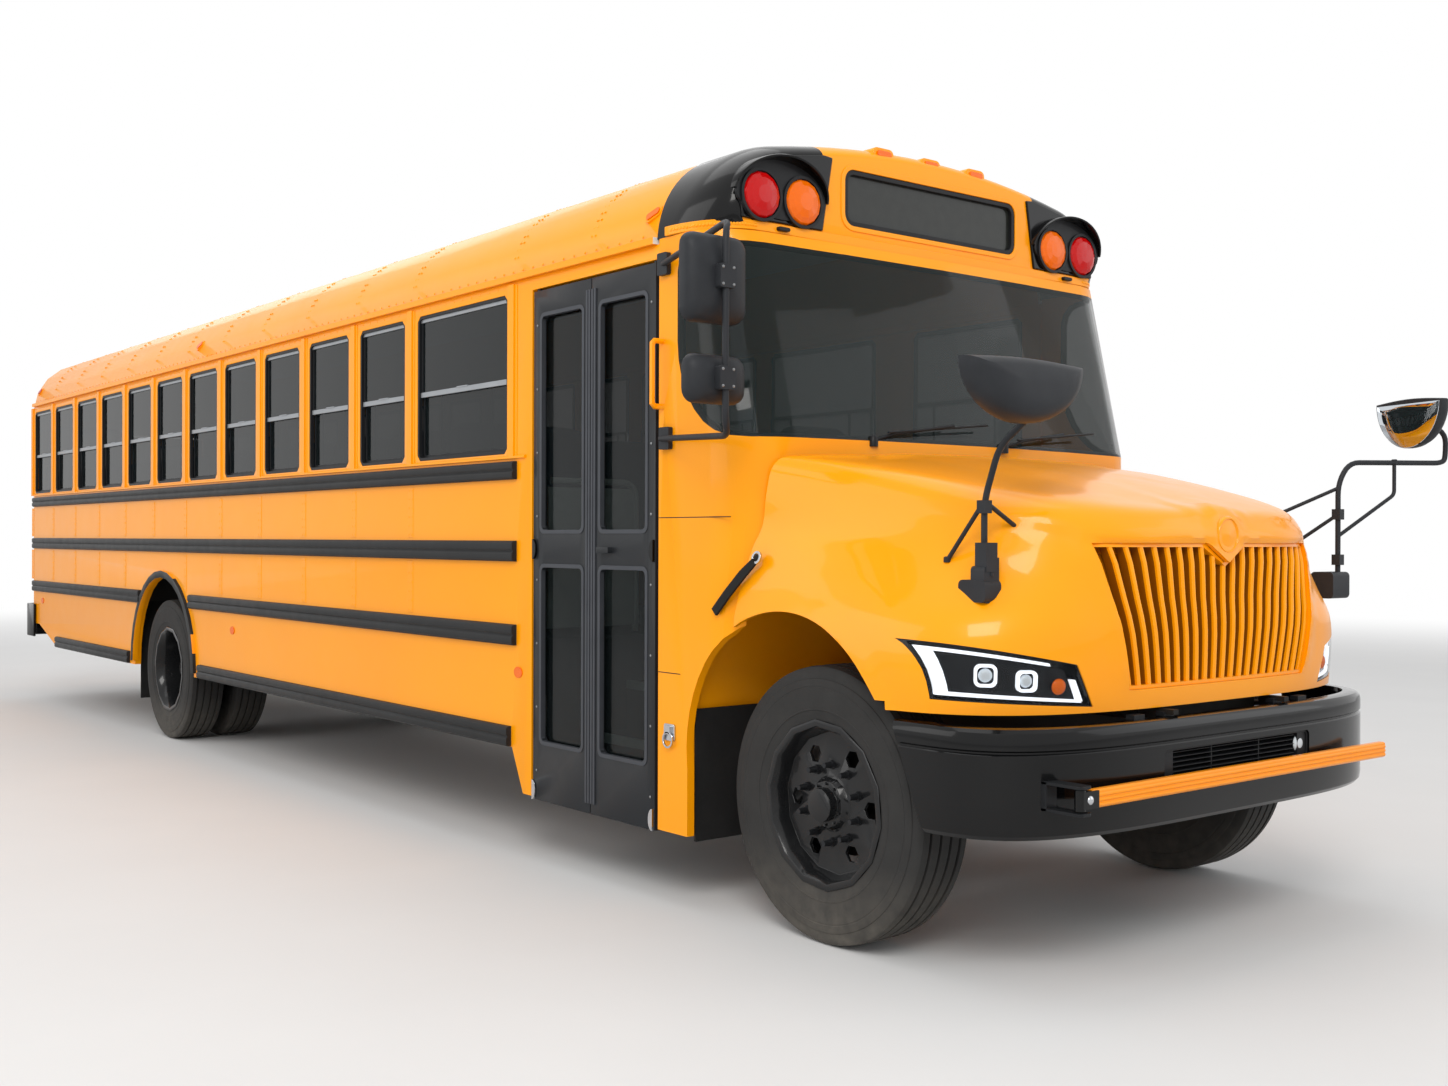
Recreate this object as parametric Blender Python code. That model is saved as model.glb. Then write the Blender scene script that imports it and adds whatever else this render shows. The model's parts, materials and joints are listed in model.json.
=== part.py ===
# School bus with a long tilting hood, modelled at full size in metres.
# Y = 0 is the front axle while the pieces are drawn. The bus faces -Y and its door is on the -X side.
# The parent empty then moves everything so that the origin is under the middle of the bus, on the ground.
import math

import bmesh
import bpy
from mathutils import Matrix, Vector

# Body shell
BODY_HALF = 1.22
WALL = 0.045
SKIRT_Z = 0.50
BELT_Z = 1.877
WINDOW_TOP_Z = 2.627
MEETING_RAIL_Z = 2.22
DRIP_Z = 2.68
FLOOR_Z = 1.02
FLOOR_SHEET = 0.035
BODY_REAR = 10.82
PILLAR_REAR = 0.885
CORNER_POST = 0.09
ROOF_CORNER_R = 0.41
ROOF_CORNER_TURN = math.radians(80.0)
CROWN_R = 5.07
CAP_FRONT = 0.515
CAP_REAR = 0.90
CAP_Z = 2.70

# Clearances and overruns
GAP = 0.0003
RUN_GAP = 0.006
SINK = 0.006
OVERRUN = 0.06

# Side windows
WIDE_WINDOW_Y = 2.097
WIDE_WINDOW_LENGTH = 0.924
FIRST_WINDOW_Y = 3.165
WINDOW_PITCH = 0.6985
WINDOW_LENGTH = 0.55
WINDOW_COUNT = 11
WINDOW_CORNER_R = 0.03
SASH_LAP = 0.014
SASH_DEPTH = 0.020
SASH_BAR = 0.022
PANE = 0.006

# Rub rails on both sides: middle height, height of the rail, standing out
RAIL_OUT = 0.028
RAIL_LIP = 0.010
RAIL_GROOVE = 0.008
RAIL_START_Y = 2.009
RAIL_END_Y = 10.70
UPPER_RAIL_Z = (1.755, 1.840)
MIDDLE_RAIL_Z = (1.371, 1.468)
LOWER_RAIL_Z = (0.979, 1.076)
SKIRT_RAIL_Z = (0.503, 0.597)
LOWER_RAIL_BREAK_Y = (6.464, 7.573)
SKIRT_RAIL_BREAK_Y = (6.274, 7.840)
SKIRT_RAIL_END_Y = 9.918

# Wheels, tyres and axles
TYRE_R = 0.510
TYRE_WIDTH = 0.255
TYRE_BEAD_R = 0.300
TYRE_SHOULDER = 0.035
TYRE_STEPS = 28
RIM_R = 0.2997
RIM_WELL_R = 0.262
RIM_SHEET = 0.012
RIM_FLANGE = 0.014
WHEEL_STEPS = 14
FRONT_TYRE_X = 0.880
DUAL_OUTER_X = 0.935
DUAL_INNER_X = 0.605
REAR_AXLE_Y = 7.06
REAR_ARCH_R = 0.66
REAR_ARCH_Z = 0.53
ARCH_TRIM = 0.045
ARCH_TRIM_OUT = 0.022
KINGPIN_X = 0.800
HAND_HOLES = 6
HAND_HOLE_R = 0.033
HAND_HOLE_CIRCLE_R = 0.198

# Doorway on the right side
DOOR_FRONT_Y = 0.905
DOOR_MIDDLE_Y = 1.380
DOOR_REAR_Y = 1.855
DOORWAY_REAR_Y = 1.875
DOOR_BOTTOM_Z = 0.285
DOOR_TOP_Z = 2.608
DOOR_OUT = 0.002
DOOR_THICK = 0.035
DOOR_PIVOT_INSET = 0.020
DOOR_STILE = 0.062
DOOR_UPPER_GLASS_Z = (1.510, 2.495)
DOOR_LOWER_GLASS_Z = (0.550, 1.355)
HANDLE_Z = 1.43
DOOR_PIN_R = 0.010
PIN_STEPS = 8
SIDE_FOOT_Z = 0.295

# Front fenders, hood and cowl
HOOD_BOTTOM = 0.900
HOOD_TOP = 1.815
HOOD_HALF = 1.212
HOOD_REAR = 0.400
HOOD_FRONT = -0.940
HOOD_SHELL = 0.020
HOOD_FALL_SHARE = 1.3
HOOD_ROUND_SHARE = 3.4
BUMPER_ROUND_SHARE = 4.0
HOOD_PIVOT = (0.0, -0.955, 0.893)
ARCH_CENTRE = (0.13, 0.65)
ARCH_R = 0.563
COWL_FRONT = 0.300
COWL_BOW = 0.080
COWL_CORNER_R = 0.250
COWL_SHELL = 0.035
HEADER_FRONT = 0.500
HEADER_BOW = 0.020
SCREEN_BASE_Z = 1.873
SCREEN_TOP_Z = 2.655
SCREEN_REAR_Y = 0.760
SCREEN_GLASS = 0.020
SCREEN_SWEEP = (0.38, 0.40)
SCREEN_TOP_R = 0.10
WHEELHOUSE_REAR = 0.700
WHEELHOUSE_TOP = 1.240

# Grille and headlights, as outlines seen from the front
GRILLE_Z = (0.975, 1.452)
GRILLE_HALF = (0.540, 0.655)
GRILLE_NOTCH = (0.115, 1.385)
GRILLE_DEPTH = 0.045
SLATS = 19
SLOT_SHARE = 0.46
BADGE_R = 0.052
BADGE_Z = 1.492
LAMP_OUTER_X = 1.165
LAMP_TOP_X = 0.800
LAMP_TIP_X = 0.740
LAMP_OUTER_Z = (0.946, 1.131)
LAMP_INNER_Z = (0.916, 1.052)
LAMP_DEPTH = 0.090

# Bumpers and crossing gate
BUMPER_HALF = 1.200
BUMPER_FRONT = -1.000
BUMPER_CORNER_Y = -0.400
BUMPER_Z = (0.505, 0.870)
BUMPER_SHEET = 0.025
BUMPER_LEDGE = 0.060
BUMPER_SLOT_HALF = 0.46
BUMPER_SLOT_Z = (0.665, 0.765)
REAR_BUMPER_Z = (0.560, 0.860)
REAR_BUMPER_BACK = 10.95
GATE_Y = -1.040
GATE_PIVOT_X = -0.970
GATE_TIP_X = 0.920
GATE_Z = (0.625, 0.685)
GATE_THICK = 0.030

# Frame, engine and running gear
RAIL_X = (0.390, 0.470)
FRAME_Z = (0.620, 0.860)
FRAME_FRONT = -0.900
FRAME_REAR = 10.80

# Interior
SEAT_PITCH = 0.700
SEAT_FIRST_Y = 2.35
SEAT_COUNT = 12
SEAT_X = (0.230, 1.140)
STEP_RISE = 0.225
STEP_RUN = 0.215
STEP_SHEET = 0.030

# Turns and sides of round pieces
TUBE_SIDES = 6
ARC_STEPS = 8

FRONT_END = GATE_Y - GATE_THICK
BUS_SHIFT = -(FRONT_END + REAR_BUMPER_BACK) / 2

PAINT = (1.0, 0.40, 0.0, 1.0)
BLACK = (0.012, 0.012, 0.014, 1.0)
RUBBER = (0.03, 0.03, 0.032, 1.0)
WHITE = (0.85, 0.86, 0.86, 1.0)
GLASS = (0.02, 0.04, 0.04, 1.0)
STEEL = (0.08, 0.08, 0.085, 1.0)
VINYL = (0.03, 0.05, 0.09, 1.0)
RED = (0.5, 0.01, 0.01, 1.0)
LAMP = (0.7, 0.75, 0.8, 1.0)


def clear_scene():
    for item in list(bpy.data.objects):
        bpy.data.objects.remove(item, do_unlink=True)


def bus_empty():
    empty = bpy.data.objects.new("bus", None)
    bpy.context.scene.collection.objects.link(empty)
    empty.location = (0, BUS_SHIFT, 0)
    return empty


def finish(name, colour, rough, metal):
    material = bpy.data.materials.new(name)
    material.use_nodes = True
    shader = material.node_tree.nodes["Principled BSDF"]
    shader.inputs["Base Color"].default_value = colour
    shader.inputs["Roughness"].default_value = rough
    shader.inputs["Metallic"].default_value = metal
    return material


# Shapes drawn into a bmesh


def block(bm, x, y, z):
    size = Matrix.Diagonal((x[1] - x[0], y[1] - y[0], z[1] - z[0], 1))
    middle = Vector(((x[0] + x[1]) / 2, (y[0] + y[1]) / 2, (z[0] + z[1]) / 2))
    bmesh.ops.create_cube(bm, size=1, matrix=Matrix.Translation(middle) @ size)


def place(axis, along, first, second):
    """A point from its place along an axis and its two other coordinates, in the order x, y, z."""
    return {"X": (along, first, second), "Y": (first, along, second), "Z": (first, second, along)}[axis]


def plate(bm, outline, axis, span):
    """An outline in the plane across an axis, extruded over a span of that axis."""
    low = [bm.verts.new(place(axis, span[0], *point)) for point in outline]
    face = bm.faces.new(low)
    made = bmesh.ops.extrude_face_region(bm, geom=[face])
    verts = [item for item in made["geom"] if isinstance(item, bmesh.types.BMVert)]
    bmesh.ops.translate(bm, verts=verts, vec=Vector(place(axis, span[1] - span[0], 0, 0)))


def loft(bm, rings, closed=False, capped=True):
    """Faces between rings of equal length. A closed loft joins the last ring to the first."""
    loops = [[bm.verts.new(point) for point in ring] for ring in rings]
    pairs = list(zip(loops, loops[1:]))
    if closed:
        pairs.append((loops[-1], loops[0]))
    for one, two in pairs:
        for k in range(len(one)):
            n = (k + 1) % len(one)
            bm.faces.new((one[k], one[n], two[n], two[k]))
    if capped and not closed:
        bm.faces.new(loops[0])
        bm.faces.new(loops[-1])


def sheet(bm, rows):
    """An open surface through rows of points, its diagonals mirrored about the middle column."""
    lines = [[bm.verts.new(point) for point in row] for row in rows]
    for one, two in zip(lines, lines[1:]):
        for k in range(len(one) - 1):
            split = (one[k], two[k + 1]) if 2 * k < len(one) - 1 else (one[k + 1], two[k])
            bm.faces.new((one[k], one[k + 1], split[1]))
            bm.faces.new((split[0], two[k + 1], two[k]))


def tube(bm, path, radius, sides=TUBE_SIDES):
    """A round bar along straight stretches, each ring square to the mean direction at its point."""
    points = [Vector(point) for point in path]
    legs = [(two - one).normalized() for one, two in zip(points, points[1:])]
    way = legs[0]
    across = way.orthogonal().normalized()
    rings = []
    for point, before, after in zip(points, legs[:1] + legs, legs + legs[-1:]):
        turned_way = (before + after).normalized()
        across = way.rotation_difference(turned_way) @ across
        way = turned_way
        other = way.cross(across)
        turns = [math.tau * n / sides for n in range(sides)]
        rings.append([point + (across * math.cos(a) + other * math.sin(a)) * radius for a in turns])
    loft(bm, rings)


def turned(bm, profile, centre, steps):
    """A closed profile of (place along X, radius) turned round an axis parallel to X.

    The turn starts half a tyre step round, so that the tyres stand on a flat and the rims meet their beads.
    """
    rings = []
    for n in range(steps):
        angle = math.tau * (n / steps + 0.5 / TYRE_STEPS)
        ring = []
        for along, radius in profile:
            y = centre[1] + radius * math.cos(angle)
            ring.append((centre[0] + along, y, centre[2] + radius * math.sin(angle)))
        rings.append(ring)
    loft(bm, rings, closed=True)


def disc(bm, centre, radius, axis, span, steps=WHEEL_STEPS):
    outline = circle(centre, radius, steps)
    plate(bm, outline, axis, span)


def circle(centre, radius, steps):
    turn = [math.tau * n / steps for n in range(steps)]
    return [(centre[0] + radius * math.cos(a), centre[1] + radius * math.sin(a)) for a in turn]


def arc(centre, radii, start, end, steps=ARC_STEPS):
    points = []
    for n in range(steps + 1):
        angle = math.radians(start + (end - start) * n / steps)
        points.append((centre[0] + radii[0] * math.cos(angle), centre[1] + radii[1] * math.sin(angle)))
    return points


def rounded(x, y, r, steps=2):
    """A rectangle with rounded corners, as an outline."""
    points = []
    for cx, cy, start in ((x[1] - r, y[1] - r, 0), (x[0] + r, y[1] - r, 90),
                          (x[0] + r, y[0] + r, 180), (x[1] - r, y[0] + r, 270)):
        points += arc((cx, cy), (r, r), start, start + 90, steps)
    return points


def mirrored(points):
    return [(-x, y) for x, y in points]


# Objects


def drawn(draw, pivot):
    bm = bmesh.new()
    draw(bm)
    bmesh.ops.remove_doubles(bm, verts=bm.verts, dist=GAP / 10)
    bmesh.ops.recalc_face_normals(bm, faces=bm.faces)
    bmesh.ops.translate(bm, verts=bm.verts, vec=-Vector(pivot))
    return bm


def new_object(name, bm, pivot, parent):
    mesh = bpy.data.meshes.new(name)
    bm.to_mesh(mesh)
    bm.free()
    obj = bpy.data.objects.new(name, mesh)
    bpy.context.scene.collection.objects.link(obj)
    obj.location = pivot
    obj.parent = parent
    return obj


def islands(bm):
    """The vertex numbers of each connected solid, with its bounds."""
    bm.verts.ensure_lookup_table()
    left = set(range(len(bm.verts)))
    found = []
    while left:
        stack = [left.pop()]
        island = set(stack)
        while stack:
            for edge in bm.verts[stack.pop()].link_edges:
                for vert in edge.verts:
                    if vert.index in left:
                        left.discard(vert.index)
                        island.add(vert.index)
                        stack.append(vert.index)
        places = [bm.verts[k].co for k in island]
        low = [min(place[n] for place in places) - GAP for n in range(3)]
        high = [max(place[n] for place in places) + GAP for n in range(3)]
        found.append((island, low, high))
    return sorted(found, key=lambda item: min(item[0]))


def apart(one, two):
    return any(one[2][n] < two[1][n] or two[2][n] < one[1][n] for n in range(3))


def operands(bm):
    """The drawn solids in groups whose members stand apart from each other."""
    groups = []
    for island in islands(bm):
        for group in groups:
            if all(apart(island, other) for other in group):
                group.append(island)
                break
        else:
            groups.append([island])
    return [set().union(*(item[0] for item in group)) for group in groups]


def combine(obj, kind, draw, pivot, parent, split=False):
    whole = drawn(draw, pivot)
    for wanted in operands(whole) if split else [set(range(len(whole.verts)))]:
        bm = whole.copy()
        rest = [vert for vert in bm.verts if vert.index not in wanted]
        bmesh.ops.delete(bm, geom=rest, context="VERTS")
        tool = new_object(obj.name + "_" + kind.lower(), bm, pivot, parent)
        tool.hide_render = True
        tool.display_type = "WIRE"
        change = obj.modifiers.new(kind.lower(), "BOOLEAN")
        change.operation = kind
        change.object = tool
        change.use_self = not split and kind != "INTERSECT"
    whole.free()


def node(name, material, base, join=None, cut=None, keep=None, shell=None, pivot=(0, 0, 0), parent=None,
         split=False):
    """One solid: a base, made into a shell if asked, with shapes joined to it, cut out or kept to."""
    obj = new_object(name, drawn(base, pivot), pivot, parent)
    obj.data.materials.append(material)
    if shell:
        wall = obj.modifiers.new("wall", "SOLIDIFY")
        wall.thickness = shell
        wall.offset = -1
        wall.use_even_offset = True
    if keep:
        combine(obj, "INTERSECT", keep, pivot, parent)
    if join:
        combine(obj, "UNION", join, pivot, parent, split)
    if cut:
        combine(obj, "DIFFERENCE", cut, pivot, parent, split)
    obj.data.shade_smooth()
    obj.data.set_sharp_from_angle(angle=math.radians(30.0))
    return obj


# Outlines and forms that several pieces share


def roof_profile(inset):
    """Half of the roof's section from the drip rail to the crown, as (x, z), moved in by an inset."""
    corner = (BODY_HALF - ROOF_CORNER_R, DRIP_Z)
    turn = math.degrees(ROOF_CORNER_TURN)
    points = arc(corner, (ROOF_CORNER_R - inset, ROOF_CORNER_R - inset), 0, turn, 4)
    reach = ROOF_CORNER_R - CROWN_R
    middle = (corner[0] + reach * math.cos(ROOF_CORNER_TURN), corner[1] + reach * math.sin(ROOF_CORNER_TURN))
    points += arc(middle, (CROWN_R - inset, CROWN_R - inset), turn, 90, 2)[1:]
    points[-1] = (0.0, points[-1][1])
    return points


def roof_section(inset, low):
    half = roof_profile(inset)
    whole = half + mirrored(half[-2::-1])
    if low > DRIP_Z:
        whole = whole[1:-1]
    reach = BODY_HALF - inset
    return [(reach, low)] + whole + [(-reach, low)]


CROWN_Z = roof_profile(0)[-1][1]


def roof_form(bm, ends, inset, low, round_low, round_top, flip):
    """The roof between two places, with its end at ends[1] rounded more at the crown than at the drip."""
    rings = [[(x, ends[0], z) for x, z in roof_section(inset, low)]]
    for turn in (0, 30, 60, 80):
        angle = math.radians(turn)
        ring = []
        for x, z in roof_section(inset, low):
            share = max(0.0, min(1.0, (z - max(low, DRIP_Z)) / (CROWN_Z - DRIP_Z)))
            along, across = [low_r + (top_r - low_r) * share for low_r, top_r in zip(round_low, round_top)]
            pull = across * (1 - math.cos(angle))
            side = pull * (1 - share) / BODY_HALF
            y = ends[1] - flip * along * (1 - math.sin(angle))
            ring.append((x * (1 - side), y, z - pull * share))
        rings.append(ring)
    loft(bm, rings)


def u_curve(half, taper, rear, corner, front, steps=(1, 7), power=2 / HOOD_ROUND_SHARE):
    """A U in plan from its right end round the front to its left end, by a rounded square law."""
    side = [(rear + (corner - rear) * k / steps[0], 1.0) for k in range(steps[0])]
    for k in range(steps[1] + 1):
        angle = math.pi / 2 * k / steps[1]
        y = corner + (front - corner) * math.sin(angle) ** power
        side.append((y, max(math.cos(angle), 0) ** power if k < steps[1] else 0.0))
    points = [((half - taper * (rear - y)) * share, y) for y, share in side]
    return points + [(-x, y) for x, y in points[-2::-1]]


# Columns: rear height, front height, half width, taper, rear end, corner start, front end.
HOOD_LEVEL_SHARES = (
    (0.000, 0.000, 0.990, 0.00, 0.000, 0.410, 0.989),
    (0.175, 0.153, 1.000, 0.00, 0.000, 0.410, 0.996),
    (0.350, 0.295, 0.994, 0.02, 0.000, 0.410, 1.000),
    (0.492, 0.404, 0.974, 0.09, 0.015, 0.420, 0.996),
    (0.601, 0.481, 0.953, 0.15, 0.030, 0.460, 0.996),
    (0.694, 0.546, 0.932, 0.19, 0.050, 0.522, 0.996),
    (0.831, 0.607, 0.928, 0.25, 0.062, 0.580, 0.992),
    (0.951, 0.678, 0.908, 0.28, 0.078, 0.634, 0.990),
    (0.984, 0.738, 0.830, 0.33, 0.115, 0.670, 0.970),
    (0.995, 0.765, 0.460, 0.18, 0.178, 0.670, 0.925),
    (1.000, 0.776, 0.000, 0.00, 0.202, 0.670, 0.870),
)


def hood_surface(bm):
    length = HOOD_REAR - HOOD_FRONT
    rise = HOOD_TOP - HOOD_BOTTOM
    rows = []
    for back_z, front_z, half, taper, rear, corner, front in HOOD_LEVEL_SHARES:
        ends = [HOOD_REAR - length * share for share in (rear, corner, front)]
        row = []
        for x, y in u_curve(half * HOOD_HALF, taper, *ends):
            share = max(0.0, (ends[0] - y) / (ends[0] - ends[2])) ** HOOD_FALL_SHARE
            row.append((x, y, HOOD_BOTTOM + rise * (back_z + (front_z - back_z) * share)))
        rows.append(row)
    sheet(bm, rows)


BOW_SHARES = (0.60, 0.0)


def cowl_curve(front, bow):
    """Plan of the body's nose: straight sides, round corners and a bowed front, from +X to -X."""
    corner = BODY_HALF - COWL_CORNER_R
    reach = min(COWL_CORNER_R, WHEELHOUSE_REAR - SINK - front)
    points = [(BODY_HALF, PILLAR_REAR), (BODY_HALF, WHEELHOUSE_REAR)]
    points += arc((corner, front + reach), (COWL_CORNER_R, reach), 0, -84, 5)
    for share in BOW_SHARES:
        points.append((corner * share, front - bow * (1 - share * share)))
    return points + [(-x, y) for x, y in points[-2::-1]]


def nose_surface(bm):
    rows = []
    for z in (SIDE_FOOT_Z, WHEELHOUSE_TOP, SCREEN_BASE_Z):
        rows.append([(x, y, z) for x, y in cowl_curve(COWL_FRONT, COWL_BOW)])
    rows.append([(x, y, CAP_Z - GAP) for x, y in cowl_curve(HEADER_FRONT, HEADER_BOW)])
    sheet(bm, rows)


def screen_opening(bm, inset):
    """The wrap-round windshield seen from the side: a long sweep at its lower rear corner."""
    rear = SCREEN_REAR_Y - inset
    base = SCREEN_BASE_Z + inset
    top = SCREEN_TOP_Z - inset
    sweep_y, sweep_z = SCREEN_SWEEP
    front = CAP_FRONT - COWL_CORNER_R - OVERRUN - COWL_FRONT
    outline = [(front, base)]
    outline += arc((rear - sweep_y, base + sweep_z), (sweep_y, sweep_z), -90, 0, 8)
    outline += arc((rear - SCREEN_TOP_R, top - SCREEN_TOP_R), (SCREEN_TOP_R, SCREEN_TOP_R), 0, 90, 3)
    outline += [(front, top)]
    plate(bm, outline, "X", (-BODY_HALF - OVERRUN, BODY_HALF + OVERRUN))


def window_spans():
    spans = [(WIDE_WINDOW_Y, WIDE_WINDOW_Y + WIDE_WINDOW_LENGTH)]
    for k in range(WINDOW_COUNT):
        start = FIRST_WINDOW_Y + WINDOW_PITCH * k
        spans.append((start, start + WINDOW_LENGTH))
    return spans


# Body walls and roof


def sides(side, inner, outer):
    """A span of X on one side, from its distances to the middle plane."""
    return tuple(sorted((side * inner, side * outer)))


def lower_edge(side):
    """The wall's lower edge from its front end to its rear end, with the rear wheel arch, as (y, z)."""
    foot = DOORWAY_REAR_Y if side < 0 else PILLAR_REAR + GAP
    points = [(foot, SIDE_FOOT_Z), (foot + FOOT_LENGTH, SIDE_FOOT_Z), (foot + FOOT_LENGTH + FOOT_SLOPE, SKIRT_Z)]
    points += [(REAR_AXLE_Y - REAR_ARCH_R, SKIRT_Z)]
    points += arc((REAR_AXLE_Y, REAR_ARCH_Z), (REAR_ARCH_R, REAR_ARCH_R), 180, 0, 16)
    points += [(REAR_AXLE_Y + REAR_ARCH_R, SKIRT_Z), (SKIRT_SLOPE_Y[0], SKIRT_Z)]
    points += [(SKIRT_SLOPE_Y[1], REAR_SKIRT_Z), (SIDE_END, REAR_SKIRT_Z)]
    return points


FOOT_LENGTH = 0.075
FOOT_SLOPE = 0.10
SKIRT_SLOPE_Y = (9.95, 10.54)
REAR_SKIRT_Z = 0.68
SIDE_END = BODY_REAR - CORNER_POST
DOOR_HEADER_Z = 2.620
DRIVER_WINDOW_Y = (1.02, 1.80)
STOP_HINGE = (1.268, 2.02)
STOP_Z = 1.60


def rub_rail(bm, side, y, z):
    face = BODY_HALF + RAIL_OUT
    mid = (z[0] + z[1]) / 2
    outline = [(BODY_HALF - SINK, z[0]), (face - RAIL_LIP, z[0]), (face, z[0] + RAIL_LIP), (face, mid - RAIL_LIP),
               (face - RAIL_GROOVE, mid), (face, mid + RAIL_LIP), (face, z[1] - RAIL_LIP),
               (face - RAIL_LIP, z[1]), (BODY_HALF - SINK, z[1])]
    plate(bm, [(side * x, height) for x, height in outline], "Y", y)


def wall_openings(side):
    spans = window_spans()
    if side > 0:
        spans.insert(0, DRIVER_WINDOW_Y)
    return spans


def side_wall(side, material, bus):
    wall = sides(side, BODY_HALF - WALL, BODY_HALF)

    def base(bm):
        outline = lower_edge(side) + [(SIDE_END, DRIP_Z), (PILLAR_REAR + GAP, DRIP_Z)]
        if side < 0:
            outline += [(PILLAR_REAR + GAP, DOOR_HEADER_Z), (DOORWAY_REAR_Y, DOOR_HEADER_Z)]
        plate(bm, outline, "X", wall)

    def join(bm):
        for z in (UPPER_RAIL_Z, MIDDLE_RAIL_Z):
            rub_rail(bm, side, (RAIL_START_Y, RAIL_END_Y), z)
        rub_rail(bm, side, (RAIL_START_Y, LOWER_RAIL_BREAK_Y[0]), LOWER_RAIL_Z)
        rub_rail(bm, side, (LOWER_RAIL_BREAK_Y[1], RAIL_END_Y), LOWER_RAIL_Z)
        start = DOORWAY_REAR_Y + FOOT_LENGTH + FOOT_SLOPE + SINK
        rub_rail(bm, side, (start, SKIRT_RAIL_BREAK_Y[0]), SKIRT_RAIL_Z)
        rub_rail(bm, side, (SKIRT_RAIL_BREAK_Y[1], SKIRT_RAIL_END_Y), SKIRT_RAIL_Z)
        inner = REAR_ARCH_R - SINK
        outer = REAR_ARCH_R + ARCH_TRIM
        centre = (REAR_AXLE_Y, REAR_ARCH_Z)
        outline = arc(centre, (outer, outer), 0, 180, 16) + arc(centre, (inner, inner), 180, 0, 16)
        plate(bm, outline, "X", sides(side, BODY_HALF - WALL / 2, BODY_HALF + ARCH_TRIM_OUT))
        if side > 0:
            y = STOP_HINGE[1] - HINGE_BLOCK
            block(bm, (BODY_HALF - SINK, STOP_HINGE[0] - HINGE_PIN_R - RUN_GAP), (y, y + 2 * HINGE_BLOCK),
                  (STOP_Z - STOP_HALF, STOP_Z + STOP_HALF))
            for z in (STOP_Z - STOP_HALF, STOP_Z + STOP_HALF - HINGE_BLOCK):
                block(bm, (BODY_HALF - SINK, STOP_HINGE[0] + HINGE_PIN_R), (y, STOP_HINGE[1] + HINGE_PIN_R),
                      (z, z + HINGE_BLOCK))

    def cut(bm):
        for y in wall_openings(side):
            plate(bm, rounded(y, (BELT_Z, WINDOW_TOP_Z), WINDOW_CORNER_R, 1), "X",
                  sides(side, BODY_HALF - WALL - OVERRUN, BODY_HALF + OVERRUN))
        y, z = sash_bounds(side)
        block(bm, sides(side, BODY_HALF - WALL - OVERRUN, BODY_HALF - WALL + SASH_DEPTH), y, z)

    node("left_wall" if side > 0 else "right_wall", material, base, join, cut, parent=bus)


HINGE_BLOCK = 0.030
HINGE_PIN_R = 0.010
STOP_HALF = 0.20


def sash_bounds(side):
    spans = wall_openings(side)
    return ((spans[0][0] - SASH_LAP, spans[-1][1] + SASH_LAP), (BELT_Z - SASH_LAP, WINDOW_TOP_Z + SASH_LAP))


def side_windows(side, material, bus):
    (y0, y1), (z0, z1) = sash_bounds(side)
    back = BODY_HALF - WALL

    def base(bm):
        block(bm, sides(side, back, back + SASH_DEPTH - GAP), (y0 + GAP, y1 - GAP), (z0 + GAP, z1 - GAP))

    def cut(bm):
        for y in wall_openings(side):
            for z in ((BELT_Z + SASH_BAR, MEETING_RAIL_Z - SASH_BAR / 2),
                      (MEETING_RAIL_Z + SASH_BAR / 2, WINDOW_TOP_Z - SASH_BAR)):
                block(bm, sides(side, back + PANE, back + OVERRUN), (y[0] + SASH_BAR, y[1] - SASH_BAR), z)

    node("left_windows" if side > 0 else "right_windows", material, base, cut=cut, parent=bus)


# Roof: rounding of its rear end and of the front cap, as (along, across) at the drip and at the crown
REAR_ROUND_LOW = (CORNER_POST, CORNER_POST)
REAR_ROUND_TOP = (0.24, 0.20)
CAP_ROUND_LOW = (0.32, 0.20)
CAP_ROUND_TOP = (0.13, 0.06)
DRIP_OUT = 0.022
DRIP_RISE = 0.028
HATCH_HALF = 0.29
HATCH_LENGTH = 0.58
HATCH_Y = (3.20, 7.80)
CURB = 0.035
CURB_TOP = CROWN_Z + 0.025
LID_LAP = 0.030
LID_THICK = 0.030
REAR_LAMP_X = (0.620, 0.880)
REAR_LAMP_Z = 2.800
WARNING_R = 0.090
LAMP_OUT = 0.025


def roof(material, bus):
    low = DRIP_Z + GAP

    def base(bm):
        roof_form(bm, (CAP_REAR + GAP, BODY_REAR), 0, low, REAR_ROUND_LOW, REAR_ROUND_TOP, 1)

    def join(bm):
        for side in (-1, 1):
            block(bm, sides(side, BODY_HALF - SINK, BODY_HALF + DRIP_OUT), (CAP_REAR + GAP, SIDE_END - SINK),
                  (low, low + DRIP_RISE))
            for x in REAR_LAMP_X:
                disc(bm, (side * x, REAR_LAMP_Z), WARNING_R, "Y", (BODY_REAR - SINK, BODY_REAR + LAMP_OUT), 16)
        for y in HATCH_Y:
            reach = HATCH_HALF + CURB
            block(bm, (-reach, reach), (y - CURB, y + HATCH_LENGTH + CURB), (CROWN_Z - WALL, CURB_TOP))

    def cut(bm):
        roof_form(bm, (CAP_REAR - OVERRUN, BODY_REAR - WALL), WALL, DRIP_Z - OVERRUN,
                  REAR_ROUND_LOW, REAR_ROUND_TOP, 1)
        for y in HATCH_Y:
            block(bm, (-HATCH_HALF, HATCH_HALF), (y, y + HATCH_LENGTH), (CROWN_Z - 2 * OVERRUN, CURB_TOP + OVERRUN))

    node("roof", material, base, join, cut, parent=bus)


def roof_hatch(name, y, material, bus):
    reach = HATCH_HALF + LID_LAP
    pivot = (0, y - LID_LAP, CURB_TOP + LID_THICK)

    def base(bm):
        block(bm, (-reach, reach), (y - LID_LAP, y + HATCH_LENGTH + LID_LAP), (CURB_TOP + GAP, CURB_TOP + LID_THICK))

    node(name, material, base, pivot=pivot, parent=bus)


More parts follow.
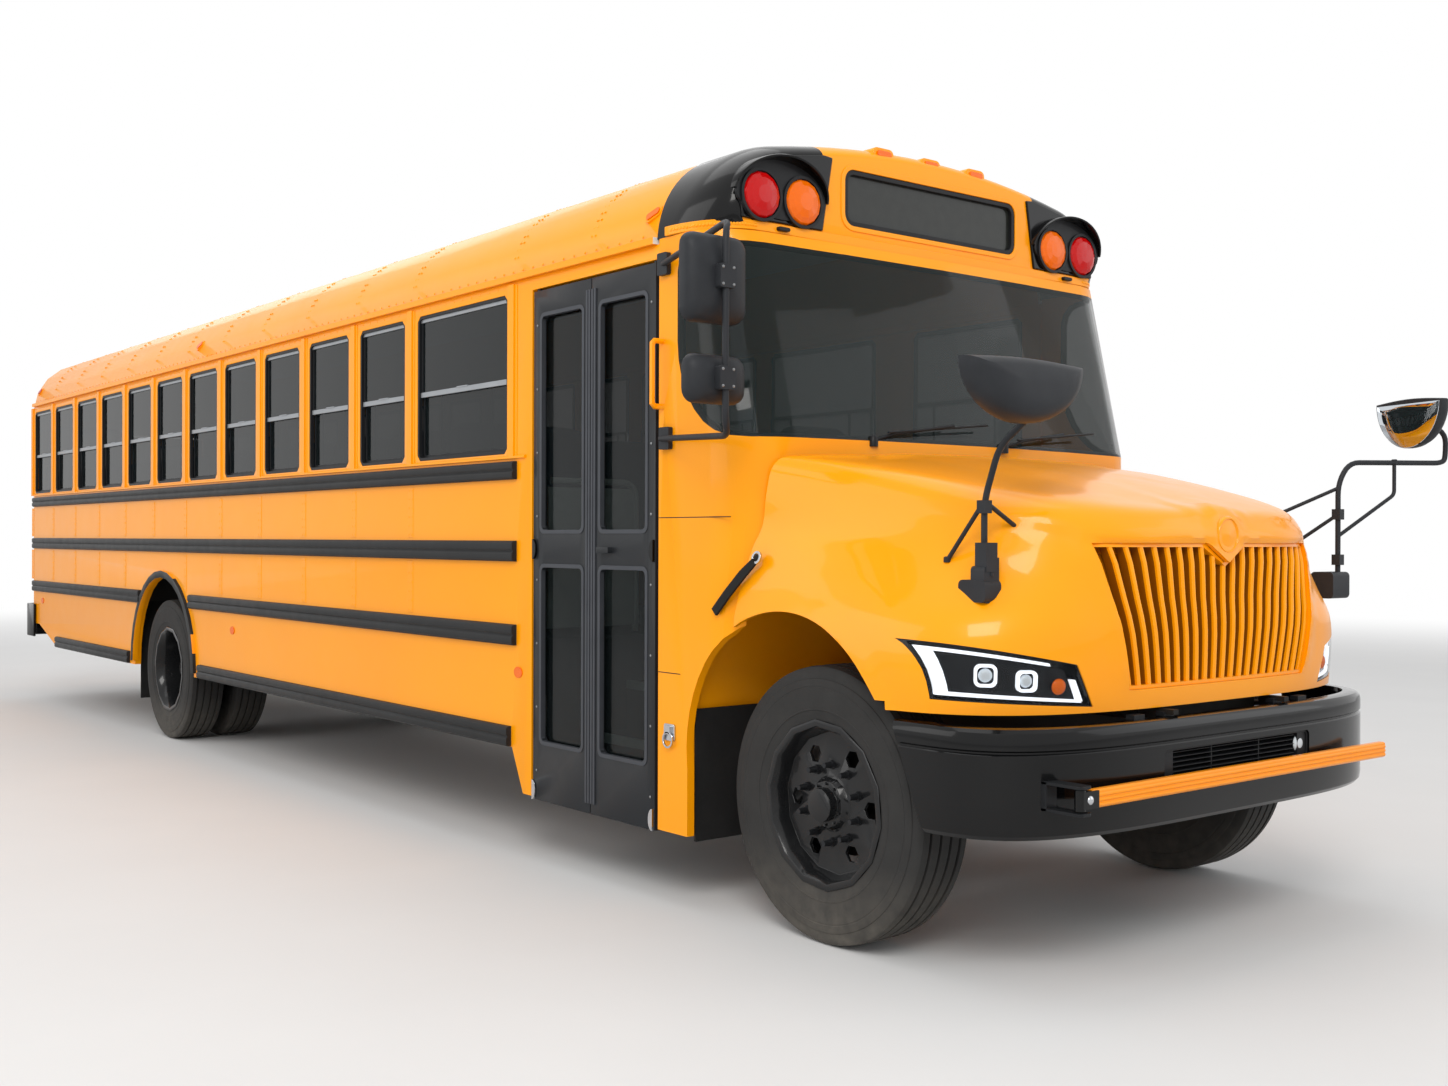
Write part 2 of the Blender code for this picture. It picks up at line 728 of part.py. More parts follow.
SIGN_HALF = 0.536
SIGN_Z = (2.790, 3.025)
SIGN_DEPTH = 0.020
SIGN_CORNER_R = 0.05
LAMP_X = (0.785, 1.004)
LAMP_Z = 2.843
BEZEL_R = 0.106
VISOR_R = (0.250, 0.165)
VISOR_THICK = 0.012
VISOR_OUT = 0.075
MARKER_X = 0.290
MARKER_HALF = 0.050
MARKER_Z = 3.125
MARKER_RISE = 0.030
LIP_OUT = 0.012
LIP_Z = (2.702, 2.740)


def cap_plan(out):
    """Plan of the cap at the drip, standing out by a small amount, from +X to -X."""
    along, across = CAP_ROUND_LOW
    half = []
    for turn in (0, 30, 60, 90):
        angle = math.radians(turn)
        x = BODY_HALF - across * (1 - math.cos(angle)) + out * math.cos(angle)
        half.append((x, CAP_FRONT + along * (1 - math.sin(angle)) - out * math.sin(angle)))
    return half + [(-x, y) for x, y in half[::-1]]


def front_cap(material, bus):
    def base(bm):
        roof_form(bm, (CAP_REAR, CAP_FRONT), 0, CAP_Z, CAP_ROUND_LOW, CAP_ROUND_TOP, -1)

    def join(bm):
        plate(bm, cap_plan(LIP_OUT) + cap_plan(-LIP_OUT)[::-1], "Z", LIP_Z)
        for side in (-1, 1):
            for x in LAMP_X:
                disc(bm, (side * x, LAMP_Z), BEZEL_R, "Y", (CAP_FRONT - LAMP_OUT, CAP_FRONT + WALL / 2))
            centre = (side * (LAMP_X[0] + LAMP_X[1]) / 2, LAMP_Z)
            inner = (VISOR_R[0] - VISOR_THICK, VISOR_R[1] - VISOR_THICK)
            outline = arc(centre, VISOR_R, 5, 175) + arc(centre, inner, 175, 5)
            plate(bm, outline, "Y", (CAP_FRONT - VISOR_OUT, CAP_FRONT + WALL / 2))
        for x in (-MARKER_X, 0, MARKER_X):
            block(bm, (x - MARKER_HALF, x + MARKER_HALF), (CAP_FRONT + SINK, CAP_FRONT + CAP_ROUND_TOP[0]),
                  (MARKER_Z - MARKER_RISE, MARKER_Z + MARKER_RISE))

    def cut(bm):
        roof_form(bm, (CAP_REAR + OVERRUN, CAP_FRONT + WALL), WALL, DRIP_Z - OVERRUN,
                  CAP_ROUND_LOW, CAP_ROUND_TOP, -1)
        plate(bm, rounded((-SIGN_HALF, SIGN_HALF), SIGN_Z, SIGN_CORNER_R), "Y",
              (CAP_FRONT - OVERRUN, CAP_FRONT + SIGN_DEPTH))

    node("front_cap", material, base, join, cut, parent=bus)


REAR_DOOR_HALF = 0.360
REAR_DOOR_Z = (1.000, 2.460)
REAR_GLASS_X = (0.480, 1.050)
REAR_GLASS_Z = (1.877, 2.500)
REAR_NOTCH = (0.600, 0.870)
TAIL_LAMP_X = 0.930
TAIL_LAMP_Z = (1.180, 1.420)
TAIL_LAMP_R = 0.055


def rear_wall(material, bus):
    post = BODY_HALF - CORNER_POST
    y = BODY_REAR - CORNER_POST

    def base(bm):
        half = [(BODY_HALF, y + GAP)] + arc((post, y), (CORNER_POST, CORNER_POST), 8, 90, 4)
        inner_r = CORNER_POST - WALL
        back = [(BODY_HALF - WALL, y + GAP)] + arc((post, y), (inner_r, inner_r), 8, 90, 4)
        outline = half + mirrored(half)[::-1] + mirrored(back) + back[::-1]
        plate(bm, outline, "Z", (REAR_SKIRT_Z, DRIP_Z))

    def join(bm):
        for side in (-1, 1):
            for z in TAIL_LAMP_Z:
                disc(bm, (side * TAIL_LAMP_X, z), TAIL_LAMP_R, "Y", (BODY_REAR - SINK, BODY_REAR + LAMP_OUT), 12)

    def cut(bm):
        span = (BODY_REAR - WALL - OVERRUN, BODY_REAR + OVERRUN)
        block(bm, (-REAR_DOOR_HALF, REAR_DOOR_HALF), span, REAR_DOOR_Z)
        block(bm, (-REAR_NOTCH[0], REAR_NOTCH[0]), span, (0, REAR_NOTCH[1]))
        for side in (-1, 1):
            x = sides(side, *REAR_GLASS_X)
            plate(bm, rounded(x, REAR_GLASS_Z, WINDOW_CORNER_R, 1), "Y", span)
            block(bm, (x[0] - SASH_LAP, x[1] + SASH_LAP), (span[0], BODY_REAR - WALL + PANE + GAP),
                  (REAR_GLASS_Z[0] - SASH_LAP, REAR_GLASS_Z[1] + SASH_LAP))

    node("rear_wall", material, base, join, cut, parent=bus)


def rear_glass(side, material, bus):
    x = sides(side, *REAR_GLASS_X)
    lap = SASH_LAP - GAP
    back = BODY_REAR - WALL

    def base(bm):
        block(bm, (x[0] - lap, x[1] + lap), (back, back + PANE), (REAR_GLASS_Z[0] - lap, REAR_GLASS_Z[1] + lap))

    node("left_rear_glass" if side > 0 else "right_rear_glass", material, base, parent=bus)


EXIT_GAP = 0.010
EXIT_HINGE_OUT = 0.024
EXIT_GLASS_HALF = 0.260
EXIT_GLASS_Z = ((1.150, 1.560), (1.800, 2.360))


def emergency_door(material, glass, bus):
    half = REAR_DOOR_HALF - EXIT_GAP
    pivot = (-REAR_DOOR_HALF - EXIT_GAP, BODY_REAR + EXIT_HINGE_OUT, 0)
    low, top = REAR_DOOR_Z[0] + EXIT_GAP, REAR_DOOR_Z[1] - EXIT_GAP
    back = BODY_REAR - WALL
    pane_z = (EXIT_GLASS_Z[0][0] - SASH_LAP, EXIT_GLASS_Z[1][1] + SASH_LAP)
    pane_half = EXIT_GLASS_HALF + SASH_LAP

    def base(bm):
        block(bm, (-half, half), (back, BODY_REAR), (low, top))

    def join(bm):
        for z in (low + SEAT_PITCH / 4, (low + top) / 2, top - SEAT_PITCH / 4):
            end = (pivot[0] - HINGE_PIN_R, pivot[1] + HINGE_PIN_R)
            leaf = -half + 2 * HINGE_BLOCK
            foot = BODY_REAR + EXIT_GAP
            outline = [(end[0], foot), (-half + SINK, foot), (-half + SINK, BODY_REAR - SINK),
                       (leaf, BODY_REAR - SINK), (leaf, end[1]), end]
            plate(bm, outline, "Z", (z - HINGE_BLOCK, z + HINGE_BLOCK))

    def cut(bm):
        for z in EXIT_GLASS_Z:
            plate(bm, rounded((-EXIT_GLASS_HALF, EXIT_GLASS_HALF), z, WINDOW_CORNER_R, 1), "Y",
                  (back - OVERRUN, BODY_REAR + OVERRUN))
        block(bm, (-pane_half, pane_half), (back - OVERRUN, back + PANE + GAP), pane_z)

    def pane(bm):
        block(bm, (-pane_half + GAP, pane_half - GAP), (back, back + PANE), (pane_z[0] + GAP, pane_z[1] - GAP))

    node("emergency_door", material, base, join, cut, pivot=pivot, parent=bus)
    node("emergency_door_glass", glass, pane, pivot=pivot, parent=bus)


# Nose of the body: cowl with the windshield frame, and the windshield

BULKHEAD = 0.030
HANDLE_Y = 0.860
HANDLE_GRAB_Z = (2.015, 2.281)
HANDLE_OUT = 0.052
HANDLE_R = 0.0125
FLOOR_GAP_Z = FRAME_Z[1] + GAP
FLAP_X = (0.850, 1.175)
FLAP_Z = (0.270, 0.800)
FLAP_THICK = 0.012


def cowl(material, bus):
    wheel_half = BODY_HALF - COWL_SHELL - 4 * SINK

    def join(bm):
        half = BODY_HALF - COWL_SHELL / 2
        y = (WHEELHOUSE_REAR, WHEELHOUSE_REAR + BULKHEAD)
        tunnel = RAIL_X[1] + 2 * OVERRUN
        right = [(-half, WHEELHOUSE_TOP + SINK), (-half, SIDE_FOOT_Z + SINK), (-tunnel, SIDE_FOOT_Z + SINK),
                 (-tunnel, FLOOR_GAP_Z)]
        plate(bm, right + mirrored(right[::-1]), "Y", y)
        share = half / BODY_HALF
        shelf = [(x * share, min(y_at, y[1] - SINK)) for x, y_at in cowl_curve(COWL_FRONT + COWL_SHELL / 2, COWL_BOW)]
        plate(bm, shelf, "Z", (WHEELHOUSE_TOP, WHEELHOUSE_TOP + BULKHEAD))
        out = -BODY_HALF - HANDLE_OUT
        low, top = HANDLE_GRAB_Z
        tube(bm, [(-BODY_HALF + SINK, HANDLE_Y, low), (out + HANDLE_R, HANDLE_Y, low), (out, HANDLE_Y, low + HANDLE_R),
                  (out, HANDLE_Y, top - HANDLE_R), (out + HANDLE_R, HANDLE_Y, top), (-BODY_HALF + SINK, HANDLE_Y, top)],
             HANDLE_R, 6)

    def cut(bm):
        screen_opening(bm, 0)
        wide = (-BODY_HALF - OVERRUN, BODY_HALF + OVERRUN)
        disc(bm, ARCH_CENTRE, ARCH_R, "X", wide, 48)
        arch_rear = ARCH_CENTRE[0] + ARCH_R
        block(bm, wide, (0, arch_rear - SINK), (0, ARCH_CENTRE[1]))

    def bay(bm):
        block(bm, (-wheel_half, wheel_half), (0, WHEELHOUSE_REAR - SINK), (0, WHEELHOUSE_TOP))

    obj = node("cowl", material, nose_surface, None, cut, shell=COWL_SHELL, parent=bus, split=True)
    combine(obj, "DIFFERENCE", bay, (0, 0, 0), bus, True)
    combine(obj, "UNION", join, (0, 0, 0), bus, True)


def windshield(material, bus):
    def keep(bm):
        screen_opening(bm, GAP)

    node("windshield", material, nose_surface, keep=keep, shell=SCREEN_GLASS, parent=bus)


def front_flap(side, material, bus):
    def base(bm):
        block(bm, sides(side, *FLAP_X), (WHEELHOUSE_REAR - GAP - FLAP_THICK, WHEELHOUSE_REAR - GAP), FLAP_Z)

    node("left_front_flap" if side > 0 else "right_front_flap", material, base, parent=bus)


# Tilting hood with its grille and headlights

LUG_X = (0.270, 0.330)
LUG_REACH = 0.012
LUG_TOP = 0.930
BADGE_Y = (-0.952, -0.900)
SLAT_BAR = 0.018


def grille_outline(inset):
    low, top = GRILLE_Z[0] + inset, GRILLE_Z[1] - inset
    foot, head = GRILLE_HALF[0] - inset, GRILLE_HALF[1] - inset
    notch, notch_z = GRILLE_NOTCH[0] + inset, GRILLE_NOTCH[1] - inset
    return [(-foot, low), (foot, low), (head, top), (notch, top), (0, notch_z), (-notch, top), (-head, top)]


def lamp_outline(side, inset):
    points = [(LAMP_OUTER_X - inset, LAMP_OUTER_Z[0] + inset), (LAMP_OUTER_X - inset, LAMP_OUTER_Z[1] - inset),
              (LAMP_TOP_X + inset, LAMP_INNER_Z[1] - inset), (LAMP_TIP_X + 2 * inset, LAMP_INNER_Z[0] + inset)]
    return [(side * x, z) for x, z in points]


FRONT_CUT = (HOOD_FRONT - OVERRUN, -0.300)


def hood(material, bus):
    def join(bm):
        for side in (-1, 1):
            block(bm, sides(side, *LUG_X), (HOOD_PIVOT[1] - LUG_REACH, HOOD_FRONT + HOOD_SHELL + SINK),
                  (HOOD_PIVOT[2] - LUG_REACH + GAP, LUG_TOP))
        disc(bm, (0, BADGE_Z), BADGE_R, "Y", BADGE_Y, 20)

    def cut(bm):
        plate(bm, grille_outline(0), "Y", FRONT_CUT)
        for side in (-1, 1):
            plate(bm, lamp_outline(side, 0), "Y", FRONT_CUT)
        wide = (-BODY_HALF - OVERRUN, BODY_HALF + OVERRUN)
        disc(bm, ARCH_CENTRE, ARCH_R, "X", wide, 48)
        block(bm, wide, (ARCH_FOOT_Y, HOOD_REAR + OVERRUN), (0, ARCH_FOOT_Z))

    node("hood", material, hood_surface, join, cut, shell=HOOD_SHELL, pivot=HOOD_PIVOT, parent=bus)


ARCH_FOOT_Y = -0.40
ARCH_FOOT_Z = 0.93


GRILLE_ROW_SHARES = ((-0.15, 1.010), (0.66, 0.928))
GRILLE_RECESS = 0.012
GRILLE_CURVE_STEPS = (1, 5)


def grille_surface(bm):
    """A surface just behind the hood's front, ruled between a low and a high curve."""
    length = HOOD_REAR - HOOD_FRONT
    rows = []
    for rise, half in GRILLE_ROW_SHARES:
        corner = HOOD_REAR - length * (0.41 if half > 1 else 0.58)
        points = u_curve(half * HOOD_HALF, 0 if half > 1 else 0.25, HOOD_REAR - length / 2, corner,
                         HOOD_FRONT + GRILLE_RECESS, GRILLE_CURVE_STEPS)
        rows.append([(x, y, HOOD_BOTTOM + (HOOD_TOP - HOOD_BOTTOM) * rise) for x, y in points])
    sheet(bm, rows)


def grille(material, bus):
    def keep(bm):
        plate(bm, grille_outline(GAP), "Y", FRONT_CUT)

    def cut(bm):
        low = GRILLE_Z[0] + SLAT_BAR
        rise = GRILLE_Z[1] - GRILLE_NOTCH[1]
        for k in range(SLATS + 1):
            middle = (2 * k - SLATS) / (SLATS + 1.4)
            half = SLOT_SHARE / (SLATS + 1.4)
            lean = abs(middle) * GRILLE_HALF[1] / GRILLE_NOTCH[0]
            top = GRILLE_NOTCH[1] + rise * min(lean, 1) - SLAT_BAR
            outline = [((middle - half) * GRILLE_HALF[0], low), ((middle + half) * GRILLE_HALF[0], low),
                       ((middle + half) * GRILLE_HALF[1], top), ((middle - half) * GRILLE_HALF[1], top)]
            plate(bm, outline, "Y", FRONT_CUT)

    node("grille", material, grille_surface, keep=keep, cut=cut, shell=GRILLE_DEPTH, pivot=HOOD_PIVOT, parent=bus,
         split=True)


def headlight(side, material, bus):
    def keep(bm):
        plate(bm, lamp_outline(side, GAP), "Y", FRONT_CUT)

    name = "left_headlight" if side > 0 else "right_headlight"
    node(name, material, hood_surface, keep=keep, shell=LAMP_DEPTH, pivot=HOOD_PIVOT, parent=bus)


# Cross-view mirror on each front fender. The left one stands out further on a longer arm and faces inward.
CROSS_MOUNT_X = {-1: (0.955, 1.035), 1: (1.000, 1.130)}
CROSS_MOUNT_Y = {-1: (-0.70, -0.58), 1: (-0.79, -0.69)}
CROSS_MOUNT_Z = {-1: (1.270, 1.345), 1: (1.240, 1.350)}
CROSS_BAR_R = 0.011
# Columns: x, y, z of each bend of the post and arm, from its mount to its head
CROSS_PATHS = {
    -1: ((0.995, -0.660, 1.335), (0.995, -0.660, 1.610), (0.990, -0.720, 1.790), (0.980, -0.850, 1.890),
         (0.980, -0.850, 2.030)),
    1: ((1.108, -0.750, 1.340), (1.108, -0.750, 1.720), (1.160, -0.770, 1.808), (1.620, -0.945, 1.815),
        (1.628, -0.950, 1.850), (1.628, -0.950, 1.950), (1.540, -0.880, 1.990)),
}
CROSS_BRACES = {
    -1: (((0.995, -0.660, 1.610), (0.998, -0.496, 1.408)),
         ((0.995, -0.660, 1.610), (0.815, -0.660, 1.514))),
    1: (((1.108, -0.750, 1.590), (1.015, -0.450, 1.367)),
        ((1.108, -0.750, 1.700), (0.900, -0.390, 1.507)),
        ((1.108, -0.750, 1.498), (1.375, -0.854, 1.676), (1.375, -0.854, 1.812))),
}
# Columns: middle of the top edge, half length and drop, depth before and behind, turn about the vertical
CROSS_HEADS = {
    -1: ((1.018, -0.845, 2.070), (0.285, 0.200), (0.070, 0.050), 0),
    1: ((1.520, -0.860, 2.090), (0.190, 0.200), (0.055, 0.045), 69),
}
CROSS_HEAD_SHARES = (0.80, 1.0, 0.86)


def cross_head(bm, side):
    """The mirror's D-shaped bowl: flat on top and round below, drawn in towards both faces."""
    centre, radii, depth, turn = CROSS_HEADS[side]
    spin = Matrix.Rotation(math.radians(turn), 3, "Z")
    middle = Vector((side * centre[0], centre[1], centre[2]))
    rings = []
    for share, along in zip(CROSS_HEAD_SHARES, (-depth[0], 0, depth[1])):
        outline = arc((0, 0), (radii[0] * share, radii[1] * share), 180, 360)
        rings.append([middle + spin @ Vector((x, along, z)) for x, z in outline])
    loft(bm, rings)


def cross_mirror(side, material, bus):
    path = [(side * x, y, z) for x, y, z in CROSS_PATHS[side]]

    def base(bm):
        block(bm, sides(side, *CROSS_MOUNT_X[side]), CROSS_MOUNT_Y[side], CROSS_MOUNT_Z[side])

    def join(bm):
        tube(bm, path, CROSS_BAR_R)
        for brace in CROSS_BRACES[side]:
            tube(bm, [(side * x, y, z) for x, y, z in brace], CROSS_BAR_R)
        cross_head(bm, side)

    obj = node("left_cross_mirror" if side > 0 else "right_cross_mirror", material, base, join,
               pivot=HOOD_PIVOT, parent=bus)
    seat_on_hood(obj, bus)


SEAT_CUT = 0.10


def seat_on_hood(obj, bus):
    combine(obj, "DIFFERENCE", hood_surface, HOOD_PIVOT, bus)
    tool = obj.modifiers[-1].object
    wall = tool.modifiers.new("wall", "SOLIDIFY")
    wall.thickness = SEAT_CUT
    wall.offset = -1 + 2 * GAP / SEAT_CUT


# Side mirrors on the windshield posts
# The left pair stands further back, beside the driver's window
MIRROR_TUBES = {-1: (1.500, 0.100), 1: (1.420, 1.170)}
MIRROR_TUBE_Z = (1.850, 2.620)
MIRROR_BASE_Y = (0.835, 0.850)
MIRROR_BASE_Z = (1.885, 2.590)
MIRROR_BAR_R = 0.0125
FLAT_MIRROR = (0.278, 0.318, 0.085)
FLAT_MIRROR_Z = 2.410
ROUND_MIRROR = (0.270, 0.175, 0.075)
ROUND_MIRROR_Z = 2.050
MIRROR_BEVEL = 0.030
CLAMP = 0.045


def mirror_head(bm, centre, size):
    """A housing whose front face is drawn in on all sides."""
    rings = []
    for share, y in ((0.72, -size[2] / 2), (0.97, 0), (1.0, size[2] / 3), (0.94, size[2] / 2)):
        outline = rounded((-size[0] / 2 * share, size[0] / 2 * share), (-size[1] / 2 * share, size[1] / 2 * share),
                          MIRROR_BEVEL, 1)
        rings.append([(centre[0] + x, centre[1] + y, centre[2] + z) for x, z in outline])
    loft(bm, rings)


def side_mirrors(side, material, bus):
    x, y = MIRROR_TUBES[side]
    low, top = MIRROR_TUBE_Z
    base_x = BODY_HALF + GAP

    def base(bm):
        bend = 2 * MIRROR_BEVEL
        root = base_x + CLAMP / 3
        path = [(root, MIRROR_BASE_Y[0], MIRROR_BASE_Z[1]), (x - bend, y + bend, top), (x, y, top - bend),
                (x, y, low + bend), (x - bend, y + bend, low), (root, MIRROR_BASE_Y[1], MIRROR_BASE_Z[0])]
        tube(bm, [(side * a, b, c) for a, b, c in path], MIRROR_BAR_R)

    def join(bm):
        for y_at, z in zip(MIRROR_BASE_Y, MIRROR_BASE_Z):
            block(bm, sides(side, base_x, base_x + CLAMP / 2), (y_at - CLAMP, y_at + CLAMP / 2), (z - CLAMP, z + CLAMP))
        for size, z in ((FLAT_MIRROR, FLAT_MIRROR_Z), (ROUND_MIRROR, ROUND_MIRROR_Z)):
            mirror_head(bm, (side * x, y + MIRROR_BAR_R + size[2] / 2, z), size)
            block(bm, sides(side, x - CLAMP, x + CLAMP), (y - MIRROR_BAR_R, y + MIRROR_BAR_R + size[2] / 3),
                  (z - CLAMP, z + CLAMP))

    node("left_mirrors" if side > 0 else "right_mirrors", material, base, join, parent=bus)


# Doors, crossing gate and stop arm


def door_leaf(name, y, pivot_y, material, glass, bus, handle_y=None):
    outer = -BODY_HALF - DOOR_OUT
    inner = outer + DOOR_THICK
    pivot = ((outer + inner) / 2, pivot_y, 0)
    open_y = (y[0] + DOOR_STILE, y[1] - DOOR_STILE)
    pane_y = (open_y[0] - SASH_LAP, open_y[1] + SASH_LAP)
    pane_z = (DOOR_LOWER_GLASS_Z[0] - SASH_LAP, DOOR_UPPER_GLASS_Z[1] + SASH_LAP)

    def base(bm):
        block(bm, (outer, inner), y, (DOOR_BOTTOM_Z, DOOR_TOP_Z))

    def join(bm):
        disc(bm, pivot[:2], DOOR_PIN_R, "Z", (DOOR_TOP_Z - SINK, DOOR_HEADER_Z - GAP), PIN_STEPS)
        if not handle_y:
            return
        reach = 2 * HANDLE_R
        one, two = handle_y - CLAMP, handle_y + CLAMP
        outline = [(outer + SINK, one), (outer - reach, one), (outer - reach, two), (outer + SINK, two),
                   (outer + SINK, two - HANDLE_R), (outer - HANDLE_R, two - HANDLE_R),
                   (outer - HANDLE_R, one + HANDLE_R), (outer + SINK, one + HANDLE_R)]
        plate(bm, outline, "Z", (HANDLE_Z - HANDLE_R, HANDLE_Z + HANDLE_R))

    def cut(bm):
        for z in (DOOR_LOWER_GLASS_Z, DOOR_UPPER_GLASS_Z):
            plate(bm, rounded(open_y, z, WINDOW_CORNER_R, 1), "X", (outer - OVERRUN, inner + OVERRUN))
        block(bm, (inner - PANE - GAP, inner + OVERRUN), pane_y, pane_z)

    def pane(bm):
        block(bm, (inner - PANE, inner), (pane_y[0] + GAP, pane_y[1] - GAP), (pane_z[0] + GAP, pane_z[1] - GAP))

    node(name, material, base, join, cut, pivot=pivot, parent=bus)
    node(name + "_glass", glass, pane, pivot=pivot, parent=bus)


GATE_BARREL_R = 0.018
GATE_FORK = 0.016


def crossing_gate(material, bus):
    def base(bm):
        block(bm, (GATE_PIVOT_X + GATE_BARREL_R / 2, GATE_TIP_X), (GATE_Y - GATE_THICK / 2, GATE_Y + GATE_THICK / 2),
              GATE_Z)

    def join(bm):
        disc(bm, (GATE_PIVOT_X, GATE_Y), GATE_BARREL_R, "Z", (GATE_Z[0] - RUN_GAP, GATE_Z[1] + RUN_GAP), 12)

    node("crossing_gate", material, base, join, pivot=(GATE_PIVOT_X, GATE_Y, 0), parent=bus)


STOP_SIGN_R = 0.2475
STOP_SIGN_THICK = 0.012


def stop_arm(material, bus):
    centre = (STOP_HINGE[1] + STOP_SIGN_R + HINGE_BLOCK, STOP_Z)
    outline = [(centre[0] + STOP_SIGN_R * math.cos(math.pi * (k + 0.5) / 4),
                centre[1] + STOP_SIGN_R * math.sin(math.pi * (k + 0.5) / 4)) for k in range(8)]
    x = (STOP_HINGE[0] - STOP_SIGN_THICK / 2, STOP_HINGE[0] + STOP_SIGN_THICK / 2)
    reach = STOP_HALF - HINGE_BLOCK - GAP

    def base(bm):
        plate(bm, outline, "X", x)

    def join(bm):
        disc(bm, STOP_HINGE, HINGE_PIN_R, "Z", (STOP_Z - reach, STOP_Z + reach), 10)
        block(bm, x, (STOP_HINGE[1], centre[0]), (STOP_Z - STOP_HALF / 2, STOP_Z + STOP_HALF / 2))

    node("stop_arm", material, base, join, pivot=STOP_HINGE + (0,), parent=bus)


# Bumpers


def bumper_ring(inset, z):
    """Plan of the front bumper, moved in by an inset, from +X to -X."""
    points = u_curve(BUMPER_HALF - inset, 0, BUMPER_REAR, BUMPER_CORNER_Y, BUMPER_FRONT + inset, (1, 7),
                     2 / BUMPER_ROUND_SHARE)
    return [(x, y, z) for x, y in points]


BUMPER_REAR = -0.340
BUMPER_EDGE = 0.030
BUMPER_TUCK = 0.030
BUMPER_SLANT_Y = (-0.400, -0.600)
BRACKET_Z = (0.660, 0.820)


def front_bumper(material, bus):
    low, top = BUMPER_Z

    def base(bm):
        rows = [bumper_ring(BUMPER_TUCK, low), bumper_ring(0, low + BUMPER_EDGE), bumper_ring(0, top - BUMPER_EDGE),
                bumper_ring(BUMPER_EDGE / 3, top - BUMPER_EDGE / 4), bumper_ring(BUMPER_EDGE, top),
                bumper_ring(BUMPER_LEDGE, top)]
        sheet(bm, rows)

    def join(bm):
        for side in (-1, 1):
            block(bm, sides(side, RAIL_X[0] + SINK, RAIL_X[1] - SINK), (BUMPER_FRONT + BUMPER_SHEET / 2, FRAME_FRONT - GAP),
                  BRACKET_Z)
        fork = (GATE_PIVOT_X - GATE_THICK, GATE_PIVOT_X + GATE_THICK)
        face = (BUMPER_FRONT + BUMPER_CORNER_Y) / 2 - BUMPER_LEDGE
        for z in (GATE_Z[0] - RUN_GAP - GAP - GATE_FORK, GATE_Z[1] + RUN_GAP + GAP):
            block(bm, fork, (GATE_Y - GATE_THICK, face), (z, z + GATE_FORK))
        block(bm, fork, (BUMPER_FRONT + 2 * BUMPER_LEDGE - 2 * OVERRUN, face), (GATE_Z[0] - GATE_FORK, GATE_Z[1] + GATE_FORK))

    def cut(bm):
        slant = [(BUMPER_SLANT_Y[0], top + OVERRUN), (BUMPER_SLANT_Y[1], low - OVERRUN), (0, low - OVERRUN),
                 (0, top + OVERRUN)]
        plate(bm, slant, "X", (-BUMPER_HALF - OVERRUN, BUMPER_HALF + OVERRUN))
        plate(bm, rounded((-BUMPER_SLOT_HALF, BUMPER_SLOT_HALF), BUMPER_SLOT_Z, BUMPER_EDGE, 1), "Y",
              (BUMPER_FRONT - OVERRUN, BUMPER_FRONT + BUMPER_SHEET / 2))

    node("front_bumper", material, base, join, cut, shell=BUMPER_SHEET, parent=bus)


REAR_BUMPER_HALF = 1.246
REAR_BUMPER_SHEET = 0.020
REAR_BUMPER_WRAP = 10.640
REAR_BUMPER_CORNER = 0.075


def rear_bumper(material, bus):
    def base(bm):
        outer = [(REAR_BUMPER_HALF, REAR_BUMPER_WRAP), (REAR_BUMPER_HALF, REAR_BUMPER_BACK - REAR_BUMPER_CORNER),
                 (REAR_BUMPER_HALF - REAR_BUMPER_CORNER, REAR_BUMPER_BACK)]
        t = REAR_BUMPER_SHEET
        inner = [(x - t, y - t) for x, y in outer]
        inner[0] = (inner[0][0], REAR_BUMPER_WRAP)
        outline = outer + mirrored(outer)[::-1] + mirrored(inner) + inner[::-1]
        plate(bm, outline, "Z", REAR_BUMPER_Z)

    def join(bm):
        for side in (-1, 1):
            block(bm, sides(side, RAIL_X[0] + SINK, RAIL_X[1] - SINK),
                  (FRAME_REAR + GAP, REAR_BUMPER_BACK - REAR_BUMPER_SHEET / 2), BRACKET_Z)

    node("rear_bumper", material, base, join, parent=bus)


# Chassis

CROSSMEMBERS_Y = (-0.86, 0.62, 2.20, 3.90, 5.60, 7.78, 9.72, 10.72)
CROSSMEMBER_Z = (0.740, 0.840)
CROSSMEMBER_HALF = 0.035
RADIATOR = (0.330, 0.050, 1.460)
RADIATOR_Y = -0.820
HINGE_ARM_X = (0.336, 0.366)
HINGE_ARM_Z = (0.875, 0.893)


def frame(material, bus):
    def base(bm):
        block(bm, sides(1, *RAIL_X), (FRAME_FRONT, FRAME_REAR), FRAME_Z)

    def join(bm):
        block(bm, sides(-1, *RAIL_X), (FRAME_FRONT, FRAME_REAR), FRAME_Z)
        for y in CROSSMEMBERS_Y:
            block(bm, (-RAIL_X[0] - SINK, RAIL_X[0] + SINK), (y - CROSSMEMBER_HALF, y + CROSSMEMBER_HALF), CROSSMEMBER_Z)
        y = CROSSMEMBERS_Y[0]
        half, depth, top = RADIATOR
        block(bm, (-half, half), (RADIATOR_Y - depth / 2, RADIATOR_Y + depth / 2), (CROSSMEMBER_Z[1] - SINK, top))
        for side in (-1, 1):
            block(bm, sides(side, *HINGE_ARM_X), (HOOD_PIVOT[1] - LUG_REACH, y), HINGE_ARM_Z)
            block(bm, sides(side, *HINGE_ARM_X), (y - CROSSMEMBER_HALF, y), (CROSSMEMBER_Z[1] - SINK, HINGE_ARM_Z[1]))

    node("frame", material, base, join, parent=bus)


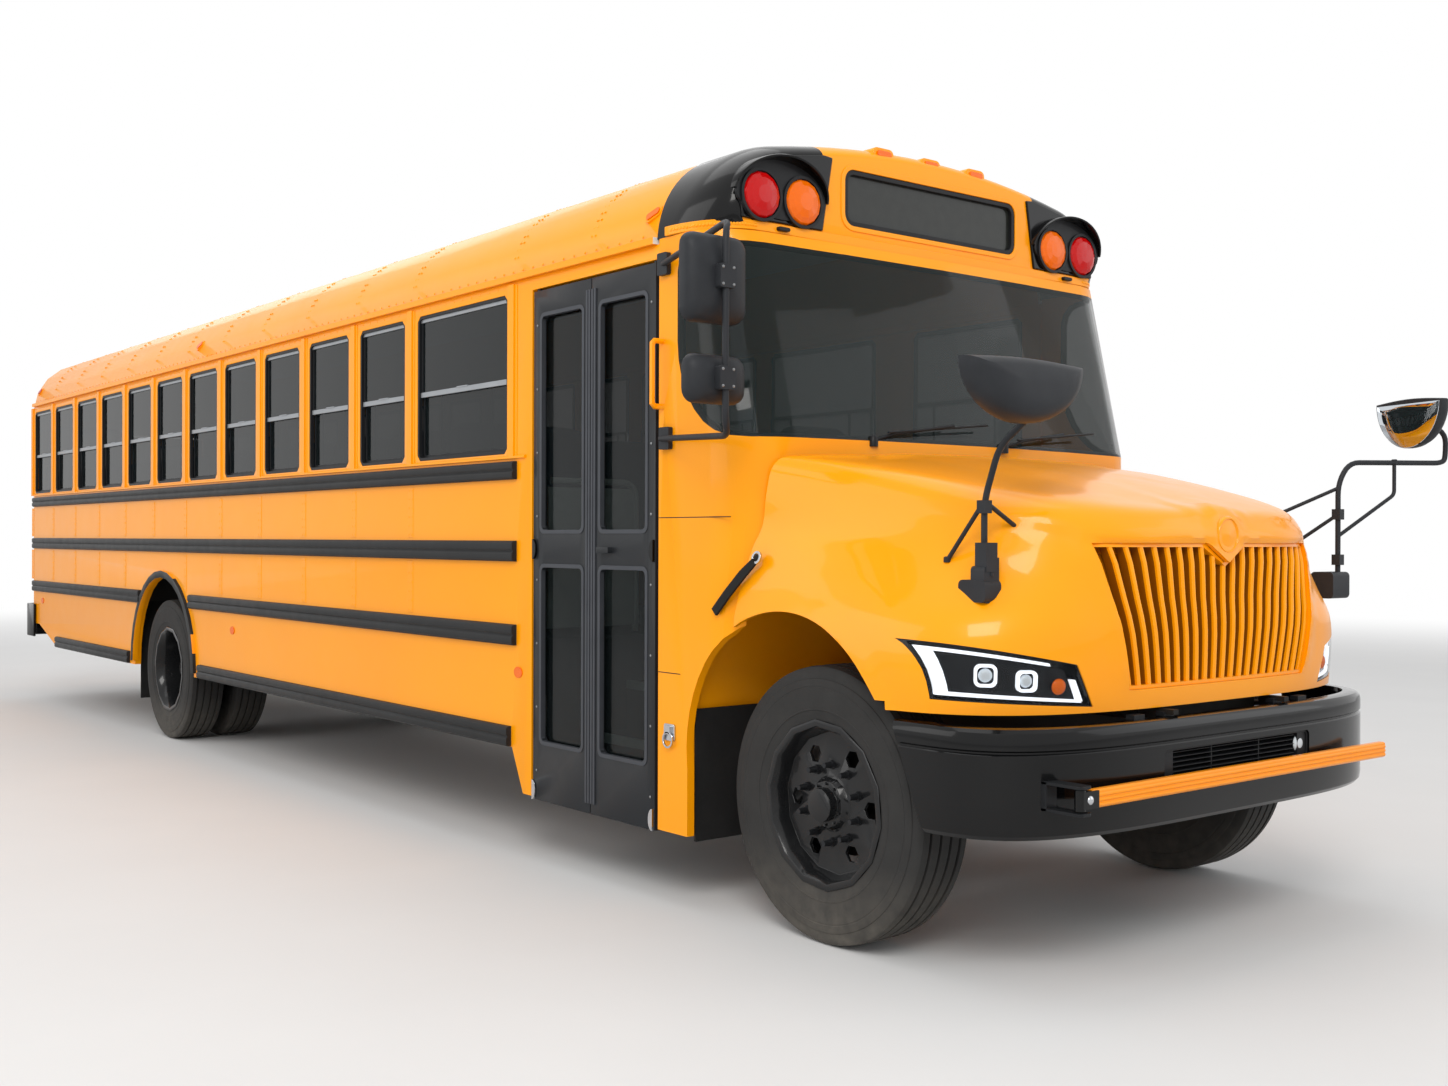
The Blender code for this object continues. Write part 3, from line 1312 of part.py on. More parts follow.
ENGINE_HALF = 0.330
ENGINE_Y = (-0.700, 0.180)
ENGINE_Z = (0.560, 1.420)
ENGINE_FOOT_Z = (0.700, 0.800)
TANK_Y = (8.00, 9.40)
TANK_Z = (0.450, 0.830)


def engine(material, bus):
    def base(bm):
        block(bm, (-ENGINE_HALF, ENGINE_HALF), ENGINE_Y, ENGINE_Z)

    def join(bm):
        middle = (ENGINE_Y[0] + ENGINE_Y[1]) / 2
        reach = RAIL_X[0] - GAP
        block(bm, (-reach, reach), (middle - OVERRUN, middle + OVERRUN), ENGINE_FOOT_Z)

    node("engine", material, base, join, parent=bus)


def fuel_tank(material, bus):
    def base(bm):
        half = RAIL_X[0] - GAP
        plate(bm, rounded((-half, half), TANK_Z, OVERRUN / 2), "Y", TANK_Y)

    node("fuel_tank", material, base, parent=bus)


SPRING_X = (0.396, 0.464)
FRONT_SPRING_Y = (-0.720, 0.600)
REAR_SPRING_Y = (6.400, 7.700)
SPRING_LEAF = 0.050
BEAM_HALF_DEPTH = 0.045
BEAM_Z = (0.400, 0.500)
PIN_R = 0.030
BOSS_R = 0.050
BOSS_Z = (0.440, 0.590)
YOKE = 0.035
SPINDLE_R = 0.035
DRUM_R = 0.200
HUB_BORE_R = (SPINDLE_R + GAP) / math.cos(math.pi / WHEEL_STEPS)
AXLE_TUBE_R = 0.058
DIFF_R = (0.19, 0.16)
SHAFT_R = 0.042


def leaf_spring(bm, side, y, seat_z):
    """A bowed pack of leaves: its ends lie under the frame rail and its middle rests on the axle."""
    middle = (y[0] + y[1]) / 2
    top = FRAME_Z[0] - GAP
    eye = 2 * SPRING_LEAF
    outline = [(y[0], top), (y[0], top - SPRING_LEAF), (middle - eye, seat_z), (middle + eye, seat_z),
               (y[1], top - SPRING_LEAF), (y[1], top), (y[1] - eye, top), (middle, seat_z + SPRING_LEAF), (y[0] + eye, top)]
    plate(bm, outline, "X", sides(side, *SPRING_X))


def front_axle(material, bus):
    def base(bm):
        block(bm, (-KINGPIN_X, KINGPIN_X), (-BEAM_HALF_DEPTH, BEAM_HALF_DEPTH), BEAM_Z)

    def join(bm):
        for side in (-1, 1):
            disc(bm, (side * KINGPIN_X, 0), BOSS_R, "Z", BOSS_Z, WHEEL_STEPS)
            leaf_spring(bm, side, FRONT_SPRING_Y, BEAM_Z[1] - SINK)

    def cut(bm):
        bore = (PIN_R + GAP) / math.cos(math.pi / WHEEL_STEPS)
        for side in (-1, 1):
            disc(bm, (side * KINGPIN_X, 0), bore, "Z", (BEAM_Z[0] - OVERRUN, BOSS_Z[1] + OVERRUN), WHEEL_STEPS)
            block(bm, sides(side, KINGPIN_X - BOSS_R - YOKE, KINGPIN_X + 2 * BOSS_R), (-2 * BOSS_R, 2 * BOSS_R),
                  (BEAM_Z[0] - OVERRUN, BOSS_Z[0]))

    node("front_axle", material, base, join, cut, parent=bus)


FLANGE_X = (0.918, 0.944)
DRUM_X = (0.944, 1.000)
SPINDLE_END = 1.098


def knuckle(side, material, bus):
    pivot = (side * KINGPIN_X, 0, TYRE_R)

    def base(bm):
        disc(bm, (0, TYRE_R), DRUM_R, "X", sides(side, FLANGE_X[0], DRUM_X[1]))

    def join(bm):
        low, top = BOSS_Z[0] - GAP - YOKE, BOSS_Z[1] + GAP + YOKE
        disc(bm, (side * KINGPIN_X, 0), PIN_R, "Z", (low, top), WHEEL_STEPS)
        for z in ((low, low + YOKE), (top - YOKE, top)):
            block(bm, sides(side, KINGPIN_X - BOSS_R / 2, FLANGE_X[1] - SINK), (-BOSS_R, BOSS_R), z)
        disc(bm, (0, TYRE_R), SPINDLE_R, "X", sides(side, DRUM_X[1] - SINK, SPINDLE_END), WHEEL_STEPS)

    node("left_knuckle" if side > 0 else "right_knuckle", material, base, join, pivot=pivot, parent=bus)


def rear_axle(material, bus):
    centre = (REAR_AXLE_Y, TYRE_R)

    def base(bm):
        disc(bm, centre, AXLE_TUBE_R, "X", (-REAR_DRUM_X[1] + SINK, REAR_DRUM_X[1] - SINK), WHEEL_STEPS)

    def join(bm):
        disc(bm, centre, DIFF_R[0], "X", (-DIFF_R[1], DIFF_R[1]), 16)
        for side in (-1, 1):
            leaf_spring(bm, side, REAR_SPRING_Y, TYRE_R + AXLE_TUBE_R - SINK)
            disc(bm, centre, DRUM_R, "X", sides(side, *REAR_DRUM_X))
            disc(bm, centre, SPINDLE_R, "X", sides(side, REAR_DRUM_X[1] - SINK, REAR_SPINDLE_END), WHEEL_STEPS)
        tube(bm, [(0, REAR_AXLE_Y - DIFF_R[1], TYRE_R), (0, ENGINE_Y[1] + SINK, ENGINE_Z[0] + 2 * SHAFT_R)], SHAFT_R, 10)

    node("rear_axle", material, base, join, parent=bus)


REAR_DRUM_X = (0.620, 0.730)
REAR_SPINDLE_END = 1.030

MUFFLER = (0.110, 3.60, 4.70)
PIPE = (0.535, 0.720)
PIPE_R = 0.035
PIPE_Y = (2.10, 10.30)
TAIL = (10.92, 0.480)
HANGERS_Y = (2.60, 5.30, 8.50, 10.10)


def exhaust(material, bus):
    x, z = -PIPE[0], PIPE[1]

    def base(bm):
        tube(bm, [(x, PIPE_Y[0], z), (x, PIPE_Y[1], z), (x, TAIL[0] - 2 * OVERRUN, TAIL[1]), (x, TAIL[0], TAIL[1])], PIPE_R)

    def join(bm):
        radius, start, end = MUFFLER
        disc(bm, (x - radius / 2, z - radius / 2), radius, "Y", (start, end), 14)
        for y in HANGERS_Y:
            block(bm, (x, -RAIL_X[1] - GAP), (y - PIPE_R, y + PIPE_R), (z - SINK, z + SINK))

    node("exhaust", material, base, join, parent=bus)


# Wheels and tyres, drawn by distance from the middle plane


def tyre(name, inner, y, side, material, bus, pivot):
    outer = inner + TYRE_WIDTH
    s = TYRE_SHOULDER
    mid = (TYRE_BEAD_R + TYRE_R) / 2
    crown = TYRE_R / math.cos(math.pi / TYRE_STEPS)
    profile = [(inner + s, TYRE_BEAD_R), (inner, mid), (inner + s / 2, crown - s), (inner + s, crown),
               (outer - s, crown), (outer - s / 2, crown - s), (outer, mid), (outer - s, TYRE_BEAD_R)]

    def base(bm):
        turned(bm, [(side * x, r) for x, r in profile], (0, y, TYRE_R), TYRE_STEPS)

    node(name, material, base, pivot=pivot, parent=bus)


def rim_half(face, way):
    """One rim edge: bead seat, flange and the slope to the well. way is +1 for the outer edge."""
    s = TYRE_SHOULDER
    return [(face + way * (RIM_FLANGE - s), RIM_R), (face + way * (2 * RIM_FLANGE - s), RIM_R + RIM_FLANGE),
            (face + way * (2 * RIM_FLANGE - s), RIM_R - RIM_SHEET), (face - way * 2 * s, RIM_WELL_R)]


HUB_R = 0.085
DISC_SHEET = 0.014
FRONT_DISC_X = 1.062
HUB_CAP = (0.062, 1.140)


def front_wheel(side, material, bus):
    pivot = (side * FRONT_TYRE_X, 0, TYRE_R)
    inner = FRONT_TYRE_X
    outer = inner + TYRE_WIDTH
    out_edge = rim_half(outer, 1)
    in_edge = rim_half(inner, -1)
    face = FRONT_DISC_X
    near = DRUM_X[1] + RUN_GAP
    end = SPINDLE_END + SINK
    disc_side = [(face - DISC_SHEET, RIM_WELL_R), (face, HUB_R), (near, HUB_R), (near, HUB_BORE_R),
                 (end, HUB_BORE_R), (end, HUB_R), (face + DISC_SHEET, HUB_R + DISC_SHEET), (face, RIM_WELL_R)]
    profile = rim_outline(in_edge, out_edge, disc_side)

    def base(bm):
        turned(bm, [(side * x, r) for x, r in profile], (0, 0, TYRE_R), WHEEL_STEPS)

    def join(bm):
        disc(bm, (0, TYRE_R), HUB_CAP[0], "X", sides(side, SPINDLE_END + GAP, HUB_CAP[1]), WHEEL_STEPS)

    node("left_front_wheel" if side > 0 else "right_front_wheel", material, base, join, hand_holes(side, 0, face),
         pivot=pivot, parent=bus)


def rim_outline(in_edge, out_edge, between):
    """A closed rim profile: bead seat, outer edge, disc and hub, inner edge."""
    return [in_edge[0]] + [out_edge[0]] + out_edge[1:] + between[::-1] + in_edge[:0:-1]


def hand_holes(side, y, face):
    def cut(bm):
        for k in range(HAND_HOLES):
            angle = math.tau * k / HAND_HOLES
            centre = (y + HAND_HOLE_CIRCLE_R * math.cos(angle), TYRE_R + HAND_HOLE_CIRCLE_R * math.sin(angle))
            disc(bm, centre, HAND_HOLE_R, "X", sides(side, face - OVERRUN, face + OVERRUN), 6)
    return cut


def rear_wheel(side, material, bus):
    pivot = (side * DUAL_OUTER_X, REAR_AXLE_Y, TYRE_R)
    out_edge = rim_half(DUAL_OUTER_X + TYRE_WIDTH, 1)
    in_edge = rim_half(DUAL_INNER_X, -1)
    face = (DUAL_OUTER_X + DUAL_INNER_X + TYRE_WIDTH) / 2
    end = REAR_SPINDLE_END + GAP
    near = REAR_DRUM_X[1] + RUN_GAP
    between = [(face - DISC_SHEET, RIM_WELL_R), (face - DISC_SHEET, HUB_R + DISC_SHEET), (near, HUB_R),
               (near, HUB_BORE_R), (end + SINK, HUB_BORE_R), (end + SINK, HUB_R - DISC_SHEET),
               (face, HUB_R + DISC_SHEET), (face, RIM_WELL_R)]

    def base(bm):
        profile = rim_outline(in_edge, out_edge, between)
        turned(bm, [(side * x, r) for x, r in profile], (0, REAR_AXLE_Y, TYRE_R), WHEEL_STEPS)

    def join(bm):
        disc(bm, (REAR_AXLE_Y, TYRE_R), HUB_CAP[0], "X", sides(side, end, end + HINGE_BLOCK))

    node("left_rear_wheel" if side > 0 else "right_rear_wheel", material, base, join,
         hand_holes(side, REAR_AXLE_Y, face), pivot=pivot, parent=bus)


# Floor and interior

WHEELHOUSE_X = 0.580
WHEELHOUSE_Y = (6.38, 7.74)
REAR_WHEELHOUSE_TOP = 1.220
STEP_X = -1.170
STEP_Y = (0.930, 1.830)
STEP_FIRST_Z = 0.350
SILL_DEPTH = 0.050
SILLS_Y = (0.80, 2.30, 3.00, 3.70, 4.40, 5.10, 5.80, 8.50, 9.20, 9.90, 10.55)


def stair(lift):
    """The three treads from the doorway up to the floor, as (x, z), raised by a lift."""
    points = []
    for k in range(3):
        z = STEP_FIRST_Z + STEP_RISE * k + lift
        points += [(STEP_X + STEP_RUN * k, z), (STEP_X + STEP_RUN * (k + 1), z)]
    return points


def floor(material, bus):
    low = FLOOR_Z - FLOOR_SHEET
    half = BODY_HALF - WALL - GAP
    front = WHEELHOUSE_REAR + BULKHEAD + GAP
    rear = BODY_REAR - WALL - GAP
    well_x = STEP_X + 3 * STEP_RUN

    def base(bm):
        post = rear - CORNER_POST + WALL
        outline = [(-half, front), (half, front), (half, post), (half - CORNER_POST + WALL, rear),
                   (CORNER_POST - WALL - half, rear), (-half, post)]
        plate(bm, outline, "Z", (low, FLOOR_Z))

    def join(bm):
        for y in SILLS_Y:
            block(bm, (-half, half), (y - SILL_DEPTH / 2, y + SILL_DEPTH / 2),
                  (FRAME_Z[1] + GAP, low + SINK))
        for side in (-1, 1):
            block(bm, sides(side, WHEELHOUSE_X, half), WHEELHOUSE_Y, (low, REAR_WHEELHOUSE_TOP))
        top = stair(0) + [(well_x, FLOOR_Z - SINK), (well_x + STEP_SHEET, FLOOR_Z - SINK)]
        under = [(x + (STEP_SHEET if k else 0), z) for k, (x, z) in enumerate(stair(-STEP_SHEET))]
        plate(bm, top + under[::-1], "Y", (STEP_Y[0] + SINK, STEP_Y[1] - SINK))
        foot = under[0][1] - SINK
        back = well_x + STEP_SHEET + SINK
        cheek = [(STEP_X, FLOOR_Z - 2 * SINK), (STEP_X, foot), (under[1][0], foot), (back, foot + 2 * STEP_RISE),
                 (back, FLOOR_Z - 2 * SINK)]
        for y in (STEP_Y[0], STEP_Y[1] - STEP_SHEET):
            plate(bm, cheek, "Y", (y, y + STEP_SHEET))

    def cut(bm):
        for side in (-1, 1):
            inner = (WHEELHOUSE_Y[0] + FLOOR_SHEET, WHEELHOUSE_Y[1] - FLOOR_SHEET)
            block(bm, sides(side, WHEELHOUSE_X + FLOOR_SHEET, half + OVERRUN), inner,
                  (low - OVERRUN, REAR_WHEELHOUSE_TOP - FLOOR_SHEET))

    def well(bm):
        block(bm, (-half - OVERRUN, well_x), (STEP_Y[0] + STEP_SHEET, STEP_Y[1] - STEP_SHEET),
              (low - OVERRUN / 2, FLOOR_Z + OVERRUN))

    obj = node("floor", material, base, None, well, parent=bus)
    combine(obj, "UNION", join, (0, 0, 0), bus)
    combine(obj, "DIFFERENCE", cut, (0, 0, 0), bus)


CUSHION_TOP = 0.430
CUSHION_LOW = 0.330
BACK_TOP = 1.080
CUSHION_DEPTH = 0.370
BACK_LEAN = 0.060
BACK_THICK = 0.075
LEG_THICK = 0.030
TRACK_RISE = 0.014


def seats(side, material, bus):
    inner, outer = SEAT_X
    last = SEAT_FIRST_Y + SEAT_PITCH * (SEAT_COUNT - 1)
    depth = CUSHION_DEPTH + BACK_LEAN + BACK_THICK

    def base(bm):
        block(bm, sides(side, inner, inner + 2 * LEG_THICK), (SEAT_FIRST_Y, last + depth),
              (FLOOR_Z + GAP, FLOOR_Z + TRACK_RISE))

    def join(bm):
        for k in range(SEAT_COUNT):
            y = SEAT_FIRST_Y + SEAT_PITCH * k
            outline = [(0, CUSHION_LOW), (0, CUSHION_TOP), (CUSHION_DEPTH, CUSHION_TOP),
                       (CUSHION_DEPTH + BACK_LEAN, BACK_TOP), (depth, BACK_TOP), (CUSHION_DEPTH + BACK_THICK, CUSHION_LOW)]
            plate(bm, [(y + a, FLOOR_Z + b) for a, b in outline], "X", sides(side, inner, outer))
            block(bm, sides(side, inner, inner + LEG_THICK), (y + OVERRUN, y + CUSHION_DEPTH),
                  (FLOOR_Z + TRACK_RISE - SINK, FLOOR_Z + CUSHION_LOW + SINK))

    node("left_seats" if side > 0 else "right_seats", material, base, join, parent=bus)


DRIVER_X = (0.330, 0.830)
DRIVER_Y = 1.420
WHEEL_CENTRE = (0.580, 1.080, 1.800)
WHEEL_RING = (0.215, 0.014)
WHEEL_TILT = math.radians(28.0)
COLUMN_FOOT = (0.580, 0.740, 1.500)
DASH_HALF = 1.080
DASH_Y = (0.430, 0.790)
DASH_TOP = 1.835


def driver_seat(material, bus):
    x, y = DRIVER_X, DRIVER_Y

    def base(bm):
        outline = [(0, CUSHION_LOW), (0, CUSHION_TOP), (CUSHION_DEPTH, CUSHION_TOP), (CUSHION_DEPTH + BACK_LEAN, BACK_TOP),
                   (CUSHION_DEPTH + BACK_LEAN + BACK_THICK, BACK_TOP), (CUSHION_DEPTH + BACK_THICK, CUSHION_LOW)]
        plate(bm, [(y + a, FLOOR_Z + b) for a, b in outline], "X", x)

    def join(bm):
        block(bm, (x[0] + CLAMP, x[1] - CLAMP), (y + OVERRUN, y + CUSHION_DEPTH), (FLOOR_Z + GAP, FLOOR_Z + CUSHION_LOW + SINK))

    node("driver_seat", material, base, join, parent=bus)


def dashboard(material, bus):
    low = WHEELHOUSE_TOP + BULKHEAD + GAP

    def base(bm):
        slope = OVERRUN
        outline = [(DASH_Y[0], low), (DASH_Y[1] - 2 * slope, low), (DASH_Y[1], low + 3 * slope), (DASH_Y[1], DASH_TOP - slope),
                   (DASH_Y[1] - slope, DASH_TOP), (DASH_Y[0], DASH_TOP - SINK)]
        plate(bm, outline, "X", (-DASH_HALF, DASH_HALF))

    def join(bm):
        tube(bm, [COLUMN_FOOT, WHEEL_CENTRE], 2 * WHEEL_RING[1])
        rings = []
        across = Vector((1, 0, 0))
        up = Vector((0, math.cos(WHEEL_TILT), -math.sin(WHEEL_TILT)))
        normal = across.cross(up)
        for k in range(WHEEL_STEPS):
            angle = math.tau * k / WHEEL_STEPS
            way = across * math.cos(angle) + up * math.sin(angle)
            centre = Vector(WHEEL_CENTRE) + way * WHEEL_RING[0]
            rings.append([centre + (way * math.cos(a) + normal * math.sin(a)) * WHEEL_RING[1]
                          for a in (math.tau * n / TUBE_SIDES for n in range(TUBE_SIDES))])
        loft(bm, rings, closed=True)
        middle = Vector(WHEEL_CENTRE)
        tube(bm, [middle - across * WHEEL_RING[0], middle + across * WHEEL_RING[0]], WHEEL_RING[1])

    node("dashboard", material, base, join, parent=bus)


FLAP_BAR = 0.030
REAR_FLAP_Y = 7.800
REAR_FLAP_X = (0.620, 1.150)
REAR_FLAP_Z = 0.230


def rear_flaps(material, bus):
    low, top = FRAME_Z[1] + GAP, FLOOR_Z - FLOOR_SHEET - GAP

    def base(bm):
        block(bm, (-REAR_FLAP_X[1], REAR_FLAP_X[1]), (REAR_FLAP_Y, REAR_FLAP_Y + FLAP_BAR), (low, top))

    def join(bm):
        for side in (-1, 1):
            block(bm, sides(side, *REAR_FLAP_X), (REAR_FLAP_Y, REAR_FLAP_Y + FLAP_THICK), (REAR_FLAP_Z, top - SINK))

    node("rear_flaps", material, base, join, parent=bus)


def build():
    clear_scene()
    bus = bus_empty()
    paint = finish("bus_paint", PAINT, 0.25, 0.0)
    roof_white = finish("roof_white", WHITE, 0.5, 0.0)
    black = finish("black_paint", BLACK, 0.2, 0.0)
    plastic = finish("black_plastic", RUBBER, 0.5, 0.0)
    rubber = finish("tyre_rubber", RUBBER, 0.8, 0.0)
    glass = finish("tinted_glass", GLASS, 0.05, 0.0)
    steel = finish("chassis_steel", STEEL, 0.6, 0.6)
    vinyl = finish("seat_vinyl", VINYL, 0.6, 0.0)
    red = finish("sign_red", RED, 0.4, 0.0)
    lens = finish("lamp_lens", LAMP, 0.1, 0.2)

    for side in (-1, 1):
        side_wall(side, paint, bus)
        side_windows(side, glass, bus)
        rear_glass(side, glass, bus)
        front_flap(side, rubber, bus)
        headlight(side, lens, bus)
        cross_mirror(side, plastic, bus)
        side_mirrors(side, plastic, bus)
        seats(side, vinyl, bus)
        knuckle(side, steel, bus)
        front_wheel(side, black, bus)
        rear_wheel(side, black, bus)
        hand = "left" if side > 0 else "right"
        front = (side * FRONT_TYRE_X, 0, TYRE_R)
        tyre(hand + "_front_tyre", FRONT_TYRE_X, 0, side, rubber, bus, front)
        rear = (side * DUAL_OUTER_X, REAR_AXLE_Y, TYRE_R)
        tyre(hand + "_rear_outer_tyre", DUAL_OUTER_X, REAR_AXLE_Y, side, rubber, bus, rear)
        tyre(hand + "_rear_inner_tyre", DUAL_INNER_X, REAR_AXLE_Y, side, rubber, bus, rear)
    roof(roof_white, bus)
    roof_hatch("front_roof_hatch", HATCH_Y[0], roof_white, bus)
    roof_hatch("rear_roof_hatch", HATCH_Y[1], roof_white, bus)
    front_cap(paint, bus)
    rear_wall(paint, bus)
    emergency_door(paint, glass, bus)
    cowl(paint, bus)
    windshield(glass, bus)
    hood(paint, bus)
    grille(paint, bus)
    front_y = (DOOR_FRONT_Y, DOOR_MIDDLE_Y - RUN_GAP / 2)
    rear_y = (DOOR_MIDDLE_Y + RUN_GAP / 2, DOOR_REAR_Y)
    door_leaf("front_door_leaf", front_y, DOOR_FRONT_Y + DOOR_PIVOT_INSET, black, glass, bus, DOOR_MIDDLE_Y - 2 * OVERRUN)
    door_leaf("rear_door_leaf", rear_y, DOOR_REAR_Y - DOOR_PIVOT_INSET, black, glass, bus)
    crossing_gate(paint, bus)
    stop_arm(red, bus)
    front_bumper(black, bus)
    rear_bumper(black, bus)
    frame(steel, bus)
    engine(steel, bus)
    fuel_tank(steel, bus)
    front_axle(steel, bus)
    rear_axle(steel, bus)
    exhaust(steel, bus)
    floor(rubber, bus)
    driver_seat(vinyl, bus)
    dashboard(plastic, bus)
    rear_flaps(rubber, bus)


build()
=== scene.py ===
# Looks of the yellow school bus, in metres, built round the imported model.
# Pieces are drawn with Y = 0 at the front axle, as the source draws them. piece() moves them into the frame.
import json
import math

import bmesh
import bpy
from mathutils import Matrix, Vector
from mathutils.bvhtree import BVHTree

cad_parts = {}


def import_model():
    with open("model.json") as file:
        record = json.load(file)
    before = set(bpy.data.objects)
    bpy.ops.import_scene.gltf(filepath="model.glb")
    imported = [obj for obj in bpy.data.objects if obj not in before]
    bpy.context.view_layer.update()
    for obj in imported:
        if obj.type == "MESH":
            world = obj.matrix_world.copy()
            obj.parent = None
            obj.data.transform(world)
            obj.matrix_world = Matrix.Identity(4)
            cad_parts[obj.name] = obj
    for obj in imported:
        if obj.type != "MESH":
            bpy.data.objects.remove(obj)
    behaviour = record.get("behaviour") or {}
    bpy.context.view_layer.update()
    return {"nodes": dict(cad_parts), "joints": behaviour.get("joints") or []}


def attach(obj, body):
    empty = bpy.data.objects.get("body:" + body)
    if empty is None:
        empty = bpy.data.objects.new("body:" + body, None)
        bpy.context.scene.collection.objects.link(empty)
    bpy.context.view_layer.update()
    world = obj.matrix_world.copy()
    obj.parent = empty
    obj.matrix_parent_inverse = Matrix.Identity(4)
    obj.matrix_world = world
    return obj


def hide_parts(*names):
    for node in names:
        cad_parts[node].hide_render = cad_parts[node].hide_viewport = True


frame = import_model()

JOINTS = {joint["name"]: joint for joint in frame["joints"]}
AXLE_Y = JOINTS["right_steer"]["pos_m"][1]
REAR_AXLE_Y = JOINTS["right_rear_spin"]["pos_m"][1] - AXLE_Y
WELD = 0.00005
SIDES = (("right", -1), ("left", 1))

# Camera, read from the photograph through points whose real places are known
CAMERA_PLACE = (-4.766, -3.991, 1.481)
CAMERA_TURN = 0.673
CAMERA_PITCH = -0.003
CAMERA_ROLL = -0.003
CAMERA_LENS = 36.75
SENSOR = 36.0

# Body shell
BODY_HALF = 1.22
BELT_Z = 1.877
WINDOW_TOP_Z = 2.627
MEETING_RAIL_Z = 2.22
DRIP_Z = 2.68
PILLAR_REAR = 0.885
BODY_REAR = 10.82
SIDE_END = 10.73
ROOF_CORNER_R = 0.41
ROOF_TURN = math.radians(80.0)
CROWN_R = 5.07
WHITE_HALF = 0.90
CAP_FRONT = 0.515
CAP_REAR = 0.90
CAP_Z = 2.70
RAILS = ((1.755, 1.840), (1.371, 1.468), (0.979, 1.076), (0.503, 0.597))

# Side windows
WIDE_WINDOW = (2.097, 3.021)
FIRST_WINDOW_Y = 3.165
WINDOW_PITCH = 0.6985
WINDOW_LENGTH = 0.55
WINDOW_COUNT = 11
DRIVER_WINDOW = (1.02, 1.80)

# Door, hood and nose
DOOR_Y = (0.905, 1.380, 1.855)
DOOR_GAP = 0.003
HOOD_BOTTOM = 0.900
HOOD_TOP = 1.815
HOOD_HALF = 1.212
HOOD_REAR = 0.400
HOOD_FRONT = -0.940
ARCH_CENTRE = (0.13, 0.65)
ARCH_R = 0.563

# Wheels
TYRE_R = 0.510


# Finishes. Colours are written as they look on a screen and turned into light by screen().


def screen(colour):
    return tuple(c / 12.92 if c <= 0.04045 else ((c + 0.055) / 1.055) ** 2.4 for c in colour) + (1.0,)


YELLOW = (1.0, 0.645, 0.0)
YELLOW_DEEP = (0.985, 0.605, 0.0)
MIRROR_GLASS = (0.80, 0.82, 0.84)

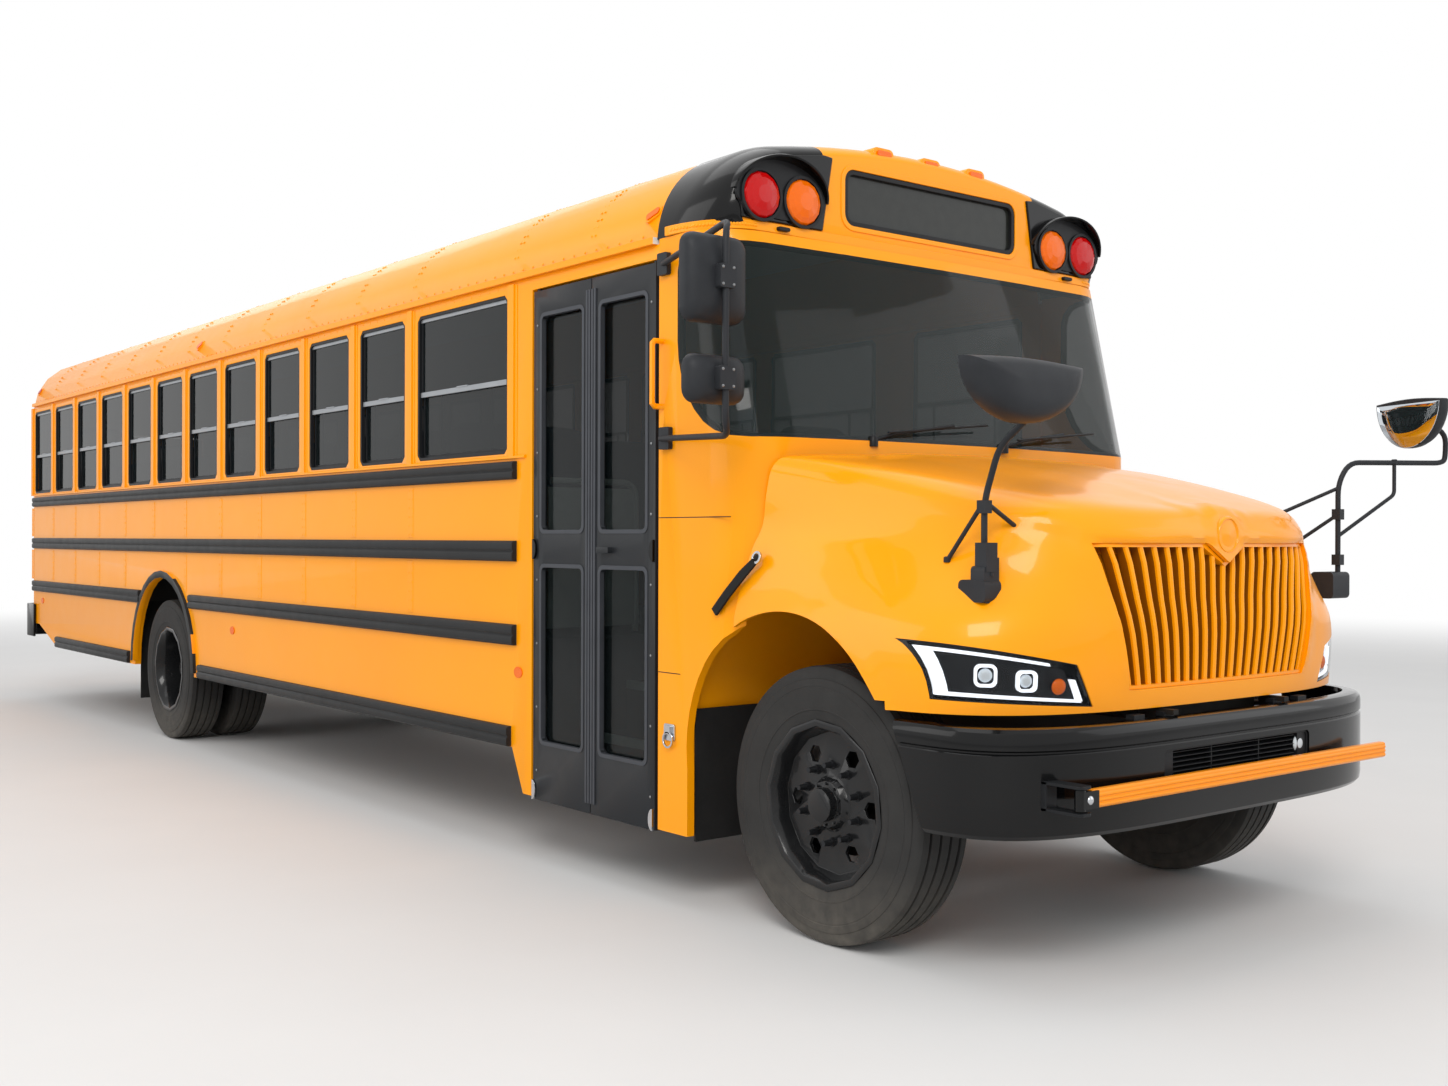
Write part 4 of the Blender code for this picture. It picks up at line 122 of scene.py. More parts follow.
# Columns: colour, second colour in patches, patch size, roughness from and to, metal, coat,
# grain size, grain depth
FINISHES = {
    "bus_yellow": (YELLOW, YELLOW_DEEP, 0.9, 0.3, 0.4, 0.0, 0.22, 0.004, 0.00006),
    "hood_yellow": (YELLOW, YELLOW_DEEP, 0.6, 0.26, 0.36, 0.0, 0.35, 0.004, 0.00008),
    "roof_white": ((0.93, 0.93, 0.92), (0.86, 0.86, 0.84), 0.5, 0.42, 0.6, 0.0, 0.1, 0.006, 0.0002),
    "gloss_black": ((0.045, 0.047, 0.052), (0.028, 0.029, 0.033), 0.3, 0.12, 0.22, 0.0, 0.25, 0.004, 0.00005),
    "satin_black": ((0.125, 0.13, 0.14), (0.095, 0.1, 0.108), 0.2, 0.36, 0.5, 0.0, 0.05, 0.002, 0.0001),
    "door_black": ((0.15, 0.16, 0.172), (0.12, 0.128, 0.14), 0.4, 0.34, 0.46, 0.0, 0.1, 0.003, 0.00006),
    "door_grey": ((0.3, 0.31, 0.33), (0.25, 0.26, 0.28), 0.1, 0.35, 0.5, 0.3, 0.0, 0.002, 0.00008),
    "rail_black": ((0.11, 0.114, 0.118), (0.165, 0.168, 0.172), 0.5, 0.34, 0.52, 0.0, 0.0, 0.003, 0.00012),
    "mirror_black": ((0.19, 0.198, 0.212), (0.15, 0.156, 0.168), 0.08, 0.4, 0.52, 0.0, 0.0, 0.0016, 0.0003),
    "rubber": ((0.1, 0.1, 0.102), (0.15, 0.148, 0.146), 0.12, 0.62, 0.85, 0.0, 0.0, 0.003, 0.0003),
    "floor_rubber": ((0.14, 0.14, 0.142), (0.23, 0.225, 0.215), 0.3, 0.6, 0.9, 0.0, 0.0, 0.006, 0.0006),
    "chassis_black": ((0.11, 0.11, 0.114), (0.2, 0.185, 0.165), 0.25, 0.45, 0.75, 0.3, 0.0, 0.004, 0.0004),
    "chrome": ((0.82, 0.83, 0.84), (0.7, 0.71, 0.73), 0.05, 0.08, 0.22, 1.0, 0.0, 0.003, 0.00005),
    "steel": ((0.6, 0.61, 0.62), (0.45, 0.45, 0.45), 0.03, 0.25, 0.45, 1.0, 0.0, 0.002, 0.0001),
    "sash_silver": ((0.66, 0.675, 0.69), (0.56, 0.575, 0.59), 0.2, 0.3, 0.42, 0.7, 0.0, 0.002, 0.00006),
    "sign_red": ((0.78, 0.03, 0.04), (0.7, 0.02, 0.03), 0.2, 0.3, 0.4, 0.0, 0.2, 0.002, 0.00008),
    "sign_white": ((0.93, 0.93, 0.93), (0.86, 0.86, 0.86), 0.2, 0.3, 0.4, 0.0, 0.2, 0.002, 0.00008),
    "seat_vinyl": ((0.13, 0.2, 0.33), (0.1, 0.16, 0.28), 0.1, 0.42, 0.6, 0.0, 0.0, 0.003, 0.0006),
    "seat_grey": ((0.28, 0.285, 0.29), (0.22, 0.225, 0.23), 0.1, 0.5, 0.65, 0.0, 0.0, 0.003, 0.0005),
    "dash_grey": ((0.2, 0.205, 0.21), (0.16, 0.165, 0.17), 0.1, 0.5, 0.65, 0.0, 0.0, 0.002, 0.0004),
    # Painted shade: a darker yellow for the slats' deep flanks and the sheet behind them, standing for the
    # shade inside the grille
    "grille_painted_shade": ((0.56, 0.31, 0.0), (0.5, 0.27, 0.0), 0.3, 0.4, 0.55, 0.0, 0.1, 0.004, 0.00008),
    "gate_amber": ((1.0, 0.61, 0.0), (0.97, 0.57, 0.0), 0.2, 0.28, 0.42, 0.0, 0.3, 0.003, 0.00008),
    "gasket_black": ((0.085, 0.088, 0.092), (0.12, 0.123, 0.128), 0.2, 0.32, 0.46, 0.0, 0.05, 0.003, 0.00012),
    "wheel_black": ((0.075, 0.078, 0.084), (0.11, 0.112, 0.116), 0.1, 0.16, 0.3, 0.0, 0.35, 0.003, 0.0001),
    "nut_black": ((0.16, 0.165, 0.175), (0.22, 0.225, 0.235), 0.03, 0.22, 0.36, 0.6, 0.0, 0.002, 0.00006),
    "steel_dark": ((0.32, 0.325, 0.335), (0.24, 0.24, 0.245), 0.03, 0.28, 0.45, 1.0, 0.0, 0.002, 0.00008),
    "step_edge": ((0.78, 0.86, 0.84), (0.64, 0.72, 0.7), 0.05, 0.35, 0.55, 0.2, 0.0, 0.003, 0.0002),
    "lamp_housing": ((0.08, 0.082, 0.088), (0.05, 0.052, 0.058), 0.04, 0.12, 0.25, 0.2, 0.4, 0.003, 0.0001),
    "rubber_grey": ((0.215, 0.213, 0.21), (0.165, 0.164, 0.163), 0.1, 0.6, 0.8, 0.0, 0.0, 0.004, 0.0006),
    "floor_pale": ((0.86, 0.86, 0.86), (0.84, 0.84, 0.84), 0.8, 0.7, 0.85, 0.0, 0.0, 0.01, 0.0005),
    "mirror_glass": (MIRROR_GLASS, MIRROR_GLASS, 0.5, 0.01, 0.03, 1.0, 0.0, 0.05, 0.0001),
    "mesh_black": ((0.11, 0.118, 0.112), (0.16, 0.172, 0.16), 0.05, 0.25, 0.4, 0.0, 0.3, 0.006, 0.0006),
}

# Clear and coloured glass: colour, opacity, roughness, glow
GLASSES = {
    "window_glass": ((0.060, 0.085, 0.092), 0.78, 0.03, 0.0),
    "screen_glass": ((0.050, 0.105, 0.100), 0.55, 0.02, 0.0),
    "door_glass": ((0.045, 0.070, 0.073), 0.55, 0.02, 0.0),
    "lamp_cover": ((0.120, 0.140, 0.160), 0.12, 0.02, 0.0),
    "red_lens": ((0.740, 0.030, 0.035), 0.96, 0.10, 0.06),
    "amber_lens": ((0.930, 0.420, 0.010), 0.96, 0.10, 0.05),
    "clear_lens": ((0.850, 0.880, 0.900), 0.90, 0.08, 0.05),
    "light_strip": ((0.950, 0.970, 1.000), 1.00, 0.15, 0.90),
}
PAINT_SHINE = 0.16
COAT_ROUGHNESS = 0.06
GRAIN_STRENGTH = 0.6
GLOSS_SPREAD = 6
GLASS_SHINE = 0.32
GLASS_WAVE = 0.25
GLASS_WAVE_STRENGTH = 0.15
GLASS_WAVE_DEPTH = 0.002
DUST = (0.42, 0.40, 0.37)
DUST_TOP_Z = 0.35
DUST_GRAIN = 0.05


def noise(tree, coords, size, detail=4.0):
    node = tree.nodes.new("ShaderNodeTexNoise")
    node.inputs["Scale"].default_value = 1 / size
    node.inputs["Detail"].default_value = detail
    tree.links.new(coords.outputs["Object"], node.inputs["Vector"])
    return node


# Rows for the tyres and for the room, which have a material of their own
OTHER_FINISHES = ("rubber_grey", "floor_pale")


def paint(name, row):
    """A finish whose colour, gloss and fine grain vary over the piece."""
    colour, second, patch, rough_low, rough_high, metal, coat, grain, depth = row
    material = bpy.data.materials.new(name)
    material.use_nodes = True
    tree = material.node_tree
    shader = tree.nodes["Principled BSDF"]
    shader.inputs["Metallic"].default_value = metal
    shader.inputs["Specular IOR Level"].default_value = PAINT_SHINE
    shader.inputs["Coat Weight"].default_value = coat
    shader.inputs["Coat Roughness"].default_value = COAT_ROUGHNESS
    coords = tree.nodes.new("ShaderNodeTexCoord")
    patches = noise(tree, coords, patch)
    mix = tree.nodes.new("ShaderNodeMix")
    mix.data_type = "RGBA"
    mix.inputs["A"].default_value = screen(colour)
    mix.inputs["B"].default_value = screen(second)
    tree.links.new(patches.outputs["Fac"], mix.inputs["Factor"])
    tree.links.new(mix.outputs["Result"], shader.inputs["Base Color"])
    spread = tree.nodes.new("ShaderNodeMapRange")
    spread.inputs["To Min"].default_value = rough_low
    spread.inputs["To Max"].default_value = rough_high
    tree.links.new(noise(tree, coords, patch / GLOSS_SPREAD).outputs["Fac"], spread.inputs["Value"])
    tree.links.new(spread.outputs["Result"], shader.inputs["Roughness"])
    bump = tree.nodes.new("ShaderNodeBump")
    bump.inputs["Strength"].default_value = GRAIN_STRENGTH
    bump.inputs["Distance"].default_value = depth
    tree.links.new(noise(tree, coords, grain, 2.0).outputs["Fac"], bump.inputs["Height"])
    tree.links.new(bump.outputs["Normal"], shader.inputs["Normal"])
    return material


def glass(name, row):
    """Tinted glass or a lens, with faint waviness in its face."""
    colour, opacity, rough, glow = row
    material = bpy.data.materials.new(name)
    material.use_nodes = True
    tree = material.node_tree
    shader = tree.nodes["Principled BSDF"]
    shader.inputs["Base Color"].default_value = screen(colour)
    shader.inputs["Alpha"].default_value = opacity
    shader.inputs["Roughness"].default_value = rough
    shader.inputs["Specular IOR Level"].default_value = GLASS_SHINE
    shader.inputs["Emission Color"].default_value = screen(colour)
    shader.inputs["Emission Strength"].default_value = glow
    coords = tree.nodes.new("ShaderNodeTexCoord")
    bump = tree.nodes.new("ShaderNodeBump")
    bump.inputs["Strength"].default_value = GLASS_WAVE_STRENGTH
    bump.inputs["Distance"].default_value = GLASS_WAVE_DEPTH
    tree.links.new(noise(tree, coords, GLASS_WAVE, 1.0).outputs["Fac"], bump.inputs["Height"])
    tree.links.new(bump.outputs["Normal"], shader.inputs["Normal"])
    return material


def tyre_rubber():
    """Dark rubber with dust that gathers towards the ground."""
    material = paint("tyre_rubber", FINISHES["rubber_grey"])
    tree = material.node_tree
    shader = tree.nodes["Principled BSDF"]
    mix = next(node for node in tree.nodes if node.bl_idname == "ShaderNodeMix")
    coords = next(node for node in tree.nodes if node.bl_idname == "ShaderNodeTexCoord")
    split = tree.nodes.new("ShaderNodeSeparateXYZ")
    tree.links.new(coords.outputs["Object"], split.inputs["Vector"])
    low = tree.nodes.new("ShaderNodeMapRange")
    low.inputs["From Min"].default_value = DUST_TOP_Z
    low.inputs["From Max"].default_value = 0.0
    tree.links.new(split.outputs["Z"], low.inputs["Value"])
    share = tree.nodes.new("ShaderNodeMath")
    share.operation = "MULTIPLY"
    tree.links.new(low.outputs["Result"], share.inputs[0])
    tree.links.new(noise(tree, coords, DUST_GRAIN).outputs["Fac"], share.inputs[1])
    dust = tree.nodes.new("ShaderNodeMix")
    dust.data_type = "RGBA"
    dust.inputs["B"].default_value = screen(DUST)
    tree.links.new(share.outputs["Value"], dust.inputs["Factor"])
    tree.links.new(mix.outputs["Result"], dust.inputs["A"])
    tree.links.new(dust.outputs["Result"], shader.inputs["Base Color"])
    return material


finishes = {name: paint(name, row) for name, row in FINISHES.items() if name not in OTHER_FINISHES}
finishes.update({name: glass(name, row) for name, row in GLASSES.items()})
finishes["tyre_rubber"] = tyre_rubber()


# Drawing


def box(bm, x, y, z):
    size = Matrix.Diagonal((x[1] - x[0], y[1] - y[0], z[1] - z[0], 1))
    middle = Vector(((x[0] + x[1]) / 2, (y[0] + y[1]) / 2, (z[0] + z[1]) / 2))
    return bmesh.ops.create_cube(bm, size=1, matrix=Matrix.Translation(middle) @ size)["verts"]


def place(axis, along, first, second):
    return {"X": (along, first, second), "Y": (first, along, second), "Z": (first, second, along)}[axis]


def faces_of(verts):
    return {face for vert in verts for face in vert.link_faces}


def plate(bm, outline, axis, span, finish=0):
    """An outline in the plane across an axis, extruded over a span of that axis."""
    low = [bm.verts.new(place(axis, span[0], *point)) for point in outline]
    high = [bm.verts.new(place(axis, span[1], *point)) for point in outline]
    made = [bm.faces.new(low), bm.faces.new(high[::-1])]
    for k in range(len(low)):
        n = (k + 1) % len(low)
        made.append(bm.faces.new((low[n], low[k], high[k], high[n])))
    for face in made:
        face.material_index = finish


def ring(bm, outer, inner, axis, span, finish=0):
    """A frame between two outlines of equal length, extruded over a span of an axis."""
    loops = [[bm.verts.new(place(axis, at, *point)) for point in line]
             for line, at in ((outer, span[0]), (outer, span[1]), (inner, span[1]), (inner, span[0]))]
    for one, two in zip(loops, loops[1:] + loops[:1]):
        for k in range(len(one)):
            n = (k + 1) % len(one)
            bm.faces.new((one[k], one[n], two[n], two[k])).material_index = finish


def skin(bm, rows, closed_rows=False, closed=False, finish=0):
    """A surface through rows of points.

    closed joins the ends of each row, and closed_rows joins the last row to the first.
    """
    lines = [[bm.verts.new(point) for point in row] for row in rows]
    pairs = list(zip(lines, lines[1:]))
    if closed_rows:
        pairs.append((lines[-1], lines[0]))
    for one, two in pairs:
        for k in range(len(one) if closed else len(one) - 1):
            n = (k + 1) % len(one)
            bm.faces.new((one[k], one[n], two[n], two[k])).material_index = finish
    return lines


def bar(bm, path, radius, sides=12, finish=0):
    """A round bar along a path, its bends turned smoothly."""
    points = [Vector(point) for point in path]
    legs = [(two - one).normalized() for one, two in zip(points, points[1:])]
    way = legs[0]
    across = way.orthogonal().normalized()
    rows = []
    for point, before, after in zip(points, legs[:1] + legs, legs + legs[-1:]):
        new_way = (before + after).normalized()
        across = way.rotation_difference(new_way) @ across
        way = new_way
        other = way.cross(across)
        turns = [math.tau * n / sides for n in range(sides)]
        rows.append([point + (across * math.cos(a) + other * math.sin(a)) * radius for a in turns])
    lines = skin(bm, rows, closed=True, finish=finish)
    bm.faces.new(lines[0][::-1]).material_index = finish
    bm.faces.new(lines[-1]).material_index = finish


def bends(path, radius, steps=5):
    """The same path with each corner turned by a round bend."""
    points = [Vector(point) for point in path]
    line = [points[0]]
    for before, corner, after in zip(points, points[1:], points[2:]):
        one = corner + (before - corner).normalized() * min(radius, (before - corner).length / 2)
        two = corner + (after - corner).normalized() * min(radius, (after - corner).length / 2)
        for k in range(steps + 1):
            t = k / steps
            line.append(one * (1 - t) ** 2 + corner * (2 * t * (1 - t)) + two * t * t)
    return line + [points[-1]]


def turned(bm, profile, centre, steps, side=1, finish=0, closed=True):
    """A profile of (place along X, radius) turned round an axis parallel to X."""
    rows = []
    for along, radius in profile:
        rows.append([(side * along, y, z) for y, z in circle(centre, radius, steps)])
    return skin(bm, rows, closed_rows=closed, closed=True, finish=finish)


def circle(centre, radius, steps=32):
    return [(centre[0] + radius * math.cos(math.tau * n / steps),
             centre[1] + radius * math.sin(math.tau * n / steps)) for n in range(steps)]


def arc(centre, radii, start, end, steps=12):
    points = []
    for n in range(steps + 1):
        angle = math.radians(start + (end - start) * n / steps)
        points.append((centre[0] + radii[0] * math.cos(angle), centre[1] + radii[1] * math.sin(angle)))
    return points


def rounded(x, y, r, steps=5):
    points = []
    for cx, cy, start in ((x[1] - r, y[1] - r, 0), (x[0] + r, y[1] - r, 90),
                          (x[0] + r, y[0] + r, 180), (x[1] - r, y[0] + r, 270)):
        points += arc((cx, cy), (r, r), start, start + 90, steps)
    return points


def span(side, inner, outer):
    return tuple(sorted((side * inner, side * outer)))


def solid(node):
    """A CAD node's mesh with its doubles merged and its flat triangles joined."""
    bm = bmesh.new()
    bm.from_mesh(frame["nodes"][node].data)
    bmesh.ops.remove_doubles(bm, verts=bm.verts, dist=WELD)
    bmesh.ops.dissolve_limit(bm, angle_limit=math.radians(0.5), verts=bm.verts, edges=bm.edges)
    bmesh.ops.translate(bm, verts=bm.verts, vec=(0, -AXLE_Y, 0))
    for face in bm.faces:
        face.material_index = 0
    return bm


def piece(name, bm, body, *looks, stands_for=(), bevel=0.0, angle=32.0, level=0, recalc=True):
    """Puts a drawn mesh into the frame: its finishes, its edges and the body that it rides on."""
    if recalc:
        bmesh.ops.recalc_face_normals(bm, faces=bm.faces)
    bmesh.ops.translate(bm, verts=bm.verts, vec=(0, AXLE_Y, 0))
    mesh = bpy.data.meshes.new(name)
    bm.to_mesh(mesh)
    bm.free()
    obj = bpy.data.objects.new(name, mesh)
    bpy.context.scene.collection.objects.link(obj)
    for look in looks:
        mesh.materials.append(finishes[look])
    mesh.shade_smooth()
    if bevel:
        edge = obj.modifiers.new("edges", "BEVEL")
        edge.width = bevel
        edge.segments = 2
        edge.limit_method = "ANGLE"
        edge.angle_limit = math.radians(angle)
        edge.harden_normals = True
    else:
        mesh.set_sharp_from_angle(angle=math.radians(angle))
    if level:
        smooth = obj.modifiers.new("smooth", "SUBSURF")
        smooth.levels = level
        smooth.render_levels = level
    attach(obj, body)
    if stands_for:
        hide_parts(*stands_for)
    return obj


def cut(obj, tool_bm, name="tool"):
    """Cuts a drawn shape out of a piece and keeps the result as its mesh."""
    bmesh.ops.recalc_face_normals(tool_bm, faces=tool_bm.faces)
    bmesh.ops.translate(tool_bm, verts=tool_bm.verts, vec=(0, AXLE_Y, 0))
    mesh = bpy.data.meshes.new(name)
    tool_bm.to_mesh(mesh)
    tool_bm.free()
    tool = bpy.data.objects.new(name, mesh)
    bpy.context.scene.collection.objects.link(tool)
    change = obj.modifiers.new("cut", "BOOLEAN")
    change.operation = "DIFFERENCE"
    change.solver = "EXACT"
    change.object = tool
    with_cut = bpy.data.meshes.new_from_object(obj.evaluated_get(bpy.context.evaluated_depsgraph_get()))
    obj.modifiers.clear()
    obj.data = with_cut
    bpy.data.objects.remove(tool)


# Stage


def camera():
    data = bpy.data.cameras.new("camera")
    data.sensor_width = SENSOR
    data.lens = CAMERA_LENS
    obj = bpy.data.objects.new("camera", data)
    bpy.context.scene.collection.objects.link(obj)
    x, y, z = CAMERA_PLACE
    obj.location = (x, y + AXLE_Y, z)
    obj.rotation_euler = (math.pi / 2 + CAMERA_PITCH, CAMERA_ROLL, -CAMERA_TURN)
    bpy.context.scene.camera = obj


# Lamps: name, place from the front axle, size, power, tint
LAMPS = (
    ("key", (-9.0, -8.0, 10.0), 6.0, 1000, (1.0, 0.98, 0.95)),
    ("fill", (10.0, -9.0, 6.0), 9.0, 200, (0.95, 0.97, 1.0)),
    ("side", (-13.0, 7.0, 6.5), 9.0, 420, (1.0, 0.99, 0.98)),
    ("top", (0.0, 4.0, 13.0), 10.0, 350, (1.0, 1.0, 1.0)),
    ("back", (6.0, 20.0, 8.0), 9.0, 250, (1.0, 1.0, 1.0)),
)
LOOK_AT = (0.0, 2.0, 1.2)
SOFT_LIGHT = 0.72


def lamps():
    for name, at, size, power, tint in LAMPS:
        data = bpy.data.lights.new(name, "AREA")
        data.shape = "SQUARE"
        data.size = size
        data.energy = power
        data.color = tint
        obj = bpy.data.objects.new(name, data)
        bpy.context.scene.collection.objects.link(obj)
        obj.location = (at[0], at[1] + AXLE_Y, at[2])
        way = Vector(LOOK_AT) - Vector(at)
        obj.rotation_euler = way.to_track_quat("-Z", "Y").to_euler()


def world():
    """Soft light on the object, with white where the camera or glass looks past it."""
    sky = bpy.data.worlds.new("sky")
    sky.use_nodes = True
    tree = sky.node_tree
    back = tree.nodes["Background"]
    back.inputs["Color"].default_value = (1.0, 1.0, 1.0, 1.0)
    rays = tree.nodes.new("ShaderNodeLightPath")
    seen = tree.nodes.new("ShaderNodeMath")
    seen.operation = "MAXIMUM"
    tree.links.new(rays.outputs["Is Camera Ray"], seen.inputs[0])
    tree.links.new(rays.outputs["Is Transmission Ray"], seen.inputs[1])
    shown = tree.nodes.new("ShaderNodeMath")
    shown.operation = "MAXIMUM"
    tree.links.new(seen.outputs["Value"], shown.inputs[0])
    tree.links.new(rays.outputs["Is Glossy Ray"], shown.inputs[1])
    level = tree.nodes.new("ShaderNodeMapRange")
    level.inputs["To Min"].default_value = SOFT_LIGHT
    level.inputs["To Max"].default_value = 1.0
    tree.links.new(shown.outputs["Value"], level.inputs["Value"])
    tree.links.new(level.outputs["Result"], back.inputs["Strength"])
    bpy.context.scene.world = sky


FLOOR_HALF = 60.0
FLOOR_FADE = (11.0, 24.0)


def ground_finish():
    """A pale floor that runs into the white background away from the bus, where the camera looks at it."""
    material = paint("ground", FINISHES["floor_pale"])
    tree = material.node_tree
    shader = tree.nodes["Principled BSDF"]
    coords = tree.nodes.new("ShaderNodeTexCoord")
    away = tree.nodes.new("ShaderNodeVectorMath")
    away.operation = "LENGTH"
    tree.links.new(coords.outputs["Object"], away.inputs[0])
    far = tree.nodes.new("ShaderNodeMapRange")
    far.interpolation_type = "SMOOTHSTEP"
    far.inputs["From Min"].default_value, far.inputs["From Max"].default_value = FLOOR_FADE
    tree.links.new(away.outputs["Value"], far.inputs["Value"])
    rays = tree.nodes.new("ShaderNodeLightPath")
    share = tree.nodes.new("ShaderNodeMath")
    share.operation = "MULTIPLY"
    tree.links.new(far.outputs["Result"], share.inputs[0])
    tree.links.new(rays.outputs["Is Camera Ray"], share.inputs[1])
    white = tree.nodes.new("ShaderNodeEmission")
    white.inputs["Color"].default_value = (1.0, 1.0, 1.0, 1.0)
    blend = tree.nodes.new("ShaderNodeMixShader")
    tree.links.new(share.outputs["Value"], blend.inputs["Fac"])
    tree.links.new(shader.outputs["BSDF"], blend.inputs[1])
    tree.links.new(white.outputs["Emission"], blend.inputs[2])
    tree.links.new(blend.outputs["Shader"], tree.nodes["Material Output"].inputs["Surface"])
    return material


def ground():
    bm = bmesh.new()
    corners = ((-1, -1), (1, -1), (1, 1), (-1, 1))
    bm.faces.new([bm.verts.new((x * FLOOR_HALF, y * FLOOR_HALF, 0)) for x, y in corners])
    mesh = bpy.data.meshes.new("ground")
    bm.to_mesh(mesh)
    bm.free()
    obj = bpy.data.objects.new("ground", mesh)
    bpy.context.scene.collection.objects.link(obj)
    mesh.materials.append(ground_finish())


camera()
lamps()
world()
ground()
bpy.context.scene.view_settings.view_transform = "Standard"


# Small parts that repeat, placed by Geometry Nodes


TREE_INPUTS = (("Radius", "NodeSocketFloat"), ("Height", "NodeSocketFloat"), ("Seed", "NodeSocketInt"),
               ("Finish", "NodeSocketMaterial"))
SIZE_SPREAD = (0.96, 1.04)
RIVET_SEED = 7
RIVET_R = 0.0062
RIVET_PITCH = 0.0873
WAY_FORWARD = Vector((0, -1, 0))
WAY_BACK = Vector((0, 1, 0))


def domes(tree):
    """A flattened ball for rivets and screw heads."""
    ball = tree.nodes.new("GeometryNodeMeshUVSphere")
    ball.inputs["Segments"].default_value = 12
    ball.inputs["Rings"].default_value = 7
    ball.inputs["Radius"].default_value = 1.0
    return ball.outputs["Mesh"]


def nuts(tree):
    """A six-sided nut with a smaller round cap on it."""
    foot = tree.nodes.new("GeometryNodeMeshCylinder")
    foot.inputs["Vertices"].default_value = 6
    foot.inputs["Radius"].default_value = 1.0
    foot.inputs["Depth"].default_value = 1.0
    cap = tree.nodes.new("GeometryNodeMeshCone")
    cap.inputs["Vertices"].default_value = 16
    cap.inputs["Radius Bottom"].default_value = 0.80
    cap.inputs["Radius Top"].default_value = 0.55
    cap.inputs["Depth"].default_value = 2.2
    join = tree.nodes.new("GeometryNodeJoinGeometry")
    tree.links.new(cap.outputs["Mesh"], join.inputs["Geometry"])
    tree.links.new(foot.outputs["Mesh"], join.inputs["Geometry"])
    return join.outputs["Geometry"]


def repeat_tree(name, shape):
    """Sets one shape on each point, turned to the point's way, with a small spread of size."""
    tree = bpy.data.node_groups.new(name, "GeometryNodeTree")
    face = tree.interface
    face.new_socket("Geometry", in_out="INPUT", socket_type="NodeSocketGeometry")
    for label, kind in TREE_INPUTS:
        face.new_socket(label, in_out="INPUT", socket_type=kind)
    face.new_socket("Geometry", in_out="OUTPUT", socket_type="NodeSocketGeometry")
    start = tree.nodes.new("NodeGroupInput")
    end = tree.nodes.new("NodeGroupOutput")
    way = tree.nodes.new("GeometryNodeInputNamedAttribute")
    way.data_type = "FLOAT_VECTOR"
    way.inputs["Name"].default_value = "way"
    turn = tree.nodes.new("FunctionNodeAlignRotationToVector")
    turn.axis = "Z"
    tree.links.new(way.outputs["Attribute"], turn.inputs["Vector"])
    size = tree.nodes.new("ShaderNodeCombineXYZ")
    tree.links.new(start.outputs["Radius"], size.inputs["X"])
    tree.links.new(start.outputs["Radius"], size.inputs["Y"])
    tree.links.new(start.outputs["Height"], size.inputs["Z"])
    spread = tree.nodes.new("FunctionNodeRandomValue")
    spread.data_type = "FLOAT"
    spread.inputs["Min"].default_value, spread.inputs["Max"].default_value = SIZE_SPREAD
    tree.links.new(start.outputs["Seed"], spread.inputs["Seed"])
    scale = tree.nodes.new("ShaderNodeVectorMath")
    scale.operation = "SCALE"
    tree.links.new(size.outputs["Vector"], scale.inputs["Vector"])
    tree.links.new(spread.outputs["Value"], scale.inputs["Scale"])
    put = tree.nodes.new("GeometryNodeInstanceOnPoints")
    tree.links.new(start.outputs["Geometry"], put.inputs["Points"])
    tree.links.new(shape(tree), put.inputs["Instance"])
    tree.links.new(turn.outputs["Rotation"], put.inputs["Rotation"])
    tree.links.new(scale.outputs["Vector"], put.inputs["Scale"])
    real = tree.nodes.new("GeometryNodeRealizeInstances")
    tree.links.new(put.outputs["Instances"], real.inputs["Geometry"])
    look = tree.nodes.new("GeometryNodeSetMaterial")
    tree.links.new(real.outputs["Geometry"], look.inputs["Geometry"])
    tree.links.new(start.outputs["Finish"], look.inputs["Material"])
    tree.links.new(look.outputs["Geometry"], end.inputs["Geometry"])
    return tree


RIVETS = repeat_tree("rivets", domes)
NUTS = repeat_tree("nuts", nuts)


def repeated(name, tree, points, radius, height, finish, body, angle=32.0):
    """The tree's shape on each (place, way), as one plain mesh."""
    mesh = bpy.data.meshes.new(name)
    mesh.from_pydata([(x, y + AXLE_Y, z) for (x, y, z), _ in points], [], [])
    ways = mesh.attributes.new("way", "FLOAT_VECTOR", "POINT")
    ways.data.foreach_set("vector", [c for _, way in points for c in way])
    carrier = bpy.data.objects.new(name, mesh)
    bpy.context.scene.collection.objects.link(carrier)
    change = carrier.modifiers.new("repeat", "NODES")
    change.node_group = tree
    values = {"Radius": radius, "Height": height, "Seed": RIVET_SEED, "Finish": finishes[finish]}
    for item in tree.interface.items_tree:
        if item.in_out == "INPUT" and item.name in values:
            change[item.identifier] = values[item.name]
    carrier.update_tag()
    made = bpy.data.meshes.new_from_object(carrier.evaluated_get(bpy.context.evaluated_depsgraph_get()))
    carrier.modifiers.clear()
    bpy.data.objects.remove(carrier)
    obj = bpy.data.objects.new(name, made)
    bpy.context.scene.collection.objects.link(obj)
    made.shade_smooth()
    made.set_sharp_from_angle(angle=math.radians(angle))
    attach(obj, body)
    return obj


# Body sides


def window_spans(side):
    spans = [WIDE_WINDOW]
    for k in range(WINDOW_COUNT):
        start = FIRST_WINDOW_Y + WINDOW_PITCH * k
        spans.append((start, start + WINDOW_LENGTH))
    return ([DRIVER_WINDOW] if side > 0 else []) + spans


FIRST_PILLAR_Y = 2.052
WIDE_PILLAR_STEP = 0.072
PILLAR_STEP = 0.074
SEAM_YS = [WIDE_WINDOW[1] + WIDE_PILLAR_STEP] + [
    FIRST_WINDOW_Y + WINDOW_PITCH * (k + 1) - PILLAR_STEP for k in range(WINDOW_COUNT)]
